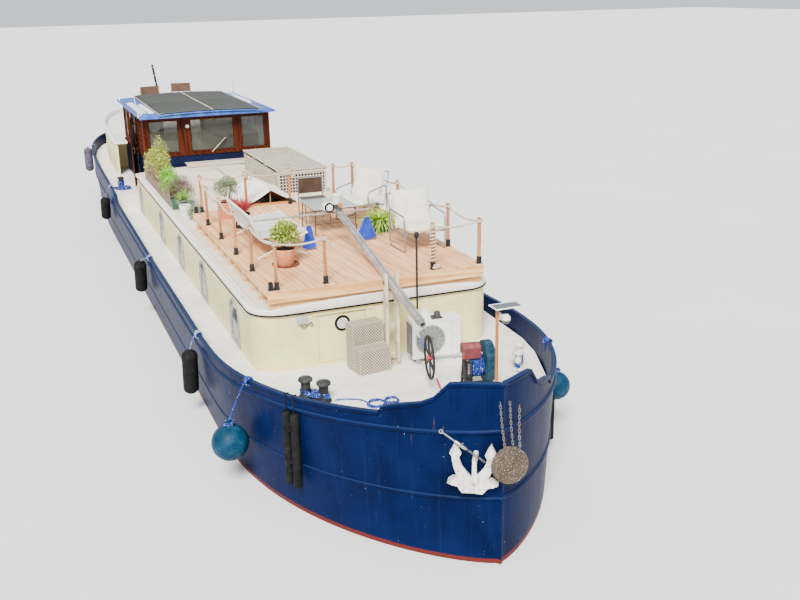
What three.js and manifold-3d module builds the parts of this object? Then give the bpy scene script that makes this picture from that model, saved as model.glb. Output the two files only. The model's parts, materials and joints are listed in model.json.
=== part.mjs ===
// A canal barge converted to a live-aboard houseboat, afloat. Millimetres, +Z up.
// The origin is the foot of the stem on the waterline: the bow faces -Y, port is +X.
import * as THREE from 'three';
import { mergeVertices } from 'three/addons/utils/BufferGeometryUtils.js';
import Module from 'manifold-3d';

const wasm = await Module();
wasm.setup();

// driving dimensions
const GAP = 0.3;             // clearance between faces that touch
const LENGTH = 26000;        // stem to stern at deck level
const BOW_END = 4600;        // where the bow curve meets the straight side
const STERN_START = 18000;   // where the side starts to round in
const DRAFT = 800;
const DECK_Z = 1250;         // fore and side deck
const DECK_T = 14;
const AFT_DECK_Y = 15750;    // step up to the aft deck
const AFT_DECK_Z = 1660;
const BULWARK_T = 50;
const CABIN_Y0 = 3790;
const CABIN_Y1 = 15600;
const CABIN_HALF = 1835;
const CABIN_CORNER = 400;    // radius of the two front corners
const WALL_T = 50;
const ROOF_Z0 = 2080;        // underside of the roof edge band
const ROOF_Z1 = 2170;        // top of the roof at its edge
const CAMBER = 80;           // rise of the roof at the centreline
const PLATFORM = { y0: 3725, y1: 9200, half: 1650, z: 2477, board: 28 };
const HOUSE = { y0: 15680, y1: 19450, half: 1580, sill: 2520, head: 3480, wall: 60 };

// waterlines of the hull: height, half-beam, bow end, stern end
const WATERLINES = [
  { z: -800, half: 1780, bow: 620, stern: 22400 },
  { z: -700, half: 2060, bow: 380, stern: 22800 },
  { z: -500, half: 2190, bow: 190, stern: 23300 },
  { z: -250, half: 2235, bow: 70, stern: 23900 },
  { z: -60, half: 2248, bow: 10, stern: 24400 },
  { z: 0, half: 2250, bow: 0, stern: 25500 },
  { z: 120, half: 2262, bow: 0, stern: 25800 },
  { z: 1500, half: 2400, bow: 0, stern: 26000 },
  { z: 2400, half: 2420, bow: 0, stern: 26000 },
];
// gunwale height along the hull
const SHEER = [
  { y: 0, z: 2275 }, { y: 180, z: 2270 }, { y: 300, z: 2245 }, { y: 420, z: 2048 },
  { y: 520, z: 1975 }, { y: 740, z: 1905 }, { y: 860, z: 1850 }, { y: 910, z: 1775 },
  { y: 1400, z: 1718 }, { y: 2000, z: 1655 }, { y: 3000, z: 1594 }, { y: 3600, z: 1560 },
  { y: 5000, z: 1505 }, { y: 10000, z: 1460 },
  { y: 15500, z: 1540 }, { y: 15700, z: 1720 }, { y: 17400, z: 1770 }, { y: 20000, z: 1870 },
  { y: 26000, z: 1980 },
];
// rubbing strakes: height at the stem, height aft of the bow, radius at the stem and aft
const STRAKES = [
  { bow: 850, aft: 560, r0: 26, r1: 14 },
  { bow: 1690, aft: 1250, r0: 30, r1: 30 },
];

const COLOURS = {
  hull: [0x173a78, 0.45, 0], deck: [0xe9e9e4, 0.6, 0], cream: [0xefe6c8, 0.5, 0],
  white: [0xf2f2ee, 0.5, 0], navy: [0x16204a, 0.5, 0], mahogany: [0x6b2f1c, 0.45, 0],
  timber: [0xc99468, 0.7, 0], canvas: [0x1f2a24, 0.8, 0], glass: [0x35424a, 0.1, 0],
  black: [0x18191b, 0.75, 0], steel: [0xb9bcc0, 0.35, 0.9], rope: [0xcdbd9a, 0.9, 0],
  fender: [0x1b5a78, 0.5, 0], weave: [0xb3a48c, 0.9, 0], orange: [0xc7722f, 0.6, 0],
  terracotta: [0xc0683c, 0.8, 0], cloth: [0xf4f3ef, 0.9, 0], bronze: [0x9a7a3c, 0.4, 0.9],
  brown: [0x7c6152, 0.9, 0], line: [0x2d4f9e, 0.9, 0], leaf: [0x5f8a35, 0.8, 0],
  grey: [0x9a9d9f, 0.6, 0.2], red: [0xa8232a, 0.5, 0],
};

const boat = new THREE.Group();

// solids
function toSolid(geometry) {
  const g = geometry.clone();
  g.deleteAttribute('normal');
  g.deleteAttribute('uv');
  const m = mergeVertices(g, 1e-3);
  return new wasm.Manifold(new wasm.Mesh({
    numProp: 3,
    vertProperties: new Float32Array(m.attributes.position.array),
    triVerts: new Uint32Array(m.index.array),
  }));
}

function toGeometry(solid) {
  const mesh = solid.getMesh();
  const g = new THREE.BufferGeometry();
  g.setAttribute('position', new THREE.BufferAttribute(new Float32Array(mesh.vertProperties), 3));
  g.setIndex(new THREE.BufferAttribute(new Uint32Array(mesh.triVerts), 1));
  g.computeVertexNormals();
  return g;
}

function join(...parts) {
  let all = toSolid(parts[0]);
  for (const part of parts.slice(1)) all = all.add(toSolid(part));
  return toGeometry(all);
}

function cut(body, ...tools) {
  let all = toSolid(body);
  for (const tool of tools) all = all.subtract(toSolid(tool));
  return toGeometry(all);
}

function common(a, b) {
  return toGeometry(toSolid(a).intersect(toSolid(b)));
}

function box(x0, x1, y0, y1, z0, z1) {
  const g = new THREE.BoxGeometry(x1 - x0, y1 - y0, z1 - z0);
  return g.translate((x0 + x1) / 2, (y0 + y1) / 2, (z0 + z1) / 2);
}

// A round bar between two points.
function rod(a, b, r0, r1 = r0, sides = 5) {
  const from = new THREE.Vector3(...a);
  const to = new THREE.Vector3(...b);
  const along = to.clone().sub(from);
  const g = new THREE.CylinderGeometry(r1, r0, along.length(), sides);
  const turn = new THREE.Quaternion().setFromUnitVectors(
    new THREE.Vector3(0, 1, 0), along.clone().normalize());
  g.applyQuaternion(turn);
  return g.translate(...from.add(to).multiplyScalar(0.5).toArray());
}

// A round bar that runs through a list of points.
function pipe(points, r, sides = 6, steps = 0) {
  const curve = new THREE.CatmullRomCurve3(points.map((p) => new THREE.Vector3(...p)));
  const section = new THREE.Shape();
  section.absarc(0, 0, r, 0, Math.PI * 2);
  const ring = new THREE.Shape(section.getPoints(sides / 2).slice(0, -1));
  const g = new THREE.ExtrudeGeometry(ring, {
    steps: steps || (points.length - 1) * 3, extrudePath: curve,
  });
  return g;
}

// Outlines drawn in XY, YZ or XZ and extruded along the third axis; holes go right through.
function prism(outline, depth) {
  const shape = new THREE.Shape(outline.map(([a, b]) => new THREE.Vector2(a, b)));
  return new THREE.ExtrudeGeometry(shape, { depth, bevelEnabled: false });
}

function extrude(outline, depth, holes = []) {
  if (!holes.length) return prism(outline, depth);
  return cut(prism(outline, depth), ...holes.map(
    (hole) => prism(hole, depth + 20).translate(0, 0, -10)));
}

function slabZ(outline, z0, z1, holes) {
  return extrude(outline, z1 - z0, holes).translate(0, 0, z0);
}

function slabX(outline, x0, x1, holes) {
  const m = new THREE.Matrix4().makeBasis(
    new THREE.Vector3(0, 1, 0), new THREE.Vector3(0, 0, 1), new THREE.Vector3(1, 0, 0));
  return extrude(outline, x1 - x0, holes).applyMatrix4(m).translate(x0, 0, 0);
}

function slabY(outline, y0, y1, holes) {
  const m = new THREE.Matrix4().makeBasis(
    new THREE.Vector3(1, 0, 0), new THREE.Vector3(0, 0, 1), new THREE.Vector3(0, -1, 0));
  return extrude(outline, y1 - y0, holes).applyMatrix4(m).translate(0, y1, 0);
}

function rect(a0, a1, b0, b1) {
  return [[a0, b0], [a1, b0], [a1, b1], [a0, b1]];
}

// An arched window outline: straight jambs under a half-ellipse head.
function arch(centre, width, bottom, top, grow = 0) {
  const w = width / 2 + grow;
  const spring = top - 190;
  const points = [[centre - w, bottom - grow], [centre + w, bottom - grow]];
  for (let i = 0; i <= 6; i += 1) {
    const a = (Math.PI * i) / 6;
    points.push([centre + w * Math.cos(a), spring + (190 + grow) * Math.sin(a)]);
  }
  return points;
}

// A closed body through rings of equal point count; the first and last rings are flat.
function loft(rings) {
  const count = rings[0].length;
  const position = rings.flat(2);
  const index = [];
  for (let j = 0; j + 1 < rings.length; j += 1) {
    for (let i = 0; i < count; i += 1) {
      const a = j * count + i;
      const b = j * count + ((i + 1) % count);
      index.push(a, b, b + count, a, b + count, a + count);
    }
  }
  const cap = (ring) => THREE.ShapeUtils.triangulateShape(
    ring.map(([x, y]) => new THREE.Vector2(x, y)), []);
  for (const [a, b, c] of cap(rings[0])) index.push(a, c, b);
  const last = (rings.length - 1) * count;
  for (const [a, b, c] of cap(rings[rings.length - 1])) index.push(last + a, last + b, last + c);
  const g = new THREE.BufferGeometry();
  g.setAttribute('position', new THREE.Float32BufferAttribute(position, 3));
  g.setIndex(index);
  g.computeVertexNormals();
  return g;
}

function add(name, geometry, [colour, roughness, metalness], place = {}) {
  const mesh = new THREE.Mesh(
    geometry, new THREE.MeshStandardMaterial({ color: colour, roughness, metalness }));
  mesh.name = name;
  if (place.at) mesh.position.set(...place.at);
  if (place.turn) mesh.rotation.set(...place.turn);
  boat.add(mesh);
  return mesh;
}

function lerpTable(table, key, value, field) {
  if (value <= table[0][key]) return table[0][field];
  for (let i = 1; i < table.length; i += 1) {
    const a = table[i - 1];
    const b = table[i];
    if (value <= b[key]) {
      return a[field] + ((b[field] - a[field]) * (value - a[key])) / (b[key] - a[key]);
    }
  }
  return table[table.length - 1][field];
}

// hull
// Stations along one side, as distances from the stem at deck level.
const STATIONS = [
  0, 60, 180, 300, 420, 520, 740, 860, 910, 1400, 2000, 3000, 3600, 5000,
  10000, 15500, 15700, 18000, 20000, 21800, 23200, 24400, 25300, 25850,
];
const STEM_HALF = 30;

function breadth(y) {
  if (y < BOW_END) return Math.pow(Math.max(0, 1 - Math.pow(1 - y / BOW_END, 2.2)), 0.78);
  if (y < STERN_START) return 1;
  const s = (y - STERN_START) / (LENGTH - STERN_START);
  return Math.pow(Math.max(0, 1 - Math.pow(s, 3.2)), 0.38);
}

// A point of the starboard side: nominal station, height, and offset outward.
function sidePoint(station, z, out) {
  const half = lerpTable(WATERLINES, 'z', z, 'half');
  const bow = lerpTable(WATERLINES, 'z', z, 'bow');
  const stern = lerpTable(WATERLINES, 'z', z, 'stern');
  const at = (s) => {
    let y = s;
    if (s < BOW_END) y = bow + (s * (BOW_END - bow)) / BOW_END;
    if (s > STERN_START) {
      y = STERN_START + ((s - STERN_START) * (stern - STERN_START)) / (LENGTH - STERN_START);
    }
    return [Math.max(STEM_HALF, half * breadth(s)), y];
  };
  const [x, y] = at(station);
  const a = at(Math.max(0, station - 30));
  const b = at(Math.min(LENGTH - 10, station + 30));
  const along = Math.hypot(b[0] - a[0], b[1] - a[1]) || 1;
  const nx = station === 0 ? Math.SQRT1_2 : (b[1] - a[1]) / along;
  const ny = station === 0 ? -Math.SQRT1_2 : -(b[0] - a[0]) / along;
  return [-Math.max(8, x + nx * out), y + ny * out, z];
}

// A full ring round the hull: height by station, outward offset by station.
function ring(zOf, outOf, stations = STATIONS) {
  const side = stations.map((s) => sidePoint(s, zOf(s), outOf(s)));
  const zBow = zOf(0);
  const zStern = zOf(LENGTH);
  const stern = lerpTable(WATERLINES, 'z', zStern, 'stern') + outOf(LENGTH);
  const bow = lerpTable(WATERLINES, 'z', zBow, 'bow') - 30 - outOf(0);
  return [
    [0, bow, zBow], ...side.slice().map((p) => p),
    [0, stern, zStern], ...side.slice().reverse().map(([x, y, z]) => [-x, y, z]),
  ].reverse();
}

const sheerAt = (s) => lerpTable(SHEER, 'y', s, 'z');
const easeAft = (s) => Math.min(1, s / 5000) ** 0.8;
const strakeZ = (k, s) => k.bow + (k.aft - k.bow) * easeAft(s);
const strakeR = (k, s) => k.r0 + (k.r1 - k.r0) * Math.min(1, s / 5000);

// The hull's outside grown by an offset; solid from the keel to the gunwale.
function hullOutside(grow) {
  const rings = [-800, -700, -250, -60, 0].map((z) => ring(
    () => z - (z === -DRAFT ? grow : 0), () => grow));
  for (const k of STRAKES) {
    for (const [dz, out] of [[-1, 0], [0, 0.9], [1, 0]]) {
      rings.push(ring((s) => strakeZ(k, s) + dz * strakeR(k, s), (s) => out * strakeR(k, s) + grow));
    }
  }
  rings.push(ring((s) => sheerAt(s) - 55, () => grow));
  rings.push(ring((s) => sheerAt(s) - 40, () => 22 + grow));
  rings.push(ring((s) => sheerAt(s) + grow, () => 18 + grow));
  return rings;
}

const hullFloor = DECK_Z - DECK_T - GAP;
const shell = hullOutside(0);
shell.push(ring(sheerAt, () => -BULWARK_T));
shell.push(ring(() => hullFloor, () => -BULWARK_T));
const skeg = [
  slabX([[21600, -770], [23980, -770], [24050, -500], [24050, -360], [23900, -20], [21600, 20]],
    -45, 45),
  box(-40, 40, 22000, 25300, -800, -745),
  rod([0, 23300, -430], [0, 24120, -430], 75, 75, 12),
];
// The plating below deck level is one solid, the bulwark that stands on it another.
const plating = loft(shell);
add('hull', common(plating, box(-4000, 4000, -1000, 27000, -900, hullFloor)), COLOURS.hull);
// the same outside with one clearance more, which trims whatever lies against the hull
const hullKeepOut = (() => {
  const rings = hullOutside(GAP);
  rings.push(ring((s) => sheerAt(s) + GAP, () => -BULWARK_T - GAP));
  rings.push(ring(() => hullFloor, () => -BULWARK_T - GAP));
  return loft(rings);
})();

// Trims a piece against the hull and keeps its main body.
function against(geometry) {
  const pieces = toSolid(cut(geometry, hullKeepOut)).decompose();
  pieces.sort((a, b) => b.volume() - a.volume());
  return toGeometry(pieces[0]);
}

add('skeg', against(join(...skeg)), COLOURS.hull);

// decks, and the bollards on their base plates
function deckOutline(y0, y1, z, inset) {
  const side = STATIONS.filter((s) => s >= y0 && s <= y1).map((s) => sidePoint(s, z, -inset));
  const bow = y0 === 0 ? [[0, -30 + inset, z]] : [];
  const stern = y1 >= LENGTH ? [[0, lerpTable(WATERLINES, 'z', z, 'stern') - inset, z]] : [];
  return [...bow, ...side, ...stern, ...side.slice().reverse().map(([x, y]) => [-x, y, z])].reverse();
}

function deckBody(y0, y1, z0, z1, ease) {
  const inset = BULWARK_T + 2 * GAP;
  return loft([
    deckOutline(y0, y1, z0, inset), deckOutline(y0, y1, z0, inset + ease).map(([x, y]) => [x, y, z1]),
  ]);
}

function bollard(x, y, z, r) {
  return [
    rod([x, y, z - 8], [x, y, z + 30], r * 1.5, r * 1.4, 8),
    rod([x, y, z + 20], [x, y, z + 240], r, r * 0.9, 8),
    rod([x, y, z + 225], [x, y, z + 275], r * 1.45, r * 1.25, 8),
  ];
}
const BOLLARDS = {
  starboard: [{ x: -1450, y: 2780, r: 68 }, { x: -1270, y: 2560, r: 68 }],
  port: [{ x: 1560, y: 2480, r: 55 }, { x: 1740, y: 2760, r: 55 }],
};
add('deck', common(deckBody(0, 15700, DECK_Z - DECK_T, DECK_Z, 0),
  box(-4000, 4000, -500, 15680 - GAP, 1000, 1500)), COLOURS.deck);
add('aft_deck', deckBody(15700, LENGTH, DECK_Z - DECK_T, AFT_DECK_Z, -12).translate(0, -20, 0),
  COLOURS.deck);
for (const [side, pair] of Object.entries(BOLLARDS)) {
  const [a, b] = pair;
  const turn = Math.atan2(b.y - a.y, b.x - a.x);
  const plate = box(-140, 140, -60, 60, 0, 12).rotateZ(turn)
    .translate((a.x + b.x) / 2, (a.y + b.y) / 2, DECK_Z + GAP);
  add(`bollards_${side}`, join(plate, ...pair.flatMap((p) => bollard(p.x, p.y, DECK_Z + 10, p.r))),
    COLOURS.deck);
}
// One more stands aft of the step, on a bracket from the bulwark.
const bulwarkTop = common(plating, box(-4000, 4000, -1000, 27000, hullFloor + GAP, 3000));
const aftRail = sidePoint(16550, AFT_DECK_Z + 60, -BULWARK_T);
add('bulwark', join(bulwarkTop,
  ...bollard(-2130, 16550, AFT_DECK_Z + 10, 55),
  box(aftRail[0] - 10, -2130, 16520, 16580, AFT_DECK_Z + 15, AFT_DECK_Z + 45)), COLOURS.hull);

// cabin
const WINDOWS = [
  { y: 5170, w: 520, z0: 1310, z1: 1950 }, { y: 7570, w: 520, z0: 1310, z1: 1935 },
  { y: 9750, w: 520, z0: 1310, z1: 1925 }, { y: 12020, w: 520, z0: 1310, z1: 1915 },
  { y: 15080, w: 420, z0: 1310, z1: 1915 },
];
const DOOR = { x0: -935, x1: -225, z0: 1300, z1: 2000, t: 35 };
const DOOR_PIN = { x: -941, y: CABIN_Y0 + WALL_T + 12, r: 7, zs: [1430, 1830], h: 55 };
const cabinFloor = DECK_Z + GAP;
const cabinTop = ROOF_Z0 - GAP;
const sideStart = CABIN_Y0 + CABIN_CORNER;

function frontOutline(half, y0, r, yEnd) {
  const points = [];
  for (let i = 0; i <= 6; i += 1) {
    const a = (Math.PI / 2) * (i / 6);
    points.push([-(half - r + r * Math.cos(a)), y0 + r - r * Math.sin(a)]);
  }
  const port = points.slice().reverse().map(([x, y]) => [-x, y]);
  return [[-half, yEnd], ...points, ...port, [half, yEnd]];
}
const frontWall = (() => {
  const outer = frontOutline(CABIN_HALF, CABIN_Y0, CABIN_CORNER, sideStart);
  const inner = frontOutline(
    CABIN_HALF - WALL_T, CABIN_Y0 + WALL_T, CABIN_CORNER - WALL_T, sideStart);
  return slabZ([...outer, ...inner.reverse()], cabinFloor, cabinTop);
})();
add('cabin_front', join(
  cut(frontWall,
    box(DOOR.x0 - 6, DOOR.x1 + 6, CABIN_Y0 - 50, CABIN_Y0 + 200, DOOR.z0 - 6, DOOR.z1 + 6)),
  box(-1250, -1120, CABIN_Y0 - 60, CABIN_Y0 + 10, 1930, 2060),
  ...DOOR_PIN.zs.map((z) => box(DOOR_PIN.x - 20, DOOR_PIN.x, CABIN_Y0 + WALL_T - 5, DOOR_PIN.y + 8,
    z - 25, z))), COLOURS.cream);
for (const [name, sign] of [['cabin_side_starboard', -1], ['cabin_side_port', 1]]) {
  const x0 = sign < 0 ? -CABIN_HALF : CABIN_HALF - WALL_T;
  const side = slabX(rect(sideStart + GAP, CABIN_Y1 - (sign < 0 ? WALL_T + GAP : 1), cabinFloor, cabinTop),
    x0, x0 + WALL_T, WINDOWS.map((w) => arch(w.y, w.w, w.z0, w.z1)));
  const aft = box(-CABIN_HALF, CABIN_HALF, CABIN_Y1 - WALL_T, CABIN_Y1, cabinFloor, cabinTop);
  add(name, sign < 0 ? side : join(side, aft), COLOURS.cream);
}

function camberLine(half, z, rise, steps = 8) {
  return Array.from({ length: steps + 1 }, (_, i) => {
    const x = half - (2 * half * i) / steps;
    return [x, z + rise * (1 - (x / half) ** 2)];
  });
}
const roofHalf = CABIN_HALF + 30;
const roofBlank = slabY(
  [[-roofHalf, ROOF_Z0], [roofHalf, ROOF_Z0], ...camberLine(roofHalf, ROOF_Z1, CAMBER)],
  CABIN_Y0 - 40, CABIN_Y1 + 30);
const roofPlan = slabZ(
  frontOutline(roofHalf, CABIN_Y0 - 30, CABIN_CORNER + 30, CABIN_Y1 + 20),
  ROOF_Z0 - 50, ROOF_Z1 + 200);
add('cabin_roof', common(roofBlank, roofPlan), COLOURS.cream);

// Panes and their frames on one side, held by a strip inside the wall.
for (const [name, sign] of [['cabin_windows_starboard', -1], ['cabin_windows_port', 1]]) {
  const face = CABIN_HALF + GAP;
  const inside = CABIN_HALF - WALL_T - GAP;
  const span = (a, b) => (sign < 0 ? [-b, -a] : [a, b]);
  const parts = WINDOWS.flatMap((w) => [
    slabX(arch(w.y, w.w, w.z0, w.z1, 45), ...span(face, face + 14)),
    slabX(arch(w.y, w.w, w.z0, w.z1, -GAP), ...span(inside - 10, face + 5)),
  ]);
  parts.push(slabX(rect(WINDOWS[0].y, WINDOWS[4].y, 1320, 1350), ...span(inside - 12, inside)));
  add(name, join(...parts), COLOURS.glass);
}

// Front door of the cabin, hinged at its starboard edge and opening inward.
const doorY1 = CABIN_Y0 + WALL_T;
const porthole = rod([-570, doorY1 - DOOR.t - 14, 1850], [-570, doorY1 + 4, 1850], 118, 118, 20);
add('cabin_door', join(
  box(DOOR.x0, DOOR.x1, doorY1 - DOOR.t, doorY1, DOOR.z0, DOOR.z1), porthole,
  ...DOOR_PIN.zs.flatMap((z) => [
    rod([DOOR_PIN.x, DOOR_PIN.y, z + GAP], [DOOR_PIN.x, DOOR_PIN.y, z + DOOR_PIN.h],
      DOOR_PIN.r, DOOR_PIN.r, 10),
    box(DOOR_PIN.x + 5.5, DOOR_PIN.x + 18, DOOR_PIN.y - 16, DOOR_PIN.y + 4, z + GAP, z + DOOR_PIN.h),
  ])), COLOURS.cream);

// timber platform on the cabin roof
const frameTop = PLATFORM.z - PLATFORM.board + 4;
const joistSection = [
  ...camberLine(roofHalf, ROOF_Z1 + GAP, CAMBER, 8).reverse()
    .filter(([x]) => Math.abs(x) < PLATFORM.half - 30)
    .map(([x, z]) => [x, z]),
];
const edgeZ = ROOF_Z1 + GAP + CAMBER * (1 - ((PLATFORM.half - 12) / roofHalf) ** 2) + 6;
const joistOutline = [
  [-(PLATFORM.half - 12), edgeZ + 2], ...joistSection, [PLATFORM.half - 12, edgeZ + 2],
  [PLATFORM.half - 12, frameTop], [-(PLATFORM.half - 12), frameTop],
];
const frameParts = [box(-PLATFORM.half, PLATFORM.half, PLATFORM.y0, PLATFORM.y1,
  PLATFORM.z - PLATFORM.board, PLATFORM.z)];
for (let y = PLATFORM.y0 + 70; y < PLATFORM.y1 - 60; y += 505) {
  frameParts.push(slabY(joistOutline, y, y + 50));
}
const rim = PLATFORM.half - 6;
for (const sign of [-1, 1]) {
  frameParts.push(box(Math.min(sign * rim, sign * (rim - 40)), Math.max(sign * rim, sign * (rim - 40)),
    PLATFORM.y0 + 4, PLATFORM.y1 - 4, frameTop - 90, frameTop));
}
frameParts.push(box(-rim, rim, PLATFORM.y0 + 4, PLATFORM.y0 + 44, frameTop - 160, frameTop));
frameParts.push(box(-rim, rim, PLATFORM.y1 - 44, PLATFORM.y1 - 4, frameTop - 160, frameTop));
add('platform', join(...frameParts), COLOURS.timber);

// Rails: turned posts in black sockets, one rope from top to top.
const RAIL_STARBOARD = [
  [-795, 3790], [-1505, 3790], [-1590, 4850], [-1590, 5880], [-1590, 6960], [-1590, 8050],
  [-1480, 9135], [-630, 9135], [220, 9135],
];
const RAIL_PORT = [
  [850, 3790], [1600, 3790], [1605, 4900], [1605, 5960], [1605, 7020], [1605, 8080],
  [1500, 9135], [1105, 9135],
];
const POST = { r: 26, h: 680, socket: 42, rope: 15, sag: 70 };
function railPost([x, y]) {
  const z = PLATFORM.z + GAP;
  return [
    rod([x, y, z], [x, y, z + 110], POST.socket, POST.socket - 4, 6),
    rod([x, y, z + 90], [x, y, z + POST.h + 20], POST.r, POST.r, 5),
  ];
}
function railRun(points) {
  const z = PLATFORM.z + POST.h - 30;
  const parts = points.flatMap(railPost);
  for (let i = 0; i + 1 < points.length; i += 1) {
    const [ax, ay] = points[i];
    const [bx, by] = points[i + 1];
    const sag = POST.sag * Math.min(1, Math.hypot(bx - ax, by - ay) / 1000);
    const curve = [0, 0.25, 0.5, 0.75, 1].map((t) => [
      ax + (bx - ax) * t, ay + (by - ay) * t, z - 4 * sag * t * (1 - t)]);
    parts.push(pipe(curve, POST.rope, 4, 3));
  }
  return join(...parts);
}
add('rail_starboard', railRun(RAIL_STARBOARD), COLOURS.orange);
add('rail_port', railRun(RAIL_PORT), COLOURS.orange);

// wheelhouse
const houseZ0 = AFT_DECK_Z + GAP;
const H = HOUSE;
const DOORWAY = { y0: 17080, y1: 17760 };
const sideRect = (y0, y1) => rect(y0, y1, houseZ0, H.sill - GAP);
const coaming = [
  box(-H.half, H.half, H.y0, H.y0 + H.wall, ROOF_Z1 + CAMBER + 40, H.sill - GAP),
  box(-H.half, -H.half + 200, H.y0, H.y0 + H.wall, houseZ0, H.sill - GAP),
  box(H.half - 200, H.half, H.y0, H.y0 + H.wall, houseZ0, H.sill - GAP),
  box(-H.half, H.half, H.y0, H.y0 + H.wall, houseZ0, H.sill - GAP),
  box(-H.half, -520, H.y1 - H.wall, H.y1, houseZ0, H.sill - GAP),
  box(520, H.half, H.y1 - H.wall, H.y1, houseZ0, H.sill - GAP),
  slabX(sideRect(H.y0, DOORWAY.y0), -H.half, -H.half + H.wall),
  slabX(sideRect(DOORWAY.y1, H.y1), -H.half, -H.half + H.wall),
  slabX(sideRect(H.y0, DOORWAY.y0), H.half - H.wall, H.half),
  slabX(sideRect(DOORWAY.y1, H.y1), H.half - H.wall, H.half),
  box(-H.half, H.half, H.y0, H.y1, houseZ0, houseZ0 + 30),
  box(-640, 920, 15290, H.y0 + 10, 2290, 2315),
];

const paneBottom = H.sill + 90;
const paneTop = H.head - 110;
const FRONT_PANES = [
  { a: -1430, b: -740 }, { a: -420, b: 640 }, { a: 860, b: 1430 },
];
const SIDE_PANES = [
  { a: 15830, b: 16170 }, { a: 16250, b: 16560 }, { a: 16640, b: 16980 },
  { a: 17900, b: 18580 }, { a: 18660, b: 19330 },
];
const holesOf = (panes, shrink = 0) => panes.map(
  (p) => rect(p.a + shrink, p.b - shrink, paneBottom + shrink, paneTop - shrink));
add('wheelhouse_front', slabY(rect(-H.half, H.half, H.sill, H.head),
  H.y0, H.y0 + H.wall, holesOf(FRONT_PANES)), COLOURS.mahogany);
const AFT_PANES = [{ a: -1430, b: -620 }, { a: 620, b: 1430 }];
add('wheelhouse_aft', slabY([
  [-H.half, H.sill], [-520, H.sill], [-520, H.head - 90], [520, H.head - 90], [520, H.sill],
  [H.half, H.sill], [H.half, H.head], [-H.half, H.head]],
  H.y1 - H.wall, H.y1, holesOf(AFT_PANES)), COLOURS.mahogany);
const sideFrameOutline = [
  [H.y0 + H.wall + GAP, H.sill], [DOORWAY.y0, H.sill], [DOORWAY.y0, H.head - 70],
  [DOORWAY.y1, H.head - 70], [DOORWAY.y1, H.sill], [H.y1 - H.wall - GAP, H.sill],
  [H.y1 - H.wall - GAP, H.head], [H.y0 + H.wall + GAP, H.head],
];
const LUGS = [2650, 3170];
for (const [name, sign] of [['wheelhouse_side_starboard', -1], ['wheelhouse_side_port', 1]]) {
  const span = (a, b) => (sign < 0 ? [-b, -a] : [a, b]);
  add(name, join(
    slabX(sideFrameOutline, ...span(H.half - H.wall, H.half), holesOf(SIDE_PANES)),
    ...LUGS.map((z) => box(...span(H.half - 5, H.half + 18), DOORWAY.y0 - 16, DOORWAY.y0, z, z + 30))),
  COLOURS.mahogany);
}
// All panes, tied together by a thin strip inside the frames.
const glassT = 8;
const glass = [];
const inFace = H.half - H.wall - GAP;
const inFront = H.y0 + H.wall + GAP;
const inAft = H.y1 - H.wall - GAP;
for (const p of FRONT_PANES) {
  glass.push(slabY(rect(p.a + GAP, p.b - GAP, paneBottom + GAP, paneTop - GAP),
    inFront - 30, inFront + glassT));
}
for (const p of AFT_PANES) {
  glass.push(slabY(rect(p.a + GAP, p.b - GAP, paneBottom + GAP, paneTop - GAP),
    inAft - glassT, inAft + 30));
}
for (const sign of [-1, 1]) {
  const span = (a, b) => (sign < 0 ? [-b, -a] : [a, b]);
  for (const p of SIDE_PANES) {
    glass.push(slabX(rect(p.a + GAP, p.b - GAP, paneBottom + GAP, paneTop - GAP),
      ...span(inFace - glassT, inFace + 30)));
  }
  glass.push(slabX(rect(inFront, inAft, paneTop - 12, paneTop + 18),
    ...span(inFace - glassT - 2, inFace)));
}
glass.push(box(-inFace + 1, inFace - 1, inFront, inFront + glassT + 2, paneTop - 10, paneTop + 20));
glass.push(box(-inFace + 1, inFace - 1, inAft - glassT - 2, inAft, paneTop - 10, paneTop + 20));
add('wheelhouse_glass', join(...glass), COLOURS.glass);

const roofEdge = 1660;
const houseRoof = [
  slabY([[-roofEdge, H.head + GAP], [roofEdge, H.head + GAP],
    ...camberLine(roofEdge, H.head + 60, 60)], 15350, 19950),
  slabY([...camberLine(1300, H.head + 85, 50), ...camberLine(1300, H.head + 40, 20).reverse()],
    15400, 19930),
];
for (const [a, b] of [
  [[-1655, 15600, 3500], [-1810, 15600, 4690]], [[-1655, 15600, 3520], [-1560, 15600, 3520]],
  [[-1640, 19500, 3500], [-1620, 19500, 3750]], [[1620, 19800, 3500], [1639, 19800, 3940]]]) {
  houseRoof.push(rod(a, b, 9, 7, 5));
}
add('wheelhouse_roof', join(...houseRoof), COLOURS.canvas);

// Doors: a starboard leaf that stands open against the side, a port leaf shut.
// Each leaf is drawn round its hinge line, which stands off the side by its own clearance.
const LEAF = { y0: 6, y1: 671, t: 32, off: 14, z0: AFT_DECK_Z + 45, z1: H.head - 82 };
const BARREL = { r: 8, zs: LUGS.map((z) => z + 30), h: 70 };
const OPEN = THREE.MathUtils.degToRad(166);
function leaf() {
  const hole = rect(LEAF.y0 + 130, LEAF.y1 - 130, H.sill + 80, LEAF.z1 - 130);
  return join(
    slabX(rect(LEAF.y0, LEAF.y1, LEAF.z0, LEAF.z1), LEAF.off, LEAF.off + LEAF.t, [hole]),
    box(LEAF.off + 10, LEAF.off + 22, LEAF.y0 + 100, LEAF.y1 - 100, H.sill + 60, LEAF.z1 - 110),
    box(LEAF.off - 36, LEAF.off + 5, LEAF.y1 - 90, LEAF.y1 - 74, 2520, 2540),
    box(LEAF.off - 36, LEAF.off + 5, LEAF.y1 - 90, LEAF.y1 - 74, 2640, 2660),
    box(LEAF.off - 40, LEAF.off - 26, LEAF.y1 - 90, LEAF.y1 - 74, 2520, 2660),
    ...BARREL.zs.flatMap((z) => [
      rod([0, 0, z + GAP], [0, 0, z + BARREL.h], BARREL.r, BARREL.r, 12),
      box(0, LEAF.off + 8, 5.5, LEAF.y0 + 6, z + GAP, z + BARREL.h),
    ]));
}
const HINGE = { x: H.half + LEAF.off, y: DOORWAY.y0 };
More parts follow.
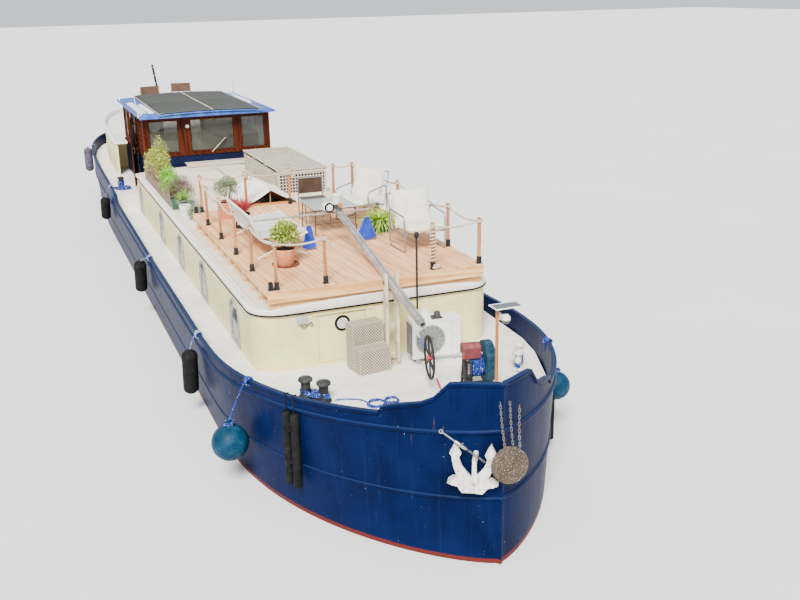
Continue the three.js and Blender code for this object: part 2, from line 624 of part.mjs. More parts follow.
for (const [name, sign, turn] of [
  ['wheelhouse_door_starboard', -1, OPEN], ['wheelhouse_door_port', 1, 0]]) {
  const mesh = add(name, leaf(), COLOURS.mahogany,
    { at: [sign * HINGE.x, HINGE.y, 0], turn: [0, 0, turn] });
  mesh.scale.x = -sign;
}

// Helm: a console behind the starboard front pane and a wheel on its aft face.
const HELM = { x: -950, y0: 15790, y1: 16240, z: 2440, r: 320, hub: 2300 };
add('wheelhouse_coaming', join(...coaming,
  box(HELM.x - 400, HELM.x + 400, HELM.y0, HELM.y1, houseZ0 + 20, HELM.z),
  rod([HELM.x, HELM.y1 - 5, HELM.hub], [HELM.x, HELM.y1 + 60, HELM.hub], 40, 40, 12)), COLOURS.navy);
const wheelY = HELM.y1 + 60 + GAP;
const helmRim = new THREE.TorusGeometry(HELM.r, 14, 4, 16).rotateX(Math.PI / 2);
const helmSpokes = [0, 1, 2].map((i) => {
  const a = (i * Math.PI) / 3;
  const c = Math.cos(a) * HELM.r;
  const s = Math.sin(a) * HELM.r;
  return rod([-c, 25, -s], [c, 25, s], 10, 10, 4);
});
add('helm_wheel', join(
  helmRim.translate(0, 25, 0), ...helmSpokes, rod([0, 0, 0], [0, 50, 0], 45, 45, 12)),
COLOURS.steel, { at: [HELM.x, wheelY, HELM.hub] });

// aft cabin: a rounded cream house with the sitting deck on top
const AFT = { y0: 18500, front: 19560, inset: 430, wall: 60, z: 2500, roof: 55, rim: 210 };
function aftOutline(inset, y0, z) {
  const stations = [y0, 19560, 20000, 20800, 21600, 22400, 23000, 23600, 24200, 24700, 25100,
    25450, 25700, 25880].filter((s, i) => i === 0 || s > y0 + 1);
  return stations.map((s) => sidePoint(s, z, -inset)).map(([x, y]) => [x, y]);
}
const aftFront = box(-2100, 2100, AFT.front, AFT.front + AFT.wall, houseZ0, AFT.z - GAP);
const aftFill = (inset, y0, z0, z1) => {
  const a = aftOutline(inset, y0, AFT_DECK_Z);
  return slabZ([...a, ...a.slice().reverse().map(([x, y]) => [-x, y])], z0, z1);
};
const aftBody = cut(aftFill(AFT.inset, AFT.y0, houseZ0, AFT.z - GAP),
  aftFill(AFT.inset + AFT.wall, AFT.y0 - 50, houseZ0 - 10, AFT.z + 10));
add('aft_cabin', join(aftBody, cut(
  common(aftFront, aftFill(AFT.inset + 10, AFT.y0 - 50, houseZ0, AFT.z - GAP)),
  box(-330, 330, AFT.front - 50, AFT.front + 150, 1720, 2400))), COLOURS.cream);
const aftRoof = cut(
  aftFill(AFT.inset - 25, AFT.y0 - 40, AFT.z, AFT.z + AFT.rim),
  aftFill(AFT.inset + 30, AFT.y0 - 100, AFT.z + AFT.roof, AFT.z + AFT.rim + 50),
  box(-1660, 1660, AFT.y0 - 200, AFT.front - 50, AFT.z - 50, AFT.z + 400),
  slabX([[AFT.y0 - 100, AFT.z + 80], [AFT.y0 + 1500, AFT.z + AFT.rim], [AFT.y0 + 1500, 3000],
    [AFT.y0 - 100, 3000]], -3000, 3000));

// Director chairs on the sitting deck: crossed frames, slung seat and back.
function directorChair() {
  const parts = [
    box(-260, 260, -230, 230, 440, 452), box(-260, 260, 215, 235, 560, 880),
  ];
  for (const x of [-270, 270]) {
    parts.push(rod([x, -220, 0], [x, -220, 640], 14, 14, 4));
    parts.push(rod([x, 225, 0], [x, 225, 890], 14, 14, 4));
    parts.push(rod([x, -240, 640], [x, 240, 640], 18, 18, 4));
    parts.push(rod([x, -220, 446], [x, 225, 446], 12, 12, 4));
  }
  parts.push(rod([-270, -200, 30], [270, -200, 440], 11, 11, 4));
  parts.push(rod([-270, 200, 30], [270, 200, 440], 11, 11, 4));
  parts.push(rod([-275, 0, 446], [275, 0, 446], 12));
  const whole = join(...parts);
  return cut(whole, box(-400, 400, -400, 400, -100, 0));
}
const aftChairs = [[-260, 22700, 0.25], [700, 23300, -0.2]].map(([x, y, turn]) => directorChair()
  .scale(1.12, 1.12, 1.15).rotateZ(turn).translate(x, y, AFT.z + AFT.roof - 4));
const staff = [
  rod([360, 25300, AFT.z + 20], [130, 25300, 4280], 20, 14, 8),
  rod([262, 25300, 3400], [175, 25300, 4200], 46, 46, 8),
];
add('aft_cabin_roof', join(aftRoof, ...aftChairs, ...staff), COLOURS.cream);

// mast in its tabernacle
const TAB = { x: 60, y: 3470, z: 2475, gap: 62, post: 40, depth: 100, top: 2600 };
const tabOut = TAB.gap + TAB.post;
const tabParts = [
  box(TAB.x - tabOut - 8, TAB.x + tabOut + 8, TAB.y - 100, TAB.y + 120, DECK_Z + GAP, DECK_Z + 16),
];
for (const sign of [-1, 1]) {
  const a = TAB.x + sign * TAB.gap;
  const b = TAB.x + sign * tabOut;
  tabParts.push(box(Math.min(a, b), Math.max(a, b), TAB.y - TAB.depth / 2, TAB.y + TAB.depth / 2,
    DECK_Z + 10, TAB.top));
}
// braces behind the posts, out of the way of the heel
for (const z of [1300, 1750, 2200]) {
  tabParts.push(cut(box(TAB.x - tabOut, TAB.x + tabOut, TAB.y + 40, TAB.y + 90, z, z + 90),
    box(TAB.x - TAB.gap, TAB.x + TAB.gap, TAB.y, TAB.y + 66, z - 10, z + 100)));
}
add('tabernacle', join(...tabParts), COLOURS.cream);
const SLOPE = 0.2516;   // rise of the lowered mast per unit aft
const mastAt = (y, dz = 0) => [TAB.x, y, TAB.z + (y - TAB.y) * SLOPE + dz];
const [HEEL_Y, HEAD_Y] = [2337, 5700];
const YARD = { y: 5650, z: 3034, x0: -1321, x1: 558 };
const mastParts = [
  slabX([mastAt(HEEL_Y + 12, -50), mastAt(HEAD_Y + 11, -44), mastAt(HEAD_Y - 11, 44),
    mastAt(HEEL_Y - 12, 50)].map(([, y, z]) => [y, z]), TAB.x - 50, TAB.x + 50),
  rod([TAB.x - TAB.gap + GAP, TAB.y, TAB.z], [TAB.x + TAB.gap - GAP, TAB.y, TAB.z], 26, 26, 12),
  rod([YARD.x0, YARD.y, YARD.z], [YARD.x1, YARD.y, YARD.z], 16, 16, 8),
  // two lamps at its head
  rod([-129, YARD.y, 3030], [-129, YARD.y, 3070], 16, 16, 6),
  rod([-129, YARD.y, 3065], [-129, YARD.y, 3205], 92, 92, 12),
  rod([20, YARD.y - 20, 3020], [20, YARD.y - 20, 3120], 16, 16, 6),
  rod([10, YARD.y - 20, 3115], [10, YARD.y - 20, 3345], 82, 82, 12),
  // two flags on short lines down from the yard, just clear of the platform
  rod([-470, YARD.y, YARD.z], [-485, 5600, 2885], 6, 6, 4),
  box(-489, -481, 5470, 5690, 2500, 2895),
  rod([535, YARD.y, YARD.z], [555, 5700, 2875], 6, 6, 4),
  box(551, 559, 5660, 5880, 2500, 2885),
];
add('mast', join(...mastParts), COLOURS.cream);

// foredeck
const WINCH = { x0: 560, x1: 1000, y: 2300, axle: 1735, wheelX: 130, wheelR: 285, turn: -0.2 };
const aboutWheel = (g) => g.translate(-WINCH.wheelX, -WINCH.y, 0).rotateZ(WINCH.turn)
  .translate(WINCH.wheelX, WINCH.y, 0);
const winchParts = [
  box(WINCH.x0, WINCH.x1, 2140, 2460, DECK_Z + GAP, DECK_Z + 30),
  slabX([[2160, DECK_Z + 20], [2230, DECK_Z + 20], [2300, 1560], [2370, DECK_Z + 20],
    [2440, DECK_Z + 20], [2350, 1840], [2250, 1840]], WINCH.x0 + 20, WINCH.x0 + 50),
  slabX([[2160, DECK_Z + 20], [2230, DECK_Z + 20], [2300, 1560], [2370, DECK_Z + 20],
    [2440, DECK_Z + 20], [2350, 1840], [2250, 1840]], WINCH.x1 - 50, WINCH.x1 - 20),
  rod([WINCH.x0 + 25, 2300, 1560], [WINCH.x1 - 25, 2300, 1560], 130, 130, 14),
  rod([WINCH.x1 - 150, 2300, 1625], [WINCH.x1 - 5, 2300, 1625], 285, 285, 20),
  box(WINCH.x0 + 5, WINCH.x0 + 255, 2200, 2400, 1670, 1895),
  rod([WINCH.wheelX + 42, 2300, WINCH.axle], [WINCH.x1 - 30, 2300, WINCH.axle], 22, 22, 10),
];
add('winch', aboutWheel(join(...winchParts)), COLOURS.black);
const wheelSpokes = Array.from({ length: 3 }, (_, i) => {
  const a = (i * Math.PI) / 3 + 0.3;
  const c = Math.cos(a) * WINCH.wheelR;
  const s = Math.sin(a) * WINCH.wheelR;
  return rod([0, -c, -s], [0, c, s], 12, 12, 4);
});
add('winch_wheel', join(
  new THREE.TorusGeometry(WINCH.wheelR, 17, 5, 18).rotateY(Math.PI / 2),
  ...wheelSpokes, rod([-30, 0, 0], [42 - GAP, 0, 0], 40, 40, 12)),
COLOURS.black, { at: [WINCH.wheelX, WINCH.y, WINCH.axle], turn: [0, 0, WINCH.turn] });

// Condenser box on feet, its fan grille facing forward, a white lamp on top.
const AC = { w: 740, d: 290, h: 560, at: [680, 3400, DECK_Z + GAP] };
add('ac_unit', join(
  box(-AC.w / 2, AC.w / 2, -AC.d / 2, AC.d / 2, 70, 70 + AC.h),
  box(-AC.w / 2 + 60, -AC.w / 2 + 120, -AC.d / 2 - 10, AC.d / 2 + 10, 0, 80),
  box(AC.w / 2 - 120, AC.w / 2 - 60, -AC.d / 2 - 10, AC.d / 2 + 10, 0, 80),
  rod([-40, -AC.d / 2 - 16, 350], [-40, -AC.d / 2 + 10, 350], 235, 235, 24),
  box(-240, 110, -100, 60, 70 + AC.h - 5, 70 + AC.h + 20),
  rod([-160, -60, 70 + AC.h], [-160, -60, 70 + AC.h + 130], 55, 55, 12),
  rod([40, -40, 70 + AC.h], [40, -40, 70 + AC.h + 90], 60, 50, 12),
  rod([-225, 60, 70 + AC.h - 5], [-225, 60, 1860], 16, 16, 8),
  rod([-225, 60, 1820], [-225, 60, 1900], 34, 34, 8)),
COLOURS.white, { at: AC.at, turn: [0, 0, -0.06] });

// Two-step box in woven plastic.
add('boarding_steps', join(
  box(-240, 240, -20, 205, 0, 685), box(-240, 240, -225, 0, 0, 370)),
COLOURS.weave, { at: [-330, 3420, DECK_Z + GAP], turn: [0, 0, 0.13] });

// Wooden post with a lamp, a camera ball and a small panel.
add('camera_post', join(
  box(365, 425, 870, 930, DECK_Z + GAP, 2800),
  box(420, 520, 885, 915, 2700, 2725),
  rod([510, 900, 2590], [510, 900, 2710], 56, 56, 12),
  box(330, 700, 800, 1010, 2815, 2829), box(365, 425, 870, 930, 2790, 2820),
), COLOURS.timber);

// outside the bow
const anchorArm = [
  [-48, 1590], [-113, 1449], [-90, 1426], [-67, 1295], [-22, 1174], [-7, 1104], [156, 1100],
  [156, 1150], [122, 1187], [38, 1288], [-3, 1401], [23, 1452]];
const anchorLine = [[-185, -62, 1727], [290, -52, 1395]];
const anchor = join(
  slabY(anchorArm, -42, 42),
  slabY(anchorArm.map(([x, z]) => [312 - x, z]).reverse(), -42, 42),
  slabY([[-132, 1105], [-29, 1160], [341, 1160], [444, 1110], [330, 1070], [270, 995], [43, 995],
    [-10, 1070]], -75, 75),
  slabY([[148, 1090], [204, 1090], [196, 1400], [156, 1400]], -70, 0),
  slabX([[-60, 1395], [-20, 1340], [260, 1430], [260, 1490]], 148, 204),
  rod(anchorLine[0], anchorLine[1], 11, 11, 6),
  rod([anchorLine[0][0], -70, 1727], [anchorLine[0][0], 260, 1727], 13, 13, 6),
  rod([-40, -60, 1626], [75, -58, 1546], 21, 21, 8),
  rod([290, -60, 1395], [290, -30, 1395], 16, 16, 8))
  .rotateZ(-0.588).translate(-461, 136, 0);
const mat = join(
  rod([10, -225, 1350], [10, -110, 1350], 212, 212, 24),
  rod([10, -245, 1350], [10, -225, 1350], 150, 205, 24),
  rod([10, -120, 1350], [10, 200, 1350], 80, 80, 12),
  rod([-30, -150, 1500], [-60, -45, 2060], 14, 14, 6),
  rod([90, -150, 1500], [60, -45, 1980], 14, 14, 6),
  rod([-60, -45, 2050], [-60, 60, 2060], 14, 14, 6),
  rod([60, -45, 1970], [60, 60, 1980], 14, 14, 6));
const matClear = join(rod([10, -300, 1350], [10, -104, 1350], 218, 218, 24),
  rod([10, -120, 1350], [10, 200, 1350], 88, 88, 12));
add('anchor', against(cut(anchor, matClear)), COLOURS.white);
add('rope_fender', against(mat), COLOURS.brown);

// Fenders on their lanyards: top, bottom, radius and the gunwale point of each.
const FENDERS = [
  { name: 'fender_starboard_1', a: [-2530, 5350, 1130], b: [-2510, 5600, 480], r: 120, rail: 5250 },
  { name: 'fender_starboard_2', a: [-2535, 10600, 1220], b: [-2520, 10900, 655], r: 120, rail: 10200 },
  { name: 'fender_starboard_3', a: [-2535, 16900, 1315], b: [-2525, 17200, 850], r: 120, rail: 16500 },
  { name: 'fender_starboard_4', a: [-2385, 22760, 1770], b: [-2385, 22760, 1190], r: 125, rail: 22700 },
];
for (const f of FENDERS) {
  const sign = Math.sign(f.a[0]);
  const top = new THREE.Vector3(...f.a);
  const bottom = new THREE.Vector3(...f.b);
  const dir = top.clone().sub(bottom).normalize();
  const at = (v, d) => v.clone().addScaledVector(dir, d).toArray();
  const rail = sidePoint(f.rail, sheerAt(f.rail), 0);
  const edge = [-sign * rail[0], rail[1], rail[2]];
  const body = join(
    rod(f.b, f.a, f.r, f.r, 10),
    rod(f.b, at(bottom, -f.r * 0.6), f.r, f.r * 0.5, 10),
    rod(f.a, at(top, f.r * 0.6), f.r, f.r * 0.45, 10),
    rod(at(top, f.r * 0.4), [edge[0] + sign * 36, edge[1], edge[2] + 2], 9, 9, 4),
    rod([edge[0] + sign * 40, edge[1], edge[2] - 4], [edge[0] + sign * 18, edge[1], edge[2] + 10], 9, 9, 4),
    rod([edge[0] + sign * 22, edge[1], edge[2] + 8], [edge[0] - sign * 56, edge[1], edge[2] + 8], 9, 9, 4),
    rod([edge[0] - sign * 54, edge[1], edge[2] + 12], [edge[0] - sign * 60, edge[1], edge[2] - 160], 9, 9, 4));
  add(f.name, against(body), COLOURS.black);
}
const BALLS = [
  { name: 'ball_fender_starboard', c: [-2455, 3030, 690], r: 250, rail: 2900 },
  { name: 'fender_port', c: [2290, 2640, 830], r: 210, rail: 2500, tube: [1990, 2290] },
];
for (const f of BALLS) {
  const sign = Math.sign(f.c[0]);
  const rail = sidePoint(f.rail, sheerAt(f.rail), 0);
  const edge = [-sign * rail[0], rail[1], rail[2]];
  const [x, y, z] = f.c;
  const t = f.tube;
  const body = join(
    ...(t ? [rod([t[0], t[1], 190], [t[0], t[1], 850], 70, 70, 12),
      rod([t[0], t[1], 840], [x, y, z + f.r + 50], 12, 12, 4),
      rod([t[0], t[1], 700], [x, y, z], 40, 40, 6)] : []),
    new THREE.SphereGeometry(f.r, 12, 8).rotateX(Math.PI / 2).translate(x, y, z),
    rod([x, y, z + f.r * 0.9], [x, y, z + f.r + 60], 60, 40, 12),
    rod([x, y, z + f.r + 40], [edge[0] + sign * 36, edge[1], edge[2] + 2], 11, 11, 4),
    rod([edge[0] + sign * 40, edge[1], edge[2] - 4], [edge[0] + sign * 18, edge[1], edge[2] + 12], 11, 11, 4),
    rod([edge[0] + sign * 22, edge[1], edge[2] + 10], [edge[0] - sign * 58, edge[1], edge[2] + 10], 11, 11, 4),
    rod([edge[0] - sign * 56, edge[1], edge[2] + 12], [edge[0] - sign * 64, edge[1], edge[2] - 160], 11, 11, 4));
  add(f.name, against(body), COLOURS.fender);
}
// a pair of black tubes lashed side by side, upright against the starboard bow
const tubeAt = [1955, 2090].map((station) => sidePoint(station, 900, 84));
const tubes = tubeAt.map(([x, y]) => rod([x, y, 1450], [x, y, 450], 54, 54, 12));
const [tubeTop, tubeRail] = [sidePoint(2020, 1630, 60), sidePoint(2020, 1665, 30)];
add('tube_fenders', against(join(...tubes,
  rod([tubeAt[0][0], tubeAt[0][1], 1200], [tubeAt[1][0], tubeAt[1][1], 1200], 40, 40, 8),
  rod([tubeAt[0][0], tubeAt[0][1], 1410], [tubeAt[1][0], tubeAt[1][1], 1410], 24, 24, 6),
  rod([(tubeAt[0][0] + tubeAt[1][0]) / 2, (tubeAt[0][1] + tubeAt[1][1]) / 2, 1410],
    tubeTop, 11, 11, 4),
  rod(tubeTop, [tubeRail[0], tubeRail[1], 1690], 11, 11, 4))), COLOURS.black);

// roof aft of the platform
const roofZ = (x) => ROOF_Z1 + CAMBER * (1 - (x / roofHalf) ** 2) + GAP;
const roofWedge = slabY([[-1900, 1800], [1900, 1800], ...camberLine(roofHalf, ROOF_Z1 + GAP, CAMBER)
  .map(([x, z], i, all) => (i === 0 ? [1900, z] : i === all.length - 1 ? [-1900, z] : [x, z]))],
CABIN_Y0 - 200, CABIN_Y1 + 300);
const onRoof = (geometry) => cut(geometry, roofWedge);
add('hatch_box', onRoof(join(
  box(560, 1640, 11250, 14300, 2150, 2700), box(530, 1670, 11220, 14330, 2700, 2750))),
COLOURS.grey);
const SKY = { x0: -560, x1: 330, y0: 9320, y1: 10900, z: 2490 };
const skyMid = (SKY.x0 + SKY.x1) / 2;
add('skylight', onRoof(join(
  box(SKY.x0, SKY.x1, SKY.y0, SKY.y1, 2150, SKY.z),
  slabY([
    [SKY.x0 - 60, SKY.z - 50], [SKY.x1 + 60, SKY.z - 50], [SKY.x1 + 40, SKY.z + 20],
    [skyMid, SKY.z + 280], [SKY.x0 - 40, SKY.z + 20]], SKY.y0 - 60, SKY.y1 + 60))), COLOURS.orange);
// pots: a potted body and its plant's mass as one closed solid each
function pot(r0, r1, h, leafR, leafH) {
  const profile = [[0, 0], [r0, 0], [r1, h], [r1 * 0.7, h + 5], [leafR * 0.8, h + leafH * 0.25],
    [leafR, h + leafH * 0.6], [leafR * 0.55, h + leafH * 0.93], [0, h + leafH]];
  return new THREE.LatheGeometry(profile.map(([r, z]) => new THREE.Vector2(r, z)), 12)
    .rotateX(Math.PI / 2);
}
const platformTop = PLATFORM.z + GAP;
add('bush_pot', join(pot(130, 165, 260, 215, 400),
  new THREE.CylinderGeometry(210, 190, 30, 16).rotateX(Math.PI / 2).translate(0, 0, 15)),
COLOURS.terracotta, { at: [-1050, 4950, platformTop] });
add('grass_bowl', pot(150, 210, 210, 240, 260), COLOURS.leaf, { at: [1010, 6330, platformTop] });
add('palm_pot', pot(120, 155, 250, 170, 330), COLOURS.black, { at: [-1080, 7620, platformTop] });
add('shrub_pot', pot(150, 190, 300, 230, 420), COLOURS.terracotta, { at: [-1130, 8480, platformTop] });
// planting trough along the starboard roof edge, its two end pots against it
add('roof_planters', onRoof(join(
  box(-1740, -1440, 11200, 14650, 2100, 2420),
  box(-1700, -1480, 11240, 14610, 2400, 2780),
  box(-1745, -1735, 11200, 14650, 2400, 2640),
  pot(150, 190, 260, 200, 330).translate(-1590, 11030, 2140),
  pot(140, 170, 230, 200, 250).translate(-1500, 10690, 2140))), COLOURS.timber);

// platform furniture
const CHAIR = { w: 690, seat: 330, back: 830, depth: 600, tube: 14 };
function armchairFrame() {
  const w = CHAIR.w / 2;
  const parts = [];
  const tube = (a, b, r) => parts.push(rod(a, b, r, r, 4));
  for (const x of [-w, w]) {
    tube([x, -300, 10], [x, 300, 10], CHAIR.tube);
    tube([x, -300, 10], [x, -290, 560], CHAIR.tube);
    tube([x, -290, 560], [x, 280, 600], CHAIR.tube + 4);
    tube([x, 300, 10], [x, 280, 600], CHAIR.tube);
    tube([x, 200, 260], [x, 400, CHAIR.back], CHAIR.tube);
    tube([x, -290, CHAIR.seat - 40], [x, 220, 270], CHAIR.tube);
  }
  for (const [y, z] of [[-290, CHAIR.seat - 40], [210, 270], [400, CHAIR.back]]) {
    tube([-w, y, z], [w, y, z], CHAIR.tube - 2);
  }
  return cut(join(...parts), box(-500, 500, -500, 500, -60, 0));
}
function armchairCushion() {
  const w = CHAIR.w / 2 - 20;
  return slabX([[-400, 292], [150, 270], [205, 318], [390, 850], [285, 880],
    [115, 430], [-400, 430]], -w, w);
}
for (const [name, x, y, turn] of [
  ['armchair_port', 1150, 5070, 0.02], ['armchair_starboard', 1010, 7270, -0.95]]) {
  add(name, join(armchairFrame(), armchairCushion()), COLOURS.cloth,
    { at: [x, y, platformTop], turn: [0, 0, turn] });
}
// small upright chair behind the table
function sideChair() {
  const parts = [box(-215, 215, -210, 200, 400, 414), box(-215, 215, 195, 215, 470, 740)];
  for (const x of [-225, 225]) {
    parts.push(rod([x, -215, 0], [x, -200, 410], 12, 12, 4), rod([x, 215, 0], [x, 205, 745], 12, 12, 4));
    parts.push(rod([x, -205, 404], [x, 205, 404], 12, 12, 4), rod([x, -210, 120], [x, 212, 120], 10, 10, 4));
  }
  parts.push(rod([-225, -205, 404], [225, -205, 404], 12, 12, 4), rod([-225, 210, 120], [225, 210, 120], 10, 10, 4));
  return cut(join(...parts), box(-500, 500, -500, 500, -60, 0));
}
add('side_chair', sideChair(), COLOURS.brown, { at: [215, 7530, platformTop] });
// low two-seat bench of tube and straps, its back to the starboard rail
const BENCH = { y0: 5430, y1: 7080, seat: 345, top: 660, front: -560, heel: -1340, back: -1440 };
add('deck_bench', (() => {
  const b = BENCH;
  const parts = [];
  const tube = (p, q, r = 14) => parts.push(rod(p, q, r, r, 4));
  tube([b.front, b.y0, b.seat], [b.front, b.y1, b.seat], 16);
  tube([b.heel + 40, b.y0, b.seat - 40], [b.heel + 40, b.y1, b.seat - 40], 16);
  tube([b.back, b.y0, b.top], [b.back, b.y1, b.top], 16);
  for (const y of [b.y0, b.y1]) {
    tube([b.heel - 20, y, 0], [b.front, y, b.seat]);
    tube([b.front - 20, y, 0], [b.heel + 40, y, b.seat - 40]);
    tube([b.heel + 40, y, b.seat - 40], [b.back, y, b.top]);
  }
  parts.push(slabY([[b.front, b.seat], [b.front, b.seat + 14], [(b.front + b.heel) / 2, b.seat - 40],
    [b.heel + 60, b.seat - 20], [b.back + 12, b.top], [b.back, b.top], [b.heel + 36, b.seat - 46],
    [(b.front + b.heel) / 2, b.seat - 56]], b.y0 + 30, b.y1 - 30));
  return cut(join(...parts), box(-4000, 4000, 0, 9000, -60, 0));
})(), COLOURS.white, { at: [0, 0, platformTop] });
const tableLegs = [[-330, -380], [330, -380], [-330, 380], [330, 380]].map(
  ([x, y]) => rod([x * 1.1, y, 0], [x, y * 0.95, 450], 14));
add('table', cut(join(...tableLegs, box(-390, 390, -440, 440, 440, 465)),
  box(-500, 500, -600, 600, -60, 0)), COLOURS.grey, { at: [240, 6790, platformTop] });

// blue mooring line: from the inner bollard along the deck to its coil
const LINE_R = 11;
const lineZ = DECK_Z + GAP + LINE_R * Math.cos(Math.PI / 8);
const lineCurve = new THREE.CatmullRomCurve3([
  [-1140, 2520, lineZ], [-1050, 2515, lineZ], [-950, 2480, lineZ], [-850, 2420, lineZ],
  [-790, 2345, lineZ], [-772, 2260, lineZ]].map((p) => new THREE.Vector3(...p)));
const lineSection = new THREE.Shape(Array.from({ length: 8 }, (_, i) => new THREE.Vector2(
  LINE_R * Math.cos((i * Math.PI) / 4 + Math.PI / 8), LINE_R * Math.sin((i * Math.PI) / 4 + Math.PI / 8))));
add('mooring_line', join(
  new THREE.ExtrudeGeometry(lineSection, { steps: 8, extrudePath: lineCurve }),
  ...[[-670, 2185, 88, 142], [-455, 2200, 62, 116]].map(([x, y, r0, r1]) => new THREE.LatheGeometry([
    [r0, 0], [r1, 0], [r1, 44], [r0, 44], [r0, 0],
  ].map(([r, z]) => new THREE.Vector2(r, z)), 20).rotateX(Math.PI / 2)
    .translate(x, y, DECK_Z + GAP))), COLOURS.line);

// propeller and rudder
const PROP = { y: 24120 + GAP, z: -430, r: 230, hub: 70 };
const blade = slabY([[-40, 20], [-95, 150], [-60, 220], [35, 230], [95, 165], [40, 20]], 20, 34);
const blades = [0, 1, 2].map((i) => blade.clone().translate(0, -27, 0).rotateZ(0.5)
  .translate(0, 90, 0).rotateY((i * 2 * Math.PI) / 3));
add('propeller', join(
  rod([0, 0, 0], [0, 170, 0], PROP.hub, 50, 14),
  ...blades), COLOURS.bronze, { at: [0, PROP.y, PROP.z] });
const RUDDER = { y: 24960, z0: -745 + GAP };
add('rudder', join(
  slabX([[-70, -700 - RUDDER.z0], [420, -660 - RUDDER.z0], [430, -110 - RUDDER.z0],
    [-70, -90 - RUDDER.z0]], -24, 24),
  rod([0, 0, 0], [0, 0, -50 - RUDDER.z0], 45, 45, 14)),
COLOURS.black, { at: [0, RUDDER.y, RUDDER.z0] });

export default boat;
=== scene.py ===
# Blue steel houseboat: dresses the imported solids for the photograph's view and for every other side.
# Everything is in metres: x to port, y aft from the stem, z up from the waterline.
import json
import math
import bmesh
import bpy
import numpy as np
from mathutils import Matrix

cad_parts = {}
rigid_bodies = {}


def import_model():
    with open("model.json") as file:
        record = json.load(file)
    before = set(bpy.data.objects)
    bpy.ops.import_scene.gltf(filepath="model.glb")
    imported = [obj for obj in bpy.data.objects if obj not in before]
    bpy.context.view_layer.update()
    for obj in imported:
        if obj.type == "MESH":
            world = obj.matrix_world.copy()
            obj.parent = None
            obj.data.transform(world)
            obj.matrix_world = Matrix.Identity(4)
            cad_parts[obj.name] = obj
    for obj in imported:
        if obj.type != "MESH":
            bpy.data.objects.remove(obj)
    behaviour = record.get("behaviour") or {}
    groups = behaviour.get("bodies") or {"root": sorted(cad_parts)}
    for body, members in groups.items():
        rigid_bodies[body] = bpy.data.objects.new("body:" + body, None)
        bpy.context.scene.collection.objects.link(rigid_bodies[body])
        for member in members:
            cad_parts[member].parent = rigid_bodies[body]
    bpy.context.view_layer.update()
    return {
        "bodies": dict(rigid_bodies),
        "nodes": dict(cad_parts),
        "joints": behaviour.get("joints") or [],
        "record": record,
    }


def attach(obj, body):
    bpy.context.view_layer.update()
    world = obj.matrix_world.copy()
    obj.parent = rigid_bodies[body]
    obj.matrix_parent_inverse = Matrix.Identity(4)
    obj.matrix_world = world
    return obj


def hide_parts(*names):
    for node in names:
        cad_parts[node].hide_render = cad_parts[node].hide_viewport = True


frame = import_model()
nodes = frame["nodes"]
print("frame loaded,", len(nodes), "solids")

# camera at the photographer's place on the bank
view = {"at": (-4.701, -8.757, 6.438), "yaw": 0.38072, "pitch": 0.31228, "roll": -0.01795, "lens": 43.83}


def placeCamera(v):
    # forward = (sin yaw cos pitch, cos yaw cos pitch, -sin pitch); right and up are turned by roll
    sy, cy, sp, cp = math.sin(v["yaw"]), math.cos(v["yaw"]), math.sin(v["pitch"]), math.cos(v["pitch"])
    forward = np.array([sy * cp, cy * cp, -sp])
    right = np.array([cy, -sy, 0.0])
    up = np.cross(right, forward)
    sr, cr = math.sin(v["roll"]), math.cos(v["roll"])
    right, up = right * cr + up * sr, up * cr - right * sr
    data = bpy.data.cameras.new("bankCamera")
    data.lens = v["lens"]
    data.sensor_width = 36
    data.sensor_fit = "HORIZONTAL"
    data.clip_end = 400
    obj = bpy.data.objects.new("bankCamera", data)
    bpy.context.scene.collection.objects.link(obj)
    columns = np.column_stack([right, up, -forward])
    obj.matrix_world = Matrix.Translation(v["at"]) @ Matrix(columns.tolist()).to_4x4()
    bpy.context.scene.camera = obj


placeCamera(view)


# surfaces worked out as whole arrays; each gives (points, quads)


def gridQuads(rows, cols, closeRows=False, closeCols=False):
    # quad (i,j)(i+1,j)(i+1,j+1)(i,j+1) of a rows x cols grid of points, wrapped where asked
    i = np.arange(rows if closeRows else rows - 1)[:, None]
    j = np.arange(cols if closeCols else cols - 1)[None, :]
    i2, j2 = (i + 1) % rows, (j + 1) % cols
    return np.stack([i * cols + j, i2 * cols + j, i2 * cols + j2, i * cols + j2], -1).reshape(-1, 4)


def skinOf(rows, closeRows=False):
    # a stack of rings with equal counts as one skin, each ring closed on itself
    rows = np.asarray(rows, float)
    return rows.reshape(-1, 3), gridQuads(len(rows), rows.shape[1], closeRows, closeCols=True)


def clothSkin(mid, lift):
    # both faces of a cloth, one lift above and below its middle grid, and the hem between them
    n, m = mid.shape[:2]
    face, number = gridQuads(n, m), np.arange(n * m).reshape(n, m)
    border = np.concatenate([number[:-1, 0], number[-1, :-1], number[:0:-1, -1], number[0, :0:-1]])
    after = np.roll(border, -1)
    hem = np.column_stack([border, after, after + n * m, border + n * m])
    points = np.concatenate([(mid + lift).reshape(-1, 3), (mid - lift).reshape(-1, 3)])
    return points, np.concatenate([face, (face + n * m)[:, ::-1], hem])


def pathLength(path):
    # sum of the distances between neighbouring points
    return float(np.linalg.norm(np.diff(path, axis=0), axis=1).sum())


def unitOf(v):
    # v / |v|
    return v / np.linalg.norm(v)


def rowUnits(v):
    # every row of v at length 1
    return v / np.maximum(np.linalg.norm(v, axis=-1, keepdims=True), 1e-9)


def joined(*parts):
    # one list of points and one of quads, each part's numbers moved past those before it
    starts = np.cumsum([0] + [len(p[0]) for p in parts[:-1]])
    return np.concatenate([p[0] for p in parts]), np.concatenate([p[1] + s for p, s in zip(parts, starts)])


def pathFrames(path):
    # tangent = slope of the path; side = tangent x the axis that the path keeps away from
    path = np.asarray(path, float)
    tangent = rowUnits(np.gradient(path, axis=0))
    axis = np.eye(3)[np.argmin(np.abs(tangent).max(0))]
    side = rowUnits(np.cross(tangent, axis))
    return path, tangent, side, np.cross(side, tangent)


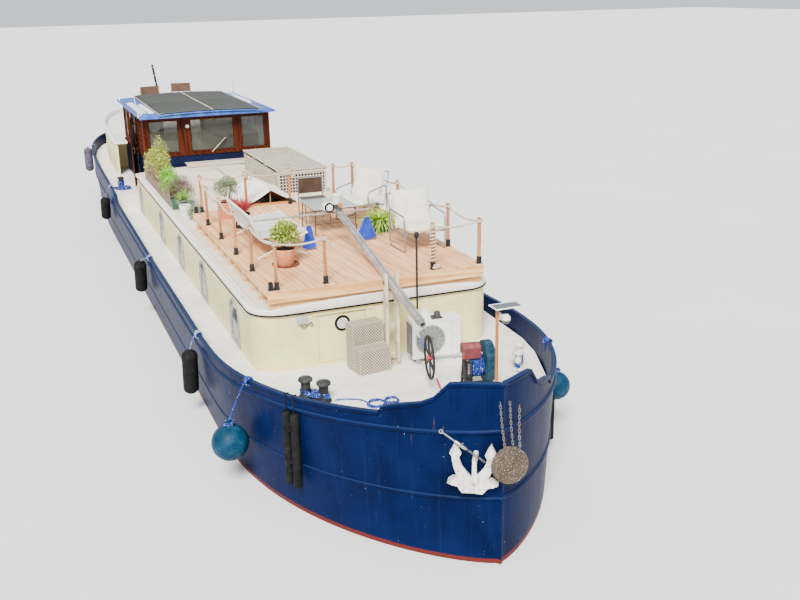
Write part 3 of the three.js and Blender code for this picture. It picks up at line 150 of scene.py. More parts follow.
def fullTurn(count):
    # angles from 0 up to, but not including, a whole turn
    return np.linspace(0, 2 * np.pi, count, endpoint=False)


def tube(path, radius, sides=10):
    # P(t) + r(t) (cos a side + sin a over); the end rings shrink to a point
    path, tangent, side, over = (np.concatenate([v[:1], v, v[-1:]]) for v in pathFrames(path))
    r = np.concatenate([[0], np.broadcast_to(np.asarray(radius, float), (len(path) - 2,)), [0]])
    a = fullTurn(sides)
    ring = np.cos(a)[None, :, None] * side[:, None] + np.sin(a)[None, :, None] * over[:, None]
    points = path[:, None] + r[:, None, None] * ring
    return points.reshape(-1, 3), gridQuads(len(path), sides, closeCols=True)[:, ::-1]


def runLength(path):
    # distance from the start to every point of a path
    return np.concatenate([[0], np.cumsum(np.linalg.norm(np.diff(path, axis=0), axis=1))])


def alongPath(path, length, s):
    # the points of a path at the distances s
    return np.stack([np.interp(s, length, path[:, k]) for k in range(3)], -1)


def laidRope(path, radius, pitch=None, sides=12, strands=3):
    # a rope's strands: r(a,s) = R (0.84 + 0.2 |cos(n (a - 2 pi s / pitch) / 2)|) round the path
    pitch = pitch or radius * 7
    path = np.asarray(path, float)
    length = runLength(path)
    steps = max(4, int(length[-1] / pitch * 6))
    s = np.linspace(0, length[-1], steps)
    fine, tangent, side, over = pathFrames(alongPath(path, length, s))
    a = fullTurn(sides)[None, :]
    wave = np.abs(np.cos(strands * (a - 2 * np.pi * s[:, None] / pitch) / 2))
    r = radius * (0.84 + 0.2 * wave)
    r[[0, -1]] = 0
    points = fine[:, None] + r[..., None] * (np.cos(a)[..., None] * side[:, None] + np.sin(a)[..., None] * over[:,
                                                 None])
    return points.reshape(-1, 3), gridQuads(steps, sides, closeCols=True)[:, ::-1]


def curveThrough(points, steps=8):
    # Catmull-Rom: 0.5 (2 P1 + (P2 - P0) t + (2 P0 - 5 P1 + 4 P2 - P3) t^2 + (3 P1 - P0 - 3 P2 + P3) t^3)
    p = np.asarray(points, float)
    p = np.concatenate([2 * p[:1] - p[1:2], p, 2 * p[-1:] - p[-2:-1]])
    t = np.linspace(0, 1, steps, endpoint=False)[None, :, None]
    a, b, c, d = (p[k:len(p) - 3 + k, None] for k in range(4))
    out = 0.5 * (2 * b + (c - a) * t + (2 * a - 5 * b + 4 * c - d) * t ** 2 + (3 * b - a - 3 * c + d) * t ** 3)
    return np.concatenate([out.reshape(-1, 3), p[-2:-1]])


def sagging(a, b, sag, steps=17):
    # straight from a to b, less sag 4 t (1 - t) in height
    t = np.linspace(0, 1, steps)[:, None]
    p = np.asarray(a, float) * (1 - t) + np.asarray(b, float) * t
    p[:, 2] -= (sag * 4 * t * (1 - t))[:, 0]
    return p


def aboutAxis(points, centre, axis):
    # what was drawn about z is laid about another axis and put at its centre
    order = {"z": (0, 1, 2), "x": (2, 0, 1), "y": (1, 2, 0)}[axis]
    return points.reshape(-1, 3)[:, order] + np.asarray(centre, float)


def turned(profile, centre=(0, 0, 0), axis="z", sides=32):
    # (r(t) cos a, r(t) sin a, h(t)) about an axis, with the ends drawn in to the axis
    p = np.asarray(profile, float)
    p = np.concatenate([[[0, p[0, 1]]], p, [[0, p[-1, 1]]]])
    a = fullTurn(sides)
    points = np.stack([p[:, :1] * np.cos(a), p[:, :1] * np.sin(a), np.repeat(p[:, 1:], sides, 1)], -1)
    return aboutAxis(points, centre, axis), gridQuads(len(p), sides, closeCols=True)[:, ::-1]


def loop(major, minor, centre=(0, 0, 0), axis="z", sides=40, around=12):
    # torus: ((R + r cos b) cos a, (R + r cos b) sin a, r sin b)
    a, b = fullTurn(sides)[:, None], fullTurn(around)[None, :]
    points = np.stack([(major + minor * np.cos(b)) * np.cos(a), (major + minor * np.cos(b)) * np.sin(a),
                       minor * np.sin(b) + 0 * a], -1)
    return aboutAxis(points, centre, axis), gridQuads(sides, around, True, True)[:, ::-1]


cubePoints = np.array([[x, y, z] for x in (-.5, .5) for y in (-.5, .5) for z in (-.5, .5)])
cubeQuads = np.array([[0, 1, 3, 2], [4, 6, 7, 5], [0, 4, 5, 1], [2, 3, 7, 6], [0, 2, 6, 4], [1, 5, 7, 3]])


def copies(shape, places, turns=None, sizes=None):
    # point k of copy n: place_n + turn_n (size_n * shape_k)
    points, quads = shape
    places = np.atleast_2d(np.asarray(places, float))
    sizes = np.ones((len(places), 3)) if sizes is None else np.broadcast_to(np.asarray(sizes, float),
        (len(places), 3))
    moved = points[None] * sizes[:, None]
    if turns is not None:
        moved = np.einsum("nij,nkj->nki", np.asarray(turns, float), moved)
    moved = moved + places[:, None]
    shift = (np.arange(len(places)) * len(points))[:, None, None]
    return moved.reshape(-1, 3), (quads[None] + shift).reshape(-1, 4)


def blocks(places, sizes, turns=None):
    # rectangular pieces by centre and size
    return copies((cubePoints, cubeQuads), places, turns, sizes)


def block(low, high):
    # a box from its lowest to its highest corner
    low, high = np.asarray(low, float), np.asarray(high, float)
    return blocks([(low + high) / 2], [high - low])


def boxBetween(p, q):
    # a block between any two opposite corners
    return block(np.minimum(p, q), np.maximum(p, q))


def turnZ(angles):
    # rotation matrices about z, one for each angle
    c, s = np.cos(np.atleast_1d(angles)), np.sin(np.atleast_1d(angles))
    m = np.zeros((len(c), 3, 3))
    m[:, 0, 0], m[:, 0, 1], m[:, 1, 0], m[:, 1, 1], m[:, 2, 2] = c, -s, s, c, 1
    return m


def moved(shape, place=(0, 0, 0), turn=0.0, tilt=0.0):
    # tilt about x, then turn about z, then the place
    points, quads = shape
    ct, st = math.cos(tilt), math.sin(tilt)
    points = points @ np.array([[1, 0, 0], [0, ct, -st], [0, st, ct]]).T @ turnZ(turn)[0].T
    return points + np.asarray(place, float), quads


def slab(outline, depth, axis="y"):
    # an outline given a thickness: its middle fans out from the mean point
    o = np.asarray(outline, float)
    n = len(o)
    rings = [np.repeat(o.mean(0)[None], n, 0), o, o, np.repeat(o.mean(0)[None], n, 0)]
    level = [depth[0], depth[0], depth[1], depth[1]]
    points = np.concatenate([np.column_stack([r, np.full(n, d)]) for r, d in zip(rings, level)])
    order = {"z": (0, 1, 2), "y": (0, 2, 1), "x": (2, 0, 1)}[axis]
    return points[:, order], gridQuads(4, n, closeCols=True)


def ribbon(path, across, width, thick):
    # a flat strip along a path: P(t) +- across w/2 +- normal d/2
    path, tangent, _, _ = pathFrames(path)
    across = np.broadcast_to(np.asarray(across, float), path.shape)
    normal = rowUnits(np.cross(tangent, across))
    w, d = width / 2, thick / 2
    ring = np.stack([across * w + normal * d, -across * w + normal * d, -across * w - normal * d,
                     across * w - normal * d], 1)
    points = path[:, None] + ring
    ends = [np.repeat(path[k][None, None], 4, 1) for k in (0, -1)]
    return skinOf(np.concatenate([ends[0], points, ends[1]]))


def tagOf(name):
    # rail_port -> RailPort
    return name.title().replace("_", "")


def piece(name, shape, finish, body="boat", stands=(), smooth=True, bevel=0.0, segments=1,
          subdivide=0, turnOut=True, flatTo=None):
    # puts the arrays into a mesh, joins its seams and poles, and turns its faces outwards
    points, quads = shape
    mesh = bpy.data.meshes.new(name)
    mesh.vertices.add(len(points))
    mesh.vertices.foreach_set("co", np.ascontiguousarray(points, np.float32).ravel())
    mesh.loops.add(quads.size)
    mesh.loops.foreach_set("vertex_index", np.ascontiguousarray(quads, np.int32).ravel())
    mesh.polygons.add(len(quads))
    mesh.polygons.foreach_set("loop_start", np.arange(0, quads.size, 4, dtype=np.int32))
    mesh.update(calc_edges=True)
    bm = bmesh.new()
    bm.from_mesh(mesh)
    bmesh.ops.remove_doubles(bm, verts=bm.verts, dist=2e-6)
    bmesh.ops.dissolve_degenerate(bm, edges=bm.edges, dist=1e-7)
    if turnOut:
        bmesh.ops.recalc_face_normals(bm, faces=bm.faces)
    bm.to_mesh(mesh)
    bm.free()
    mesh.polygons.foreach_set("use_smooth", np.full(len(mesh.polygons), smooth))
    obj = bpy.data.objects.new(name, mesh)
    bpy.context.scene.collection.objects.link(obj)
    obj.data.materials.append(finish)
    if bevel:
        m = obj.modifiers.new("edges", "BEVEL")
        m.width, m.segments, m.limit_method, m.angle_limit = bevel, segments, "ANGLE", math.radians(40)
        m.use_clamp_overlap = True
    if subdivide:
        m = obj.modifiers.new("soften", "SUBSURF")
        m.levels = m.render_levels = subdivide
    if smooth:
        mesh.set_sharp_from_angle(angle=math.radians(flatTo or 42))
    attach(obj, body)
    if stands:
        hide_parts(*stands)
    return obj


# finishes: each is a small node tree on object coordinates
def finishTree(name, rough=0.5, metal=0.0, coat=0.0, coatRough=0.1, specular=0.5):
    mat = bpy.data.materials.new(name)
    mat.use_nodes = True
    tree = mat.node_tree
    shader = tree.nodes["Principled BSDF"]
    shader.inputs["Roughness"].default_value = rough
    shader.inputs["Metallic"].default_value = metal
    shader.inputs["Coat Weight"].default_value = coat
    shader.inputs["Coat Roughness"].default_value = coatRough
    shader.inputs["Specular IOR Level"].default_value = specular
    where = tree.nodes.new("ShaderNodeTexCoord").outputs["Object"]
    return mat, tree, shader, where


def add(tree, kind, inputs=(), **settings):
    # one node with its settings, and each input either a socket to link or a constant
    node = tree.nodes.new(kind)
    for key, value in settings.items():
        setattr(node, key, value)
    for key, value in dict(inputs).items():
        if isinstance(value, bpy.types.NodeSocket):
            tree.links.new(value, node.inputs[key])
        else:
            node.inputs[key].default_value = value
    return node


def stretched(tree, where, scale):
    # coordinates x scale on each axis: a small scale draws a noise out along that axis
    return add(tree, "ShaderNodeMapping", {"Vector": where, "Scale": scale}).outputs[0]


def cloud(tree, where, scale, detail=4.0, rough=0.55):
    # soft noise of the given fineness
    return add(tree, "ShaderNodeTexNoise", {"Vector": where, "Scale": scale, "Detail": detail,
                                            "Roughness": rough}).outputs[0]


def steps(tree, fac, stops):
    # colour ramp from (position, colour) pairs
    node = add(tree, "ShaderNodeValToRGB", {"Fac": fac})
    ramp = node.color_ramp
    while len(ramp.elements) < len(stops):
        ramp.elements.new(0.5)
    for e, (at, colour) in zip(ramp.elements, stops):
        e.position = at
        e.color = (*colour, 1) if len(colour) == 3 else colour
    return node.outputs[0]


def between(tree, value, low, high):
    # 0 below low, 1 above high, straight between
    return add(tree, "ShaderNodeMapRange", {"Value": value, "From Min": low, "From Max": high}).outputs[0]


def maths(tree, how, a, b=0.0):
    # one sum, difference, product or quotient of two values
    return add(tree, "ShaderNodeMath", {0: a, 1: b}, operation=how).outputs[0]


def blendColour(tree, fac, a, b, how="MIX"):
    # a (1 - fac) + b fac, each a socket or a constant colour
    node = add(tree, "ShaderNodeMix", data_type="RGBA", blend_type=how)
    for key, value in ((0, fac), (6, a), (7, b)):
        if isinstance(value, bpy.types.NodeSocket):
            tree.links.new(value, node.inputs[key])
        else:
            node.inputs[key].default_value = value if key == 0 else (*value, 1)
    return node.outputs[2]


def scaled(tree, value, factor, plus=0.0):
    # value x factor + plus
    return maths(tree, "ADD", maths(tree, "MULTIPLY", value, factor), plus)


def shaded(c, share):
    # a darker or lighter shade of the same colour
    return tuple(v * share for v in c)


def stained(tree, colour, noise, low, high, amount, stain):
    # the stain covers up to `amount` of the colour, from none where the noise is at low to all of it at high
    return blendColour(tree, maths(tree, "MULTIPLY", between(tree, noise, low, high), amount), colour, stain)


def relief(tree, shader, height, depth, strength=1.0):
    # shading relief of at most `depth` from a height value
    node = add(tree, "ShaderNodeBump", {"Height": height, "Strength": strength, "Distance": depth})
    tree.links.new(node.outputs[0], shader.inputs["Normal"])


def link(tree, a, shader, name):
    # puts a value on one of the shader's inputs
    tree.links.new(a, shader.inputs[name])


def weathered(name, base, dark, light, rough=(0.4, 0.6), grime=0.35, scale=3.0, bumpDepth=0.0008, coat=0.0,
              metal=0.0, rust=None, rustAmount=0.62):
    # paint or plastic: patchy colour, dirt in a second noise, fine orange-peel relief, optional rust spots
    # dark finishes keep a weak gloss, so that the pale surroundings do not wash them out
    mat, tree, shader, where = finishTree(name, rough[0], metal, coat, specular=0.10 if max(base) < 0.2 else 0.4)
    patch = cloud(tree, where, scale, 6, 0.6)
    colour = steps(tree, patch, [(0.3, dark), (0.52, base), (0.75, light)])
    dirt = cloud(tree, stretched(tree, where, (1, 1, 0.25)), scale * 4.1, 8, 0.7)
    colour = stained(tree, colour, dirt, 0.5, 0.78, grime, shaded(dark, 0.45))
    if rust:
        spots = cloud(tree, stretched(tree, where, (1, 1, 0.5)), scale * 2.3, 9, 0.72)
        mask = between(tree, spots, rustAmount, rustAmount + 0.05)
        colour = blendColour(tree, mask, colour, rust)
    link(tree, colour, shader, "Base Color")
    link(tree, scaled(tree, dirt, rough[1] - rough[0], rough[0]), shader, "Roughness")
    relief(tree, shader, scaled(tree, cloud(tree, where, 120.0, 3), 0.3, patch), bumpDepth)
    return mat


def hullBlue():
    # deep blue gloss with a red boot-top at the water, pale scrapes, chalk run marks below the strakes, and a
    # painted sky highlight that makes the tops paler
    p = {"blue": (0.0022, 0.0070, 0.042), "deep": (0.0012, 0.0038, 0.024), "chalk": (0.018, 0.036, 0.095),
         "bootTop": (0.115, 0.018, 0.015), "bootHeight": 0.065, "scrape": (0.55, 0.60, 0.68),
         "rust": (0.20, 0.085, 0.035)}
    mat, tree, shader, where = finishTree("hullBlue", 0.3, coat=0.0, specular=0.03)
    z = add(tree, "ShaderNodeSeparateXYZ", {0: where}).outputs[2]
    patch = cloud(tree, stretched(tree, where, (1, 1, 0.6)), 1.7, 7, 0.6)
    colour = steps(tree, patch, [(0.32, p["deep"]), (0.5, p["blue"]), (0.72, shaded(p["blue"], 1.35))])
    runs = cloud(tree, stretched(tree, where, (9, 9, 0.35)), 1.6, 5, 0.65)    # streaks that hang down
    colour = stained(tree, colour, runs, 0.58, 0.76, 0.30, p["chalk"])
    dark = cloud(tree, stretched(tree, where, (12, 12, 0.5)), 1.1, 4, 0.5)
    colour = stained(tree, colour, dark, 0.6, 0.75, 0.45, (0.002, 0.005, 0.022))
    lie = cloud(tree, stretched(tree, where, (1.2, 0.22, 26)), 3.3, 6, 0.75)    # scrapes along the side
    low = between(tree, z, 0.95, 0.35)
    scrape = maths(tree, "MULTIPLY", between(tree, lie, 0.70, 0.735), low)
    colour = blendColour(tree, maths(tree, "MULTIPLY", scrape, 0.75), colour, p["scrape"])
    fleck = cloud(tree, where, 34, 3, 0.6)
    colour = stained(tree, colour, fleck, 0.735, 0.76, 0.8, p["scrape"])
    # upward faces are painted paler in the chalk colour: a painted highlight of the sky on the tops
    up = add(tree, "ShaderNodeSeparateXYZ", {0: add(tree, "ShaderNodeNewGeometry").outputs["Normal"]}).outputs[2]
    colour = stained(tree, colour, up, 0.25, 0.8, 0.5, p["chalk"])
    stain = cloud(tree, stretched(tree, where, (3, 3, 0.3)), 2.6, 8, 0.7)
    colour = stained(tree, colour, stain, 0.66, 0.74, 0.5, p["rust"])
    edge = maths(tree, "ADD", z, maths(tree, "MULTIPLY", cloud(tree, where, 6, 3), 0.012))
    boot = between(tree, edge, p["bootHeight"] + 0.004, p["bootHeight"] - 0.004)
    colour = blendColour(tree, boot, colour, p["bootTop"])
    weed = maths(tree, "MULTIPLY", between(tree, edge, 0.05, 0.0), between(tree, cloud(tree, where, 14, 5), 0.35,
                     0.65))
    colour = blendColour(tree, maths(tree, "MULTIPLY", weed, 0.7), colour, (0.028, 0.034, 0.016))
    link(tree, colour, shader, "Base Color")
    link(tree, scaled(tree, runs, 0.3, 0.26), shader, "Roughness")
    wave = cloud(tree, stretched(tree, where, (1, 0.8, 0.7)), 0.9, 2,
                 0.4)    # plates slightly dished between frames
    relief(tree, shader, maths(tree, "ADD", wave, maths(tree, "MULTIPLY", cloud(tree, where, 60, 3), 0.012)), 0.03,
           0.6)
    return mat


def deckWhite():
    # sanded white deck paint: foot dirt, rust weeping from fittings, fine grit
    mat, tree, shader, where = finishTree("deckWhite", 0.6)
    patch = cloud(tree, where, 1.6, 7, 0.62)
    colour = steps(tree, patch, [(0.3, (0.66, 0.65, 0.61)), (0.5, (0.80, 0.785, 0.745)),
                                 (0.75, (0.86, 0.85, 0.82))])
    foot = cloud(tree, where, 7.5, 9, 0.75)
    colour = stained(tree, colour, foot, 0.52, 0.72, 0.45, (0.30, 0.285, 0.26))
    rust = cloud(tree, stretched(tree, where, (1, 0.7, 1)), 3.1, 10, 0.75)
    colour = stained(tree, colour, rust, 0.67, 0.72, 0.7, (0.30, 0.13, 0.05))
    link(tree, colour, shader, "Base Color")
    link(tree, scaled(tree, foot, 0.3, 0.42), shader, "Roughness")
    relief(tree, shader, cloud(tree, where, 260, 4, 0.7), 0.0012, 0.8)
    return mat


def woodFinish(name, pale, mid, dark, along="y", ring=16.0, grain=70.0, rough=0.5, coat=0.0, greying=0.0,
               depth=0.001,
               board=None):
    # growth rings stretched along the board, fibres, and grey weathering; boards differ where `board` gives a width
    mat, tree, shader, where = finishTree(name, rough, coat=coat, coatRough=0.12,
                                          specular=0.10 if max(pale) < 0.2 else 0.4)
    axis = {"x": (0.06, 1, 1), "y": (1, 0.06, 1), "z": (1, 1, 0.06)}[along]
    base = where
    if board:
        x = add(tree, "ShaderNodeSeparateXYZ", {0: where}).outputs[0]
        number = maths(tree, "FLOOR", maths(tree, "DIVIDE", x, board))
        shift = add(tree, "ShaderNodeCombineXYZ", {0: 0.0, 1: maths(tree, "MULTIPLY", number, 7.31),
                                                   2: 0.0}).outputs[0]
        base = add(tree, "ShaderNodeVectorMath", {0: where, 1: shift}, operation="ADD").outputs[0]
    flow = stretched(tree, base, axis)
    rings = add(tree, "ShaderNodeTexWave", {"Vector": flow, "Scale": ring, "Distortion": 6.0, "Detail": 4.0,
                                            "Detail Scale": 2.2},
                wave_type="BANDS", bands_direction="DIAGONAL").outputs["Fac"]
    fibre = cloud(tree, flow, grain, 6, 0.65)
    both = maths(tree, "ADD", maths(tree, "MULTIPLY", rings, 0.45), maths(tree, "MULTIPLY", fibre, 0.55))
    colour = steps(tree, both, [(0.22, dark), (0.48, mid), (0.78, pale)])
    if board:
        tone = add(tree, "ShaderNodeTexWhiteNoise", {"W": number}, noise_dimensions="1D").outputs["Value"]
        colour = blendColour(tree, maths(tree, "MULTIPLY", tone, 0.30), colour,
                             tuple(0.35 + 0.6 * v for v in dark), "MULTIPLY")
    if greying:
        worn = between(tree, cloud(tree, base, 2.6, 7, 0.65), 0.42, 0.7)
        colour = blendColour(tree, maths(tree, "MULTIPLY", worn, greying), colour, (0.36, 0.34, 0.31))
    link(tree, colour, shader, "Base Color")
    link(tree, scaled(tree, fibre, 0.25, rough - 0.12), shader, "Roughness")
    relief(tree, shader, both, depth, 0.7)
    return mat


def clothFinish(name, base, shade, thread=0.0022, rough=0.85, depth=0.0006, stain=0.25, sheen=0.2, axes=(0, 1)):
    # plain weave: two crossed waves one thread apart, soft stains over them
    mat, tree, shader, where = finishTree(name, rough, specular=0.08 if max(base) < 0.1 else 0.25)
    shader.inputs["Sheen Weight"].default_value = sheen
    k = 2 * math.pi / thread / 20
    threads = [add(tree, "ShaderNodeTexWave", {"Vector": where, "Scale": k, "Distortion": 0.6, "Detail": 1.0},
                   wave_type="BANDS", bands_direction="XYZ"[axis]).outputs["Fac"] for axis in axes]
    weave = maths(tree, "MULTIPLY", *threads)
    patch = cloud(tree, where, 5.0, 6, 0.6)
    colour = steps(tree, patch, [(0.3, shade), (0.6, base)])
    colour = blendColour(tree, maths(tree, "MULTIPLY", weave, 0.18), colour, shaded(shade, 0.55))
    blot = between(tree, cloud(tree, where, 2.1, 8, 0.7), 0.55, 0.75)
    colour = blendColour(tree, maths(tree, "MULTIPLY", blot, stain), colour, shaded(shade, 0.5))
    link(tree, colour, shader, "Base Color")
    link(tree, scaled(tree, patch, 0.15, rough - 0.1), shader, "Roughness")
    relief(tree, shader, weave, depth, 0.6)
    return mat


def ropeFinish(name, base, shade, fleck=None, fleckAmount=0.6, scale=180.0):
    # fibres, darker where the relief is low; a second colour of yarn where fleck is given
    mat, tree, shader, where = finishTree(name, 0.85, specular=0.2)
    fibre = cloud(tree, where, scale, 5, 0.7)
    colour = steps(tree, fibre, [(0.3, shade), (0.62, base)])
    if fleck:
        yarn = cloud(tree, where, 55, 2, 0.5)
        colour = blendColour(tree, between(tree, yarn, fleckAmount - 0.03, fleckAmount + 0.03), colour, fleck)
    grime = between(tree, cloud(tree, where, 9, 6, 0.6), 0.5, 0.75)
    colour = blendColour(tree, maths(tree, "MULTIPLY", grime, 0.4), colour, shaded(shade, 0.4))
    link(tree, colour, shader, "Base Color")
    link(tree, scaled(tree, fibre, 0.2, 0.72), shader, "Roughness")
    relief(tree, shader, fibre, 0.0012)
    return mat


def metalFinish(name, base, dark, rough=(0.25, 0.5), rust=None, rustAmount=0.6, metal=0.9):
    # brushed metal, two tones along z; rust spots have their own colour and are not metallic
    mat, tree, shader, where = finishTree(name, rough[0], metal)
    brushed = cloud(tree, stretched(tree, where, (1, 1, 8)), 30, 5, 0.6)
    colour = steps(tree, brushed, [(0.3, dark), (0.65, base)])
    if rust:
        mask = between(tree, cloud(tree, where, 11, 9, 0.72), rustAmount, rustAmount + 0.08)
        colour = blendColour(tree, mask, colour, rust)
        link(tree, maths(tree, "MULTIPLY", maths(tree, "SUBTRACT", 1.0, mask), metal), shader, "Metallic")
    link(tree, colour, shader, "Base Color")
    link(tree, scaled(tree, brushed, rough[1] - rough[0], rough[0]), shader, "Roughness")
    relief(tree, shader, brushed, 0.0004, 0.5)
    return mat


def leafFinish(name, base, dark, tip):
    # leaves differ in tone across the plant, with lighter tips and streaks
    mat, tree, shader, where = finishTree(name, 0.45, specular=0.4)
    tone = cloud(tree, where, 16, 4, 0.6)
    colour = steps(tree, tone, [(0.28, dark), (0.5, base), (0.72, tip)])
    streak = cloud(tree, stretched(tree, where, (1, 1, 0.2)), 120.0, 3, 0.5)
    colour = stained(tree, colour, streak, 0.5, 0.7, 0.3, dark)
    link(tree, colour, shader, "Base Color")
    link(tree, scaled(tree, tone, 0.25, 0.35), shader, "Roughness")
    relief(tree, shader, streak, 0.001, 0.5)
    shader.inputs["Subsurface Weight"].default_value = 0.08
    shader.inputs["Subsurface Radius"].default_value = (0.01, 0.02, 0.005)
    return mat


def glassFinish(name, tint, rough=0.04, clear=0.85, dirt=0.12):
    # clear or smoked pane with a film of salt and dust
    mat, tree, shader, where = finishTree(name, rough)
    shader.inputs["Transmission Weight"].default_value = clear
    shader.inputs["IOR"].default_value = 1.45
    film = between(tree, cloud(tree, where, 3.2, 7, 0.7), 0.45, 0.8)
    colour = blendColour(tree, maths(tree, "MULTIPLY", film, dirt), tint, (0.75, 0.76, 0.74))
    link(tree, colour, shader, "Base Color")
    link(tree, scaled(tree, film, 0.12, rough), shader, "Roughness")
    return mat


hullPaint = hullBlue()
deckPaint = deckWhite()
creamPaint = weathered("creamPaint", (0.79, 0.69, 0.345), (0.70, 0.60, 0.28), (0.84, 0.75, 0.42), (0.35, 0.6),
                       0.14, 2.2, 0.0006)
roofPaint = weathered("roofPaint", (0.80, 0.775, 0.70), (0.68, 0.65, 0.57), (0.86, 0.84, 0.78), (0.45, 0.7), 0.3,
                      1.5, 0.0010,
                      rust=(0.34, 0.20, 0.10), rustAmount=0.72)
whitePaint = weathered("whitePaint", (0.80, 0.80, 0.78), (0.66, 0.66, 0.63), (0.87, 0.87, 0.86), (0.35, 0.6), 0.3,
                       4.0, 0.0005,
                       rust=(0.32, 0.17, 0.08), rustAmount=0.73)
navyPaint = weathered("navyPaint", (0.0045, 0.0075, 0.036), (0.003, 0.005, 0.022), (0.010, 0.016, 0.055),
                      (0.35, 0.6), 0.3, 3.0, 0.0006)
blackPaint = weathered("blackPaint", (0.022, 0.022, 0.024), (0.012, 0.012, 0.013), (0.045, 0.045, 0.047),
                       (0.4, 0.65), 0.3, 9.0,
                       0.0005, rust=(0.16, 0.07, 0.035), rustAmount=0.66)
blackRubber = weathered("blackRubber", (0.0085, 0.0085, 0.009), (0.005, 0.005, 0.0055), (0.020, 0.020, 0.020),
                        (0.65, 0.85), 0.3, 12.0, 0.0008)
mahogany = woodFinish("mahogany", (0.085, 0.0165, 0.0055), (0.054, 0.0098, 0.0034), (0.022, 0.0042, 0.0018), "z",
                      5, 60, 0.42, 0.0,
                      depth=0.0005)
mahoganyLow = woodFinish("mahoganyLow", (0.082, 0.016, 0.0054), (0.052, 0.0096, 0.0033), (0.021, 0.0042, 0.0018),
                         "y", 5, 60, 0.42, 0.0,
                         depth=0.0005)
boardTimber = woodFinish("boardTimber", (0.90, 0.535, 0.285), (0.82, 0.445, 0.22), (0.64, 0.31, 0.14), "y", 5, 45,
                         0.72,
                         greying=0.16, depth=0.0010, board=3.3 / 23)
postTimber = woodFinish("postTimber", (0.52, 0.235, 0.070), (0.42, 0.165, 0.045), (0.26, 0.085, 0.022), "z", 12,
                        60, 0.5, 0.10,
                        greying=0.10)
orangeWood = woodFinish("orangeWood", (0.72, 0.36, 0.11), (0.62, 0.26, 0.07), (0.40, 0.14, 0.036), "y", 16, 70,
                        0.45, 0.25)
troughWood = woodFinish("troughWood", (0.27, 0.17, 0.10), (0.18, 0.11, 0.065), (0.08, 0.048, 0.03), "y", 14, 60,
                        0.7, greying=0.3)
paleBatten = woodFinish("paleBatten", (0.66, 0.60, 0.50), (0.54, 0.48, 0.38), (0.36, 0.31, 0.24), "y", 14, 60, 0.7,
                        greying=0.3)
roofCanvas = clothFinish("roofCanvas", (0.009, 0.013, 0.006), (0.005, 0.007, 0.0035), 0.004, 0.5, 0.0006, 0.35, 0.1)
brownCanvas = clothFinish("brownCanvas", (0.115, 0.062, 0.040), (0.07, 0.036, 0.024), 0.003, axes=(0, 2))
creamCloth = clothFinish("creamCloth", (0.80, 0.765, 0.66), (0.66, 0.62, 0.51), 0.0028, stain=0.15)
whiteCloth = clothFinish("whiteCloth", (0.90, 0.89, 0.86), (0.78, 0.77, 0.74), 0.003, stain=0.22)
slingCloth = clothFinish("slingCloth", (0.66, 0.67, 0.66), (0.48, 0.49, 0.48), 0.003)
flagCloth = clothFinish("flagCloth", (0.010, 0.062, 0.52), (0.006, 0.036, 0.32), 0.0025, axes=(0, 2), stain=0.1)
glassDark = glassFinish("glassDark", (0.16, 0.20, 0.22), clear=0.55, dirt=0.2)
glassTop = glassFinish("glassTop", (0.62, 0.70, 0.70), 0.06, 0.45, 0.4)
lensGlass = glassFinish("lensGlass", (0.86, 0.88, 0.88), 0.08, 0.35, 0.3)
steelGrey = metalFinish("steelGrey", (0.46, 0.47, 0.48), (0.30, 0.31, 0.32), (0.25, 0.45),
                        rust=(0.20, 0.09, 0.045), rustAmount=0.72)
chainMetal = metalFinish("chainMetal", (0.20, 0.195, 0.19), (0.10, 0.095, 0.09), (0.4, 0.6),
                         rust=(0.16, 0.075, 0.04), rustAmount=0.55, metal=0.7)
rustySteel = metalFinish("rustySteel", (0.26, 0.22, 0.19), (0.13, 0.10, 0.085), (0.5, 0.8),
                         rust=(0.185, 0.070, 0.030),
                         rustAmount=0.47, metal=0.6)
bronze = metalFinish("bronze", (0.42, 0.27, 0.10), (0.26, 0.15, 0.055), (0.25, 0.5), rust=(0.10, 0.20, 0.15),
                     rustAmount=0.66)
creamRope = ropeFinish("creamRope", (0.62, 0.55, 0.42), (0.38, 0.32, 0.23))
blueRope = ropeFinish("blueRope", (0.012, 0.045, 0.30), (0.006, 0.018, 0.13), (0.55, 0.60, 0.70), 0.64)
paleRope = ropeFinish("paleRope", (0.34, 0.41, 0.56), (0.16, 0.20, 0.32), (0.02, 0.06, 0.30), 0.52)
matRope = ropeFinish("matRope", (0.105, 0.080, 0.055), (0.035, 0.025, 0.017), (0.22, 0.20, 0.165), 0.60, 120)
tealVinyl = weathered("tealVinyl", (0.0045, 0.036, 0.075), (0.0028, 0.022, 0.05), (0.018, 0.07, 0.12), (0.35, 0.6),
                      0.5, 8.0, 0.0006)
greyPlastic = weathered("greyPlastic", (0.42, 0.43, 0.44), (0.32, 0.33, 0.34), (0.50, 0.51, 0.52), (0.4, 0.6),
                        0.35, 6.0, 0.0005)
whitePlastic = weathered("whitePlastic", (0.82, 0.82, 0.80), (0.72, 0.72, 0.70), (0.88, 0.88, 0.87), (0.3, 0.5),
                         0.25, 6.0, 0.0004)
darkPlastic = weathered("darkPlastic", (0.055, 0.057, 0.060), (0.035, 0.036, 0.038), (0.09, 0.09, 0.095),
                        (0.4, 0.6), 0.3, 9.0, 0.0005)
wickerWeave = weathered("wickerWeave", (0.42, 0.335, 0.225), (0.30, 0.235, 0.15), (0.52, 0.44, 0.32), (0.6, 0.85),
                        0.35, 26.0, 0.0012)
fanGrey = weathered("fanGrey", (0.125, 0.120, 0.112), (0.085, 0.081, 0.076), (0.18, 0.175, 0.165), (0.5, 0.7),
                    0.35, 12.0, 0.0005)
capGrey = weathered("capGrey", (0.040, 0.044, 0.048), (0.022, 0.024, 0.027), (0.09, 0.095, 0.10), (0.45, 0.7),
                    0.35, 12.0, 0.0006,
                    rust=(0.14, 0.07, 0.04), rustAmount=0.66)


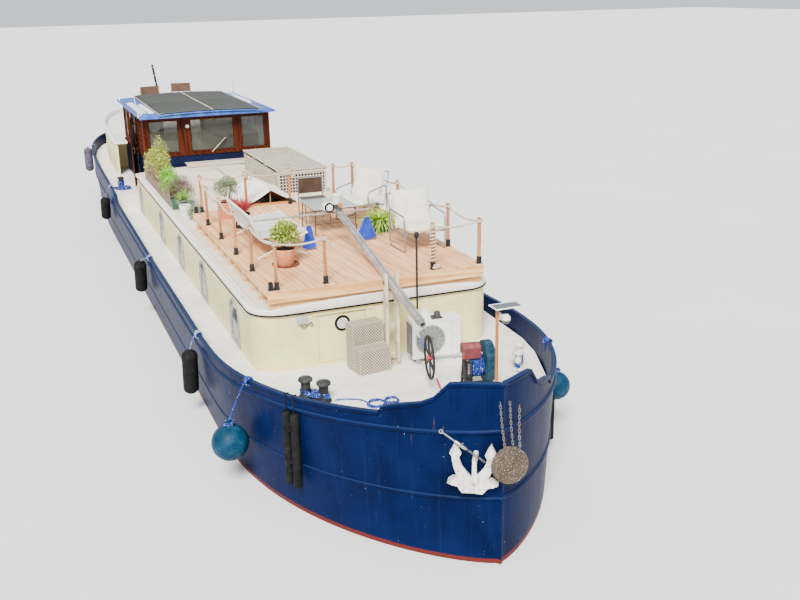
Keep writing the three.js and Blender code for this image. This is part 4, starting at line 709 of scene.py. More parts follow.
def basketFinish(name, low, middle, high):
    # colour follows the height of each strand: painted shade, dark in the gaps, and a painted highlight, pale on
    # the crowns
    mat, tree, shader, where = finishTree(name, 0.7, specular=0.25)
    height = add(tree, "ShaderNodeAttribute", attribute_name="strandHeight").outputs["Fac"]
    mottle = cloud(tree, where, 90, 4, 0.6)
    both = maths(tree, "ADD", height, maths(tree, "MULTIPLY", maths(tree, "SUBTRACT", mottle, 0.5), 0.25))
    colour = steps(tree, both, [(0.16, low), (0.42, middle), (0.66, high)])
    link(tree, colour, shader, "Base Color")
    relief(tree, shader, mottle, 0.0008)
    return mat


# the low colour is the painted shade of the gaps, the high one the painted highlight of the crowns
basketWeave = basketFinish("basketWeave", (0.115, 0.088, 0.064), (0.30, 0.245, 0.18), (0.72, 0.65, 0.53))
terracotta = weathered("terracotta", (0.66, 0.265, 0.125), (0.52, 0.19, 0.085), (0.74, 0.38, 0.22), (0.7, 0.9),
                       0.4, 14.0, 0.0008)
greenGlaze = weathered("greenGlaze", (0.020, 0.085, 0.050), (0.012, 0.05, 0.03), (0.04, 0.13, 0.08), (0.2, 0.4),
                       0.2, 10.0, 0.0004, coat=0.5)
bluePot = weathered("bluePot", (0.20, 0.25, 0.30), (0.13, 0.17, 0.21), (0.28, 0.33, 0.38), (0.35, 0.6), 0.3, 12.0,
                    0.0006)
soil = weathered("soil", (0.050, 0.034, 0.022), (0.025, 0.017, 0.011), (0.09, 0.065, 0.045), (0.85, 0.98), 0.4,
                 60.0, 0.006)
redPlastic = weathered("redPlastic", (0.42, 0.030, 0.028), (0.28, 0.020, 0.018), (0.52, 0.07, 0.06), (0.35, 0.6),
                       0.35, 9.0, 0.0005)
wornTeal = weathered("wornTeal", (0.014, 0.050, 0.082), (0.008, 0.028, 0.05), (0.045, 0.11, 0.155), (0.4, 0.7),
                     0.6, 13.0, 0.0010,
                     rust=(0.20, 0.085, 0.04), rustAmount=0.63)
fadedRed = weathered("fadedRed", (0.20, 0.030, 0.034), (0.09, 0.030, 0.040), (0.32, 0.13, 0.13), (0.45, 0.7), 0.5,
                     16.0, 0.0008,
                     rust=(0.17, 0.07, 0.035), rustAmount=0.6)
chippedWhite = weathered("chippedWhite", (0.74, 0.735, 0.70), (0.56, 0.55, 0.51), (0.84, 0.83, 0.81), (0.45, 0.7),
                         0.45, 9.0,
                         0.0012, rust=(0.26, 0.12, 0.045), rustAmount=0.55)
greyPaint = weathered("greyPaint", (0.33, 0.345, 0.36), (0.25, 0.26, 0.27), (0.42, 0.43, 0.44), (0.35, 0.55), 0.3,
                      6.0, 0.0005)
lampOrange = weathered("lampOrange", (0.42, 0.155, 0.045), (0.30, 0.10, 0.03), (0.52, 0.23, 0.08), (0.4, 0.6), 0.3,
                       12.0, 0.0005)
leafVariegated = leafFinish("leafVariegated", (0.36, 0.44, 0.075), (0.14, 0.23, 0.035), (0.80, 0.80, 0.30))
leafBright = leafFinish("leafBright", (0.34, 0.54, 0.04), (0.15, 0.29, 0.02), (0.60, 0.74, 0.12))
leafRed = leafFinish("leafRed", (0.42, 0.025, 0.035), (0.10, 0.015, 0.022), (0.60, 0.10, 0.10))
leafGrey = leafFinish("leafGrey", (0.20, 0.27, 0.13), (0.10, 0.15, 0.07), (0.34, 0.42, 0.22))
leafHerb = leafFinish("leafHerb", (0.19, 0.52, 0.025), (0.08, 0.27, 0.014), (0.36, 0.70, 0.06))
leafHeather = leafFinish("leafHeather", (0.16, 0.085, 0.085), (0.075, 0.045, 0.04), (0.30, 0.17, 0.19))
print("finishes ready")

# water level floor and soft studio light
floorMat, floorTree, floorShader, floorWhere = finishTree("studioFloor", 0.85)
link(floorTree, steps(floorTree, cloud(floorTree, floorWhere, 0.25, 3),
                      [(0.35, (0.70, 0.715, 0.73)), (0.65, (0.735, 0.75, 0.76))]),
     floorShader, "Base Color")
floorMesh = bpy.data.meshes.new("studioFloor")
floorMesh.from_pydata([(-160, -120, 0), (160, -120, 0), (160, 200, 0), (-160, 200, 0)], [], [(0, 1, 2, 3)])
floorObj = bpy.data.objects.new("studioFloor", floorMesh)
bpy.context.scene.collection.objects.link(floorObj)
floorMesh.materials.append(floorMat)

light = {"sky": 1.0, "skyColour": (0.93, 0.96, 1.0), "sun": 9.2, "sunAngle": 0.36,
         "sunTurn": (math.radians(46), 0.0, math.radians(-28))}
world = bpy.data.worlds.new("studioSky")
bpy.context.scene.world = world
world.use_nodes = True
world.node_tree.nodes["Background"].inputs[0].default_value = (*light["skyColour"], 1)
world.node_tree.nodes["Background"].inputs[1].default_value = light["sky"]
sunData = bpy.data.lights.new("softSun", "SUN")
sunData.energy, sunData.angle, sunData.color = light["sun"], light["sunAngle"], (1.0, 0.965, 0.91)
sunObj = bpy.data.objects.new("softSun", sunData)
sunObj.rotation_euler = light["sunTurn"]
bpy.context.scene.collection.objects.link(sunObj)
print("camera, floor and light placed")

deckTop = 1.2503    # paint on the foredeck, 0.3 mm over its solid

# blue mooring line on the foredeck: a short run from the bollard, then loose turns in two rings beside each other
mooring = {"radius": 0.011, "deck": deckTop, "lead": [(-1.14, 2.52), (-1.05, 2.515), (-0.95, 2.48), (-0.85, 2.42),
                                                      (-0.79, 2.345)],
           "rings": [{"at": (-0.67, 2.185), "from": 144, "turns": 2.6, "r": (0.128, 0.101, 0.122)},
                     {"at": (-0.455, 2.2), "from": 180, "turns": -2.5, "r": (0.103, 0.077, 0.094)}]}


def coilPath(m):
    # angle runs on; r goes from the outside in on the deck, then out again one diameter higher
    r, z0 = m["radius"], m["deck"] + m["radius"] * 0.94
    parts = [np.array([(x, y, z0) for x, y in m["lead"]])]
    for k, ring in enumerate(m["rings"]):
        t = np.linspace(0, 1, int(abs(ring["turns"]) * 15))[0 if k == 0 else 1:]
        a = math.radians(ring["from"]) + 2 * np.pi * ring["turns"] * t
        rr = np.interp(t, [0, 0.5, 1], ring["r"]) * (1 + 0.035 * np.sin(2.3 * a + k))
        up = 2 * r * 0.97 * np.clip((t - 0.44) / 0.12, 0, 1)
        parts.append(np.column_stack([ring["at"][0] + rr * np.cos(a), ring["at"][1] + rr * np.sin(a) * 0.98,
                                      z0 + up]))
    return curveThrough(np.concatenate(parts), 3)


linePath = coilPath(mooring)
mooringLine = piece("mooringLine", laidRope(linePath, 0.0105, 0.075, 10), blueRope,
                    stands=["mooring_line"])
whipEnd = linePath[-1]
whipping = piece("mooringWhipping", tube([linePath[-4], linePath[-3], linePath[-2],
                                          whipEnd + (whipEnd - linePath[-2]) * 0.6],
                                         [0.0112, 0.0122, 0.0122, 0.0105], 14), whitePlastic)

# hull: one skin from the flat bottom over the rubbing strakes and the gunwale to the inside of the bulwark
hull = {"length": 26.0, "bowEnd": 4.6, "sternStart": 18.0, "stemHalf": 0.03,
        "waterZ": [-0.8, -0.7, -0.5, -0.25, -0.06, 0, 0.12, 1.5, 2.4],
        "half": [1.78, 2.06, 2.19, 2.235, 2.248, 2.25, 2.262, 2.4, 2.42],
        "bow": [0.62, 0.38, 0.19, 0.07, 0.01, 0, 0, 0, 0],
        "stern": [22.4, 22.8, 23.3, 23.9, 24.4, 25.5, 25.8, 26.0, 26.0],
        "sheerY": [0, 0.18, 0.3, 0.42, 0.52, 0.74, 0.86, 0.91, 1.4, 2, 3, 3.6, 5, 10, 15.5, 15.7, 17.4, 20, 26],
        "sheerZ": [2.275, 2.27, 2.245, 2.048, 1.975, 1.905, 1.85, 1.775, 1.718, 1.655, 1.594, 1.56, 1.505, 1.46,
                   1.54, 1.72, 1.77, 1.87, 1.98],
        "strakes": [(0.85, 0.56, 0.026, 0.014), (1.69, 1.25, 0.030, 0.030)]}


def sideLine(s, z, out):
    # starboard side: x = -(half(z) breadth(s) + out along the normal)
    # y = station, drawn in to the bow and stern of that height
    s, z, out = np.broadcast_arrays(np.asarray(s, float), np.asarray(z, float), np.asarray(out, float))
    half = np.interp(z, hull["waterZ"], hull["half"])
    bow, stern = np.interp(z, hull["waterZ"], hull["bow"]), np.interp(z, hull["waterZ"], hull["stern"])

    def at(s):
        fore = np.clip(1 - np.clip(1 - s / hull["bowEnd"], 0, 1) ** 2.2, 0, 1) ** 0.78
        k = np.clip((s - hull["sternStart"]) / (hull["length"] - hull["sternStart"]), 0, 1)
        aft = np.clip(1 - k ** 3.2, 0, 1) ** 0.38
        y = np.where(s < hull["bowEnd"], bow + s * (hull["bowEnd"] - bow) / hull["bowEnd"],
                     np.where(s > hull["sternStart"], hull["sternStart"] + k * (stern - hull["sternStart"]), s))
        return np.maximum(hull["stemHalf"], half * np.where(s < hull["bowEnd"], fore, aft)), y

    x, y = at(s)
    xa, ya = at(np.maximum(0, s - 0.03))
    xb, yb = at(np.minimum(hull["length"] - 0.01, s + 0.03))
    along = np.maximum(np.hypot(xb - xa, yb - ya), 1e-9)
    nx, ny = (yb - ya) / along, -(xb - xa) / along
    stem = s <= 0
    nx, ny = np.where(stem, 0.7071, nx), np.where(stem, -0.7071, ny)
    return np.stack([-np.maximum(0.008, x + nx * out), y + ny * out, z], -1)


def sheer(s):
    # height of the gunwale, straight between the listed stations
    return np.interp(s, hull["sheerY"], hull["sheerZ"])


def dress(finish, *names):
    # a CAD solid that keeps its shape gets a better finish
    for name in names:
        nodes[name].data.materials.clear()
        nodes[name].data.materials.append(finish)


def hullSkin():
    # rings: (0, bow), starboard stations, (0, stern), port stations; one ring for each level of the section
    s = np.unique(np.round(np.concatenate([
        np.linspace(0, 1, 26) ** 1.6 * 2.2, np.linspace(2.2, 4.6, 13), np.linspace(4.6, 18, 26),
                                           hull["sheerY"][:-1],
        18 + 8 * (1 - (1 - np.linspace(0, 1, 42)) ** 1.9) * 0.9975]), 4))
    ease = np.minimum(1, s / 5) ** 0.8
    levels = [(np.full_like(s, z), np.zeros_like(s)) for z in (-0.8, -0.76, -0.7, -0.6, -0.5, -0.36, -0.25, -0.06,
                                                               0, 0.12, 0.3)]
    for bow, aft, r0, r1 in hull["strakes"]:
        z, r = bow + (aft - bow) * ease, r0 + (r1 - r0) * np.minimum(1, s / 5)
        for b in np.linspace(-np.pi / 2, np.pi / 2, 9):
            levels.append((z + r * math.sin(b), 0.9 * r * math.cos(b)))
        if aft < 1:
            levels.append((z * 0.5 + (1.69 + (1.25 - 1.69) * ease) * 0.5, np.zeros_like(s)))
    top = sheer(s)
    for dz, out in ((-0.058, 0), (-0.053, 0.013), (-0.043, 0.021), (-0.022, 0.024), (-0.007, 0.021), (0, 0.013),
                    (0, -0.043),
                    (-0.006, -0.049), (-0.03, -0.05)):
        levels.append((top + dz, np.full_like(s, out)))
    levels.append((np.full_like(s, 1.205), np.full_like(s, -0.05)))
    rings = []
    for z, out in levels:
        side = sideLine(s, z, out)
        nose = [0, np.interp(z[0], hull["waterZ"], hull["bow"]) - 0.03 - out[0], z[0]]
        tail = [0, np.interp(z[-1], hull["waterZ"], hull["stern"]) + out[-1], z[-1]]
        near = side[:1] * [0.55, 1, 1] + np.array([0, nose[1] * 0.72 + side[0, 1] * 0.28 - side[0, 1], 0])
        half = np.concatenate([near, side])
        rings.append(np.concatenate([[nose], half, [tail], half[::-1] * [-1, 1, 1]]))
    keel, inside = (rings[k] * [0, 1, 1] for k in (0, -1))    # both ends of the skin fold onto the middle plane
    return skinOf([keel] + rings + [inside])


aftBollard = turned([(0.085, -0.008), (0.083, 0.022), (0.058, 0.03), (0.055, 0.20), (0.060, 0.215), (0.082, 0.225),
                     (0.085, 0.245),
                     (0.078, 0.268), (0.05, 0.283)], (-2.13, 16.55, 1.67), sides=28)
piece("hullSkin", hullSkin(), hullPaint, stands=["hull", "bulwark"], flatTo=32)
piece("aftBollard", joined(aftBollard, block((-2.37, 16.52, 1.675), (-2.11, 16.58, 1.705))), blackPaint)
dress(hullPaint, "skeg")
dress(deckPaint, "deck", "aft_deck")

# mushroom bollards in pairs on their plates
bollards = {"port": {"at": [(1.56, 2.48), (1.74, 2.76)], "r": 0.055, "body": chippedWhite, "cap": chippedWhite,
                     "slot": "white_paint"},
            "starboard": {"at": [(-1.45, 2.78), (-1.27, 2.56)], "r": 0.068, "body": blackPaint, "cap": capGrey,
                          "slot": "black_paint"}}
for side, b in bollards.items():
    r, (pa, pb) = b["r"], np.array(b["at"])
    stem = [(r * 1.5, 0.002), (r * 1.47, 0.022), (r * 1.2, 0.030), (r * 1.02, 0.045), (r * 0.97, 0.12),
            (r * 0.95, 0.225)]
    cap = [(r * 0.95, 0.222), (r * 1.38, 0.232), (r * 1.46, 0.246), (r * 1.42, 0.266), (r * 1.2, 0.280),
           (r * 0.6, 0.288)]
    centres = [(x, y, deckTop + 0.01) for x, y in b["at"]]
    turn = math.atan2(pb[1] - pa[1], pb[0] - pa[0])
    plate = moved(blocks([(0, 0, 0.006)], [(0.28, 0.12, 0.012)]), (*((pa + pb) / 2), deckTop), turn)
    piece("bollardPlate" + side.title(), plate, b["body"], bevel=0.003, stands=["bollards_" + side])
    piece("bollardStems" + side.title(), joined(*(turned(stem, c, sides=28) for c in centres)), b["body"])
    piece("bollardCaps" + side.title(), joined(*(turned(cap, c, sides=28) for c in centres)), b["cap"])
    # turns of line made fast in figures of eight round both stems
    t = np.linspace(0, 2 * np.pi * 3, 150)
    mid, axis = (pa + pb) / 2, (pb - pa) / np.linalg.norm(pb - pa)
    reach, wide = np.linalg.norm(pb - pa) / 2 + r + 0.014, r + 0.014
    xy = mid + np.outer(np.cos(t) * reach, axis) + np.outer(np.sin(t) * wide * (0.9 + 0.12 * np.cos(2 * t)),
                                                            [-axis[1], axis[0]])
    z = deckTop + 0.052 + 0.024 * t / (2 * np.pi) + 0.004 * np.sin(5 * t)
    piece("madeFast" + side.title(), laidRope(np.column_stack([xy, z]), 0.012, 0.08, 10), blueRope)
print("hull and bollards")

def alongAxis(a, b, profile):
    # points a + (b - a)/|b - a| h with radius r, for (r, h) pairs
    a, b = np.asarray(a, float), np.asarray(b, float)
    p = np.asarray(profile, float)
    return a + unitOf(b - a) * p[:, 1:], p[:, 0]


def barrel(a, b, profile, sides=24):
    # a round body on the line from a to b, from (radius, distance) pairs
    path, radius = alongAxis(a, b, profile)
    return tube(path, radius, sides)


def bar(a, b, r, sides=12):
    # a round rod from a to b
    return tube([a, b], r, sides)


def wound(a, b, coreRadius, ropeRadius, turns, drift=0.0):
    # helix on a round core from a to b: core + rope radius out, one rope diameter or more between turns
    a, b = np.asarray(a, float), np.asarray(b, float)
    t = np.linspace(0, 1, int(turns * 18) + 2)
    axis = (b - a) / max(np.linalg.norm(b - a), 1e-6)
    side = unitOf(np.cross(axis, np.eye(3)[np.argmin(np.abs(axis))]))
    over = np.cross(axis, side)
    w = 2 * np.pi * turns * t + drift
    r = coreRadius + ropeRadius
    return a + (b - a) * t[:, None] + r * (np.cos(w)[:, None] * side + np.sin(w)[:, None] * over)


def chainLinks(path, pitch=0.032, wire=0.0042):
    # stadium links set along the path, each a quarter turn round from the last
    path = np.asarray(path, float)
    length = runLength(path)
    n = max(2, int(length[-1] / pitch))
    s = (np.arange(n) + 0.5) * length[-1] / n
    centre = alongPath(path, length, s)
    t = fullTurn(16)
    oval = np.stack([np.cos(t) * 0.010, 0 * t, np.sin(t) * 0.010 + np.sign(np.sin(t)) * (pitch * 0.5 - 0.002)], -1)
    link = tubeRing(oval, wire, 6)
    tangent = rowUnits(np.gradient(centre, axis=0))
    side = rowUnits(np.cross(tangent, [0.31, 0.9, 0.3]))
    over = np.cross(tangent, side)
    odd = (np.arange(n) % 2)[:, None]
    x, y = np.where(odd, side, over), np.where(odd, over, -side)
    return copies(link, centre, np.stack([x, y, tangent], -1))


def tubeRing(path, radius, sides=8):
    # closed tube: the path's ends meet
    path = np.asarray(path, float)
    tangent = rowUnits(np.roll(path, -1, 0) - np.roll(path, 1, 0))
    axis = np.linalg.svd(path - path.mean(0))[2][2]    # the normal of the path's own plane
    side = rowUnits(np.cross(tangent, axis))
    over = np.cross(side, tangent)
    a = fullTurn(sides)
    points = path[:, None] + radius * (np.cos(a)[None, :, None] * side[:, None] + np.sin(a)[None, :,
                                           None] * over[:, None])
    return points.reshape(-1, 3), gridQuads(len(path), sides, True, True)


# condenser unit: its own frame has x along the front, y back, z up from the deck
ac = {"at": (0.68, 3.40, deckTop), "turn": -0.06, "w": 0.74, "d": 0.29, "low": 0.07, "h": 0.56,
      "fan": (-0.105, 0.35), "fanR": 0.225,
      "pole": (-0.225, 0.06), "poleTop": 1.875, "feet": 0.28, "louvres": 15}


def inAc(shape):
    # from the condenser's own axes to the boat's
    return moved(shape, ac["at"], ac["turn"])


w2, d2, top = ac["w"] / 2, ac["d"] / 2, ac["low"] + ac["h"]
piece("acCasing", inAc(joined(block((-w2, -d2, ac["low"]), (w2, d2, top)),
                              block((-w2 - 0.004, -d2 - 0.004, top - 0.03),
                                    (w2 + 0.004, d2 + 0.004, top + 0.006)))),
      whitePlastic, stands=["ac_unit"], bevel=0.010, segments=3)
lean, n = 0.6, ac["louvres"]
tiltY = np.array([[math.cos(lean), 0, math.sin(lean)], [0, 1, 0], [-math.sin(lean), 0, math.cos(lean)]])
z = np.linspace(ac["low"] + 0.05, top - 0.07, n)
louvres = blocks(np.column_stack([np.full(n, -w2 - 0.004), np.zeros(n), z]), (0.016, ac["d"] - 0.06, 0.006),
                 np.repeat(tiltY[None], n, 0))
seams = joined(block((0.225, -d2 - 0.001, ac["low"] + 0.02), (0.229, -d2 + 0.004, top - 0.035)),
               block((-w2 - 0.0015, -d2 + 0.02, ac["low"] + 0.03), (-w2 + 0.003, d2 - 0.02, top - 0.05)))
piece("acLouvres", inAc(louvres), greyPlastic, bevel=0.001)
piece("acSeams", inAc(seams), darkPlastic)
fx, fz = ac["fan"]
rings = [loop(r, 0.0026, (fx, -d2 - 0.013, fz), "y", 48, 6) for r in np.linspace(0.03, ac["fanR"] - 0.012, 13)]
wires = [(math.cos(v) * 0.215, math.sin(v) * 0.215) for v in np.arange(8) * np.pi / 8]
spokes = [bar((fx - dx, -d2 - 0.010, fz - dz), (fx + dx, -d2 - 0.010, fz + dz), 0.003, 6) for dx, dz in wires]
piece("acGrille", inAc(joined(*rings, *spokes, loop(ac["fanR"] - 0.004, 0.008, (fx, -d2 - 0.008, fz), "y", 56,
                                                    10))), greyPlastic)
piece("acFanWell", inAc(joined(turned([(ac["fanR"] - 0.006, -d2 - 0.004), (ac["fanR"] - 0.010, -d2 - 0.001)],
                                      (fx, 0, fz), "y", 48),
                               turned([(0.05, -d2 - 0.016), (0.048, -d2 - 0.012), (0.03, -d2 - 0.004)],
                                      (fx, 0, fz), "y", 32))), fanGrey)
footX = (-ac["feet"], ac["feet"])
feet = joined(*(block((x - 0.03, -d2 - 0.01, 0), (x + 0.03, d2 + 0.01, 0.012)) for x in footX),
              *(block((x - 0.03, y - 0.012, 0.008), (x + 0.03, y + 0.012, 0.074)) for x in footX for y in (-0.10,
                    0.10)))
piece("acFeet", inAc(feet), greyPaint, bevel=0.002)
square = moved(turned([(0.115, 0), (0.118, 0.012), (0.108, 0.024), (0.082, 0.095), (0.078, 0.118), (0.06, 0.126)],
                      (0, 0, 0), "z", 4), (0, 0, 0), math.pi / 4)
piece("acLampHousing", inAc(moved(square, (-0.16, -0.05, top + 0.008))), whitePlastic,
      bevel=0.006, segments=2, smooth=False)
piece("acLampLens", inAc(turned([(0.052, 0), (0.054, 0.014), (0.045, 0.028), (0.022, 0.038)],
                                (-0.16, -0.05, top + 0.132), sides=28)), lensGlass)
piece("acSmallLamp", inAc(joined(turned([(0.055, 0), (0.056, 0.03), (0.046, 0.05), (0.044, 0.085), (0.03, 0.094)],
                                        (0.04, -0.04, top + 0.006), sides=28),
                                 block((-0.24, -0.11, top + 0.002), (0.11, 0.06, top + 0.016)))), darkPlastic,
      bevel=0.003)
poleAt = (*ac["pole"], 0)
piece("acPole", inAc(joined(bar((*ac["pole"], top), (*ac["pole"], ac["poleTop"]), 0.015, 16),
                            turned([(0.028, 1.82), (0.034, 1.83), (0.034, 1.88), (0.024, 1.898)], poleAt, sides=20),
                            turned([(0.04, top), (0.038, top + 0.015), (0.018, top + 0.03)], poleAt, sides=20))),
      blackPaint)

# two-step box in woven plastic: raised and sunk squares in turn
boarding = {"at": (-0.33, 3.42, deckTop), "turn": 0.13, "square": 0.0225, "strand": 0.005, "grid": 0.0046}


def wovenPanel(corner, along, up, out):
    # height = strand x (1 on even squares, 0.2 on odd) x root of |sin(pi u / square) sin(pi v / square)|
    corner, along, up, out = (np.asarray(v, float) for v in (corner, along, up, out))
    lu, lv = np.linalg.norm(along), np.linalg.norm(up)
    u = np.linspace(0, lu, max(4, int(lu / boarding["grid"])))[:, None]
    v = np.linspace(0, lv, max(4, int(lv / boarding["grid"])))[None, :]
    p = boarding["square"]
    pu, pv = lu / round(lu / p), lv / round(lv / p)
    even = (np.floor(u / pu) + np.floor(v / pv)) % 2 == 0
    pillow = np.sqrt(np.abs(np.sin(np.pi * u / pu) * np.sin(np.pi * v / pv)))
    rim = np.minimum.reduce([u + 0 * v, lu - u + 0 * v, v + 0 * u, lv - v + 0 * u])
    h = boarding["strand"] * np.where(even, 1.0, 0.2) * pillow * np.clip(rim / 0.006, 0, 1)
    points = corner + (u / lu)[..., None] * along + (v / lv)[..., None] * up + h[..., None] * out
    return points.reshape(-1, 3), gridQuads(points.shape[0], points.shape[1])


def stepBox(x0, x1, y0, y1, z0, z1):
    # a woven panel on each of the six sides of a box
    dx, dy, dz = (x1 - x0, 0, 0), (0, y1 - y0, 0), (0, 0, z1 - z0)
    return joined(wovenPanel((x0, y0, z0), dx, dz, (0, -1, 0)), wovenPanel((x1, y1, z0), (-(x1 - x0), 0, 0), dz,
                      (0, 1, 0)),
                  wovenPanel((x0, y1, z0), (0, -(y1 - y0), 0), dz, (-1, 0, 0)),
                  wovenPanel((x1, y0, z0), dy, dz, (1, 0, 0)),
                  wovenPanel((x0, y0, z1), dx, dy, (0, 0, 1)), wovenPanel((x0, y1, z0), dx, (0, -(y1 - y0), 0),
                      (0, 0, -1)))


def boxEdges(x0, x1, y0, y1, z0, z1, r):
    # a rod of radius r along each of the twelve edges of a box
    c = np.array([[x, y, z] for x in (x0, x1) for y in (y0, y1) for z in (z0, z1)])
    pairs = [(0, 1), (2, 3), (4, 5), (6, 7), (0, 2), (1, 3), (4, 6), (5, 7), (0, 4), (1, 5), (2, 6), (3, 7)]
    return joined(*(bar(c[a], c[b], r, 8) for a, b in pairs))


upper, lower = (-0.237, 0.237, -0.017, 0.202, 0.004, 0.678), (-0.237, 0.237, -0.222, -0.020, 0.004, 0.363)
weave = piece("stepsWeave", moved(joined(stepBox(*upper), stepBox(*lower)), boarding["at"], boarding["turn"]),
              basketWeave,
      stands=["boarding_steps"], turnOut=False)
rest = np.empty(len(weave.data.vertices) * 3, np.float32)
weave.data.vertices.foreach_get("co", rest)
# back into the steps' own axes, for the height of every point above its panel
lx, ly, lz = ((rest.reshape(-1, 3) - boarding["at"]) @ turnZ(boarding["turn"])[0]).T
out = [np.maximum.reduce([b[0] - lx, lx - b[1], b[2] - ly, ly - b[3], b[4] - lz, lz - b[5]]) for b in (upper,
           lower)]
out = np.where(np.abs(out[0]) < np.abs(out[1]), out[0], out[1])
# this height sets the weave's painted shade in the gaps and its painted highlight on the crowns
weave.data.attributes.new("strandHeight", "FLOAT", "POINT").data.foreach_set("value",
    np.clip(out / boarding["strand"], 0, 1).astype(np.float32))
piece("stepsRims", moved(joined(boxEdges(*upper, 0.007), boxEdges(*lower, 0.007)), boarding["at"],
                         boarding["turn"]), wickerWeave)

# anchor winch: two legs, a drum with its worn flange, gears, a cover, and the hand wheel on the long shaft
winch = {"x": (0.56, 1.0), "y": 2.30, "axle": 1.735, "drum": 1.56, "teeth": (24, 9), "wheelX": 0.13,
         "wheelR": 0.285, "arm": 0.275, "turn": -0.2}
wy = winch["y"]


def inWinch(shape):
    # the whole winch is turned about the upright through its hand wheel
    pivot = np.array([winch["wheelX"], winch["y"], 0.0])
    return moved((shape[0] - pivot, shape[1]), pivot, winch["turn"])


def legFrame(x0, x1):
    # the A-shaped plate as two tapered legs and a head between them
    left = [(2.165, deckTop + 0.02), (2.225, deckTop + 0.02), (2.305, 1.66), (2.25, 1.66)]
    right = [(2.375, deckTop + 0.02), (2.435, deckTop + 0.02), (2.35, 1.66), (2.295, 1.66)]
    head = [(2.25, 1.65), (2.35, 1.65), (2.35, 1.81), (2.335, 1.84), (2.265, 1.84), (2.25, 1.81)]
    return joined(*(slab(o, (x0, x1), "x") for o in (left, right, head)), block((x0, 2.22, 1.40), (x1, 2.38, 1.44)))


piece("winchLegs", inWinch(joined(legFrame(0.585, 0.610), legFrame(0.95, 0.975),
                                  block((winch["x"][0], 2.14, deckTop), (winch["x"][1], 2.46, deckTop + 0.024)))),
      blackPaint,
      stands=["winch"], bevel=0.004, segments=2, smooth=False)
gearAngle = fullTurn(144)
toothWave, pinionWave = (np.sin(count * gearAngle) for count in winch["teeth"])
gearR = 0.148 + 0.007 * np.sign(toothWave) * np.minimum(1, np.abs(toothWave) * 2)
pinionR = 0.052 + 0.006 * np.sign(pinionWave)
gears = [slab(np.column_stack([wy + r * np.cos(gearAngle), z + r * np.sin(gearAngle)]), depth, "x")
         for r, z, depth in ((gearR, winch["drum"], (0.622, 0.650)),
                             (pinionR, winch["axle"] + 0.022, (0.618, 0.654)))]
piece("winchGears", inWinch(joined(*gears)), rustySteel, smooth=False)
# the big dished cover at the port end, dished forward of its rim
piece("winchFlange", inWinch(joined(turned([(0.06, 0.852), (0.272, 0.856), (0.284, 0.868), (0.284, 0.972),
                                            (0.276, 0.984), (0.245, 0.986), (0.225, 0.978), (0.12, 0.982),
                                            (0.10, 0.992), (0.05, 0.994)],
                                           (0, wy, 1.625), "x", 64),
                                    turned([(0.04, 0.655), (0.165, 0.658), (0.17, 0.668), (0.04, 0.674)],
                                           (0, wy, winch["drum"]), "x", 40))), wornTeal)
piece("winchDrum", inWinch(turned([(0.10, 0.66), (0.10, 0.87)], (0, wy, winch["drum"]), "x", 32)), rustySteel)
inner, outer = ((x, wy, winch["drum"]) for x in (0.69, 0.85))
layers = [wound(inner, outer, 0.10, 0.011, 7), wound(outer, inner, 0.121, 0.011, 6.4, 1.2)]
piece("winchRope", inWinch(joined(*(laidRope(p, 0.0108, 0.07, 8) for p in layers))), blueRope)
cover = np.array([(2.203, 1.70), (2.203, 1.85), (2.235, 1.885), (2.265, 1.893), (2.335, 1.893), (2.365, 1.885),
                  (2.397, 1.85), (2.397, 1.70)])
piece("winchCover", inWinch(joined(slab(cover, (0.568, 0.812), "x"),
                                   block((0.60, 2.24, 1.66), (0.78, 2.36, 1.71)))), fadedRed,
      bevel=0.008,
      segments=2, smooth=False)
# ribbed spring column under the cover
ribs = blocks(np.column_stack([np.full(11, 0.655), np.full(11, 2.205), np.linspace(1.31, 1.66, 11)]),
              (0.085, 0.075, 0.014))
piece("winchRibs", inWinch(joined(ribs, block((0.63, 2.185, deckTop + 0.02), (0.68, 2.225, 1.68)))), blackPaint,
      bevel=0.003)
piece("winchShaft", inWinch(joined(bar((0.1725, wy, winch["axle"]), (0.97, wy, winch["axle"]), 0.020, 18),
                                   bar((0.60, wy, winch["drum"]), (0.965, wy, winch["drum"]), 0.028, 18),
                           turned([(0.03, 0.52), (0.036, 0.53), (0.036, 0.57), (0.03, 0.585)],
                                  (0, wy, winch["axle"]), "x", 20))), greyPaint)
centre = (winch["wheelX"], wy, winch["axle"])
rim = loop(winch["wheelR"], 0.0165, centre, "x", 64, 12)
hub = turned([(0.026, -0.03), (0.040, -0.022), (0.040, 0.03), (0.030, 0.0395)], centre, "x", 24)
reach = [np.array([0, math.cos(v) * winch["arm"], math.sin(v) * winch["arm"]])
         for v in np.arange(3) * np.pi / 3 + 0.3]
arms = [bar(centre - r, centre + r, 0.0115, 10) for r in reach]
piece("winchWheelRim", inWinch(joined(rim, *arms)), blackPaint, body="winch_wheel",
      stands=["winch_wheel"])
piece("winchWheelHub", inWinch(hub), redPlastic, body="winch_wheel")

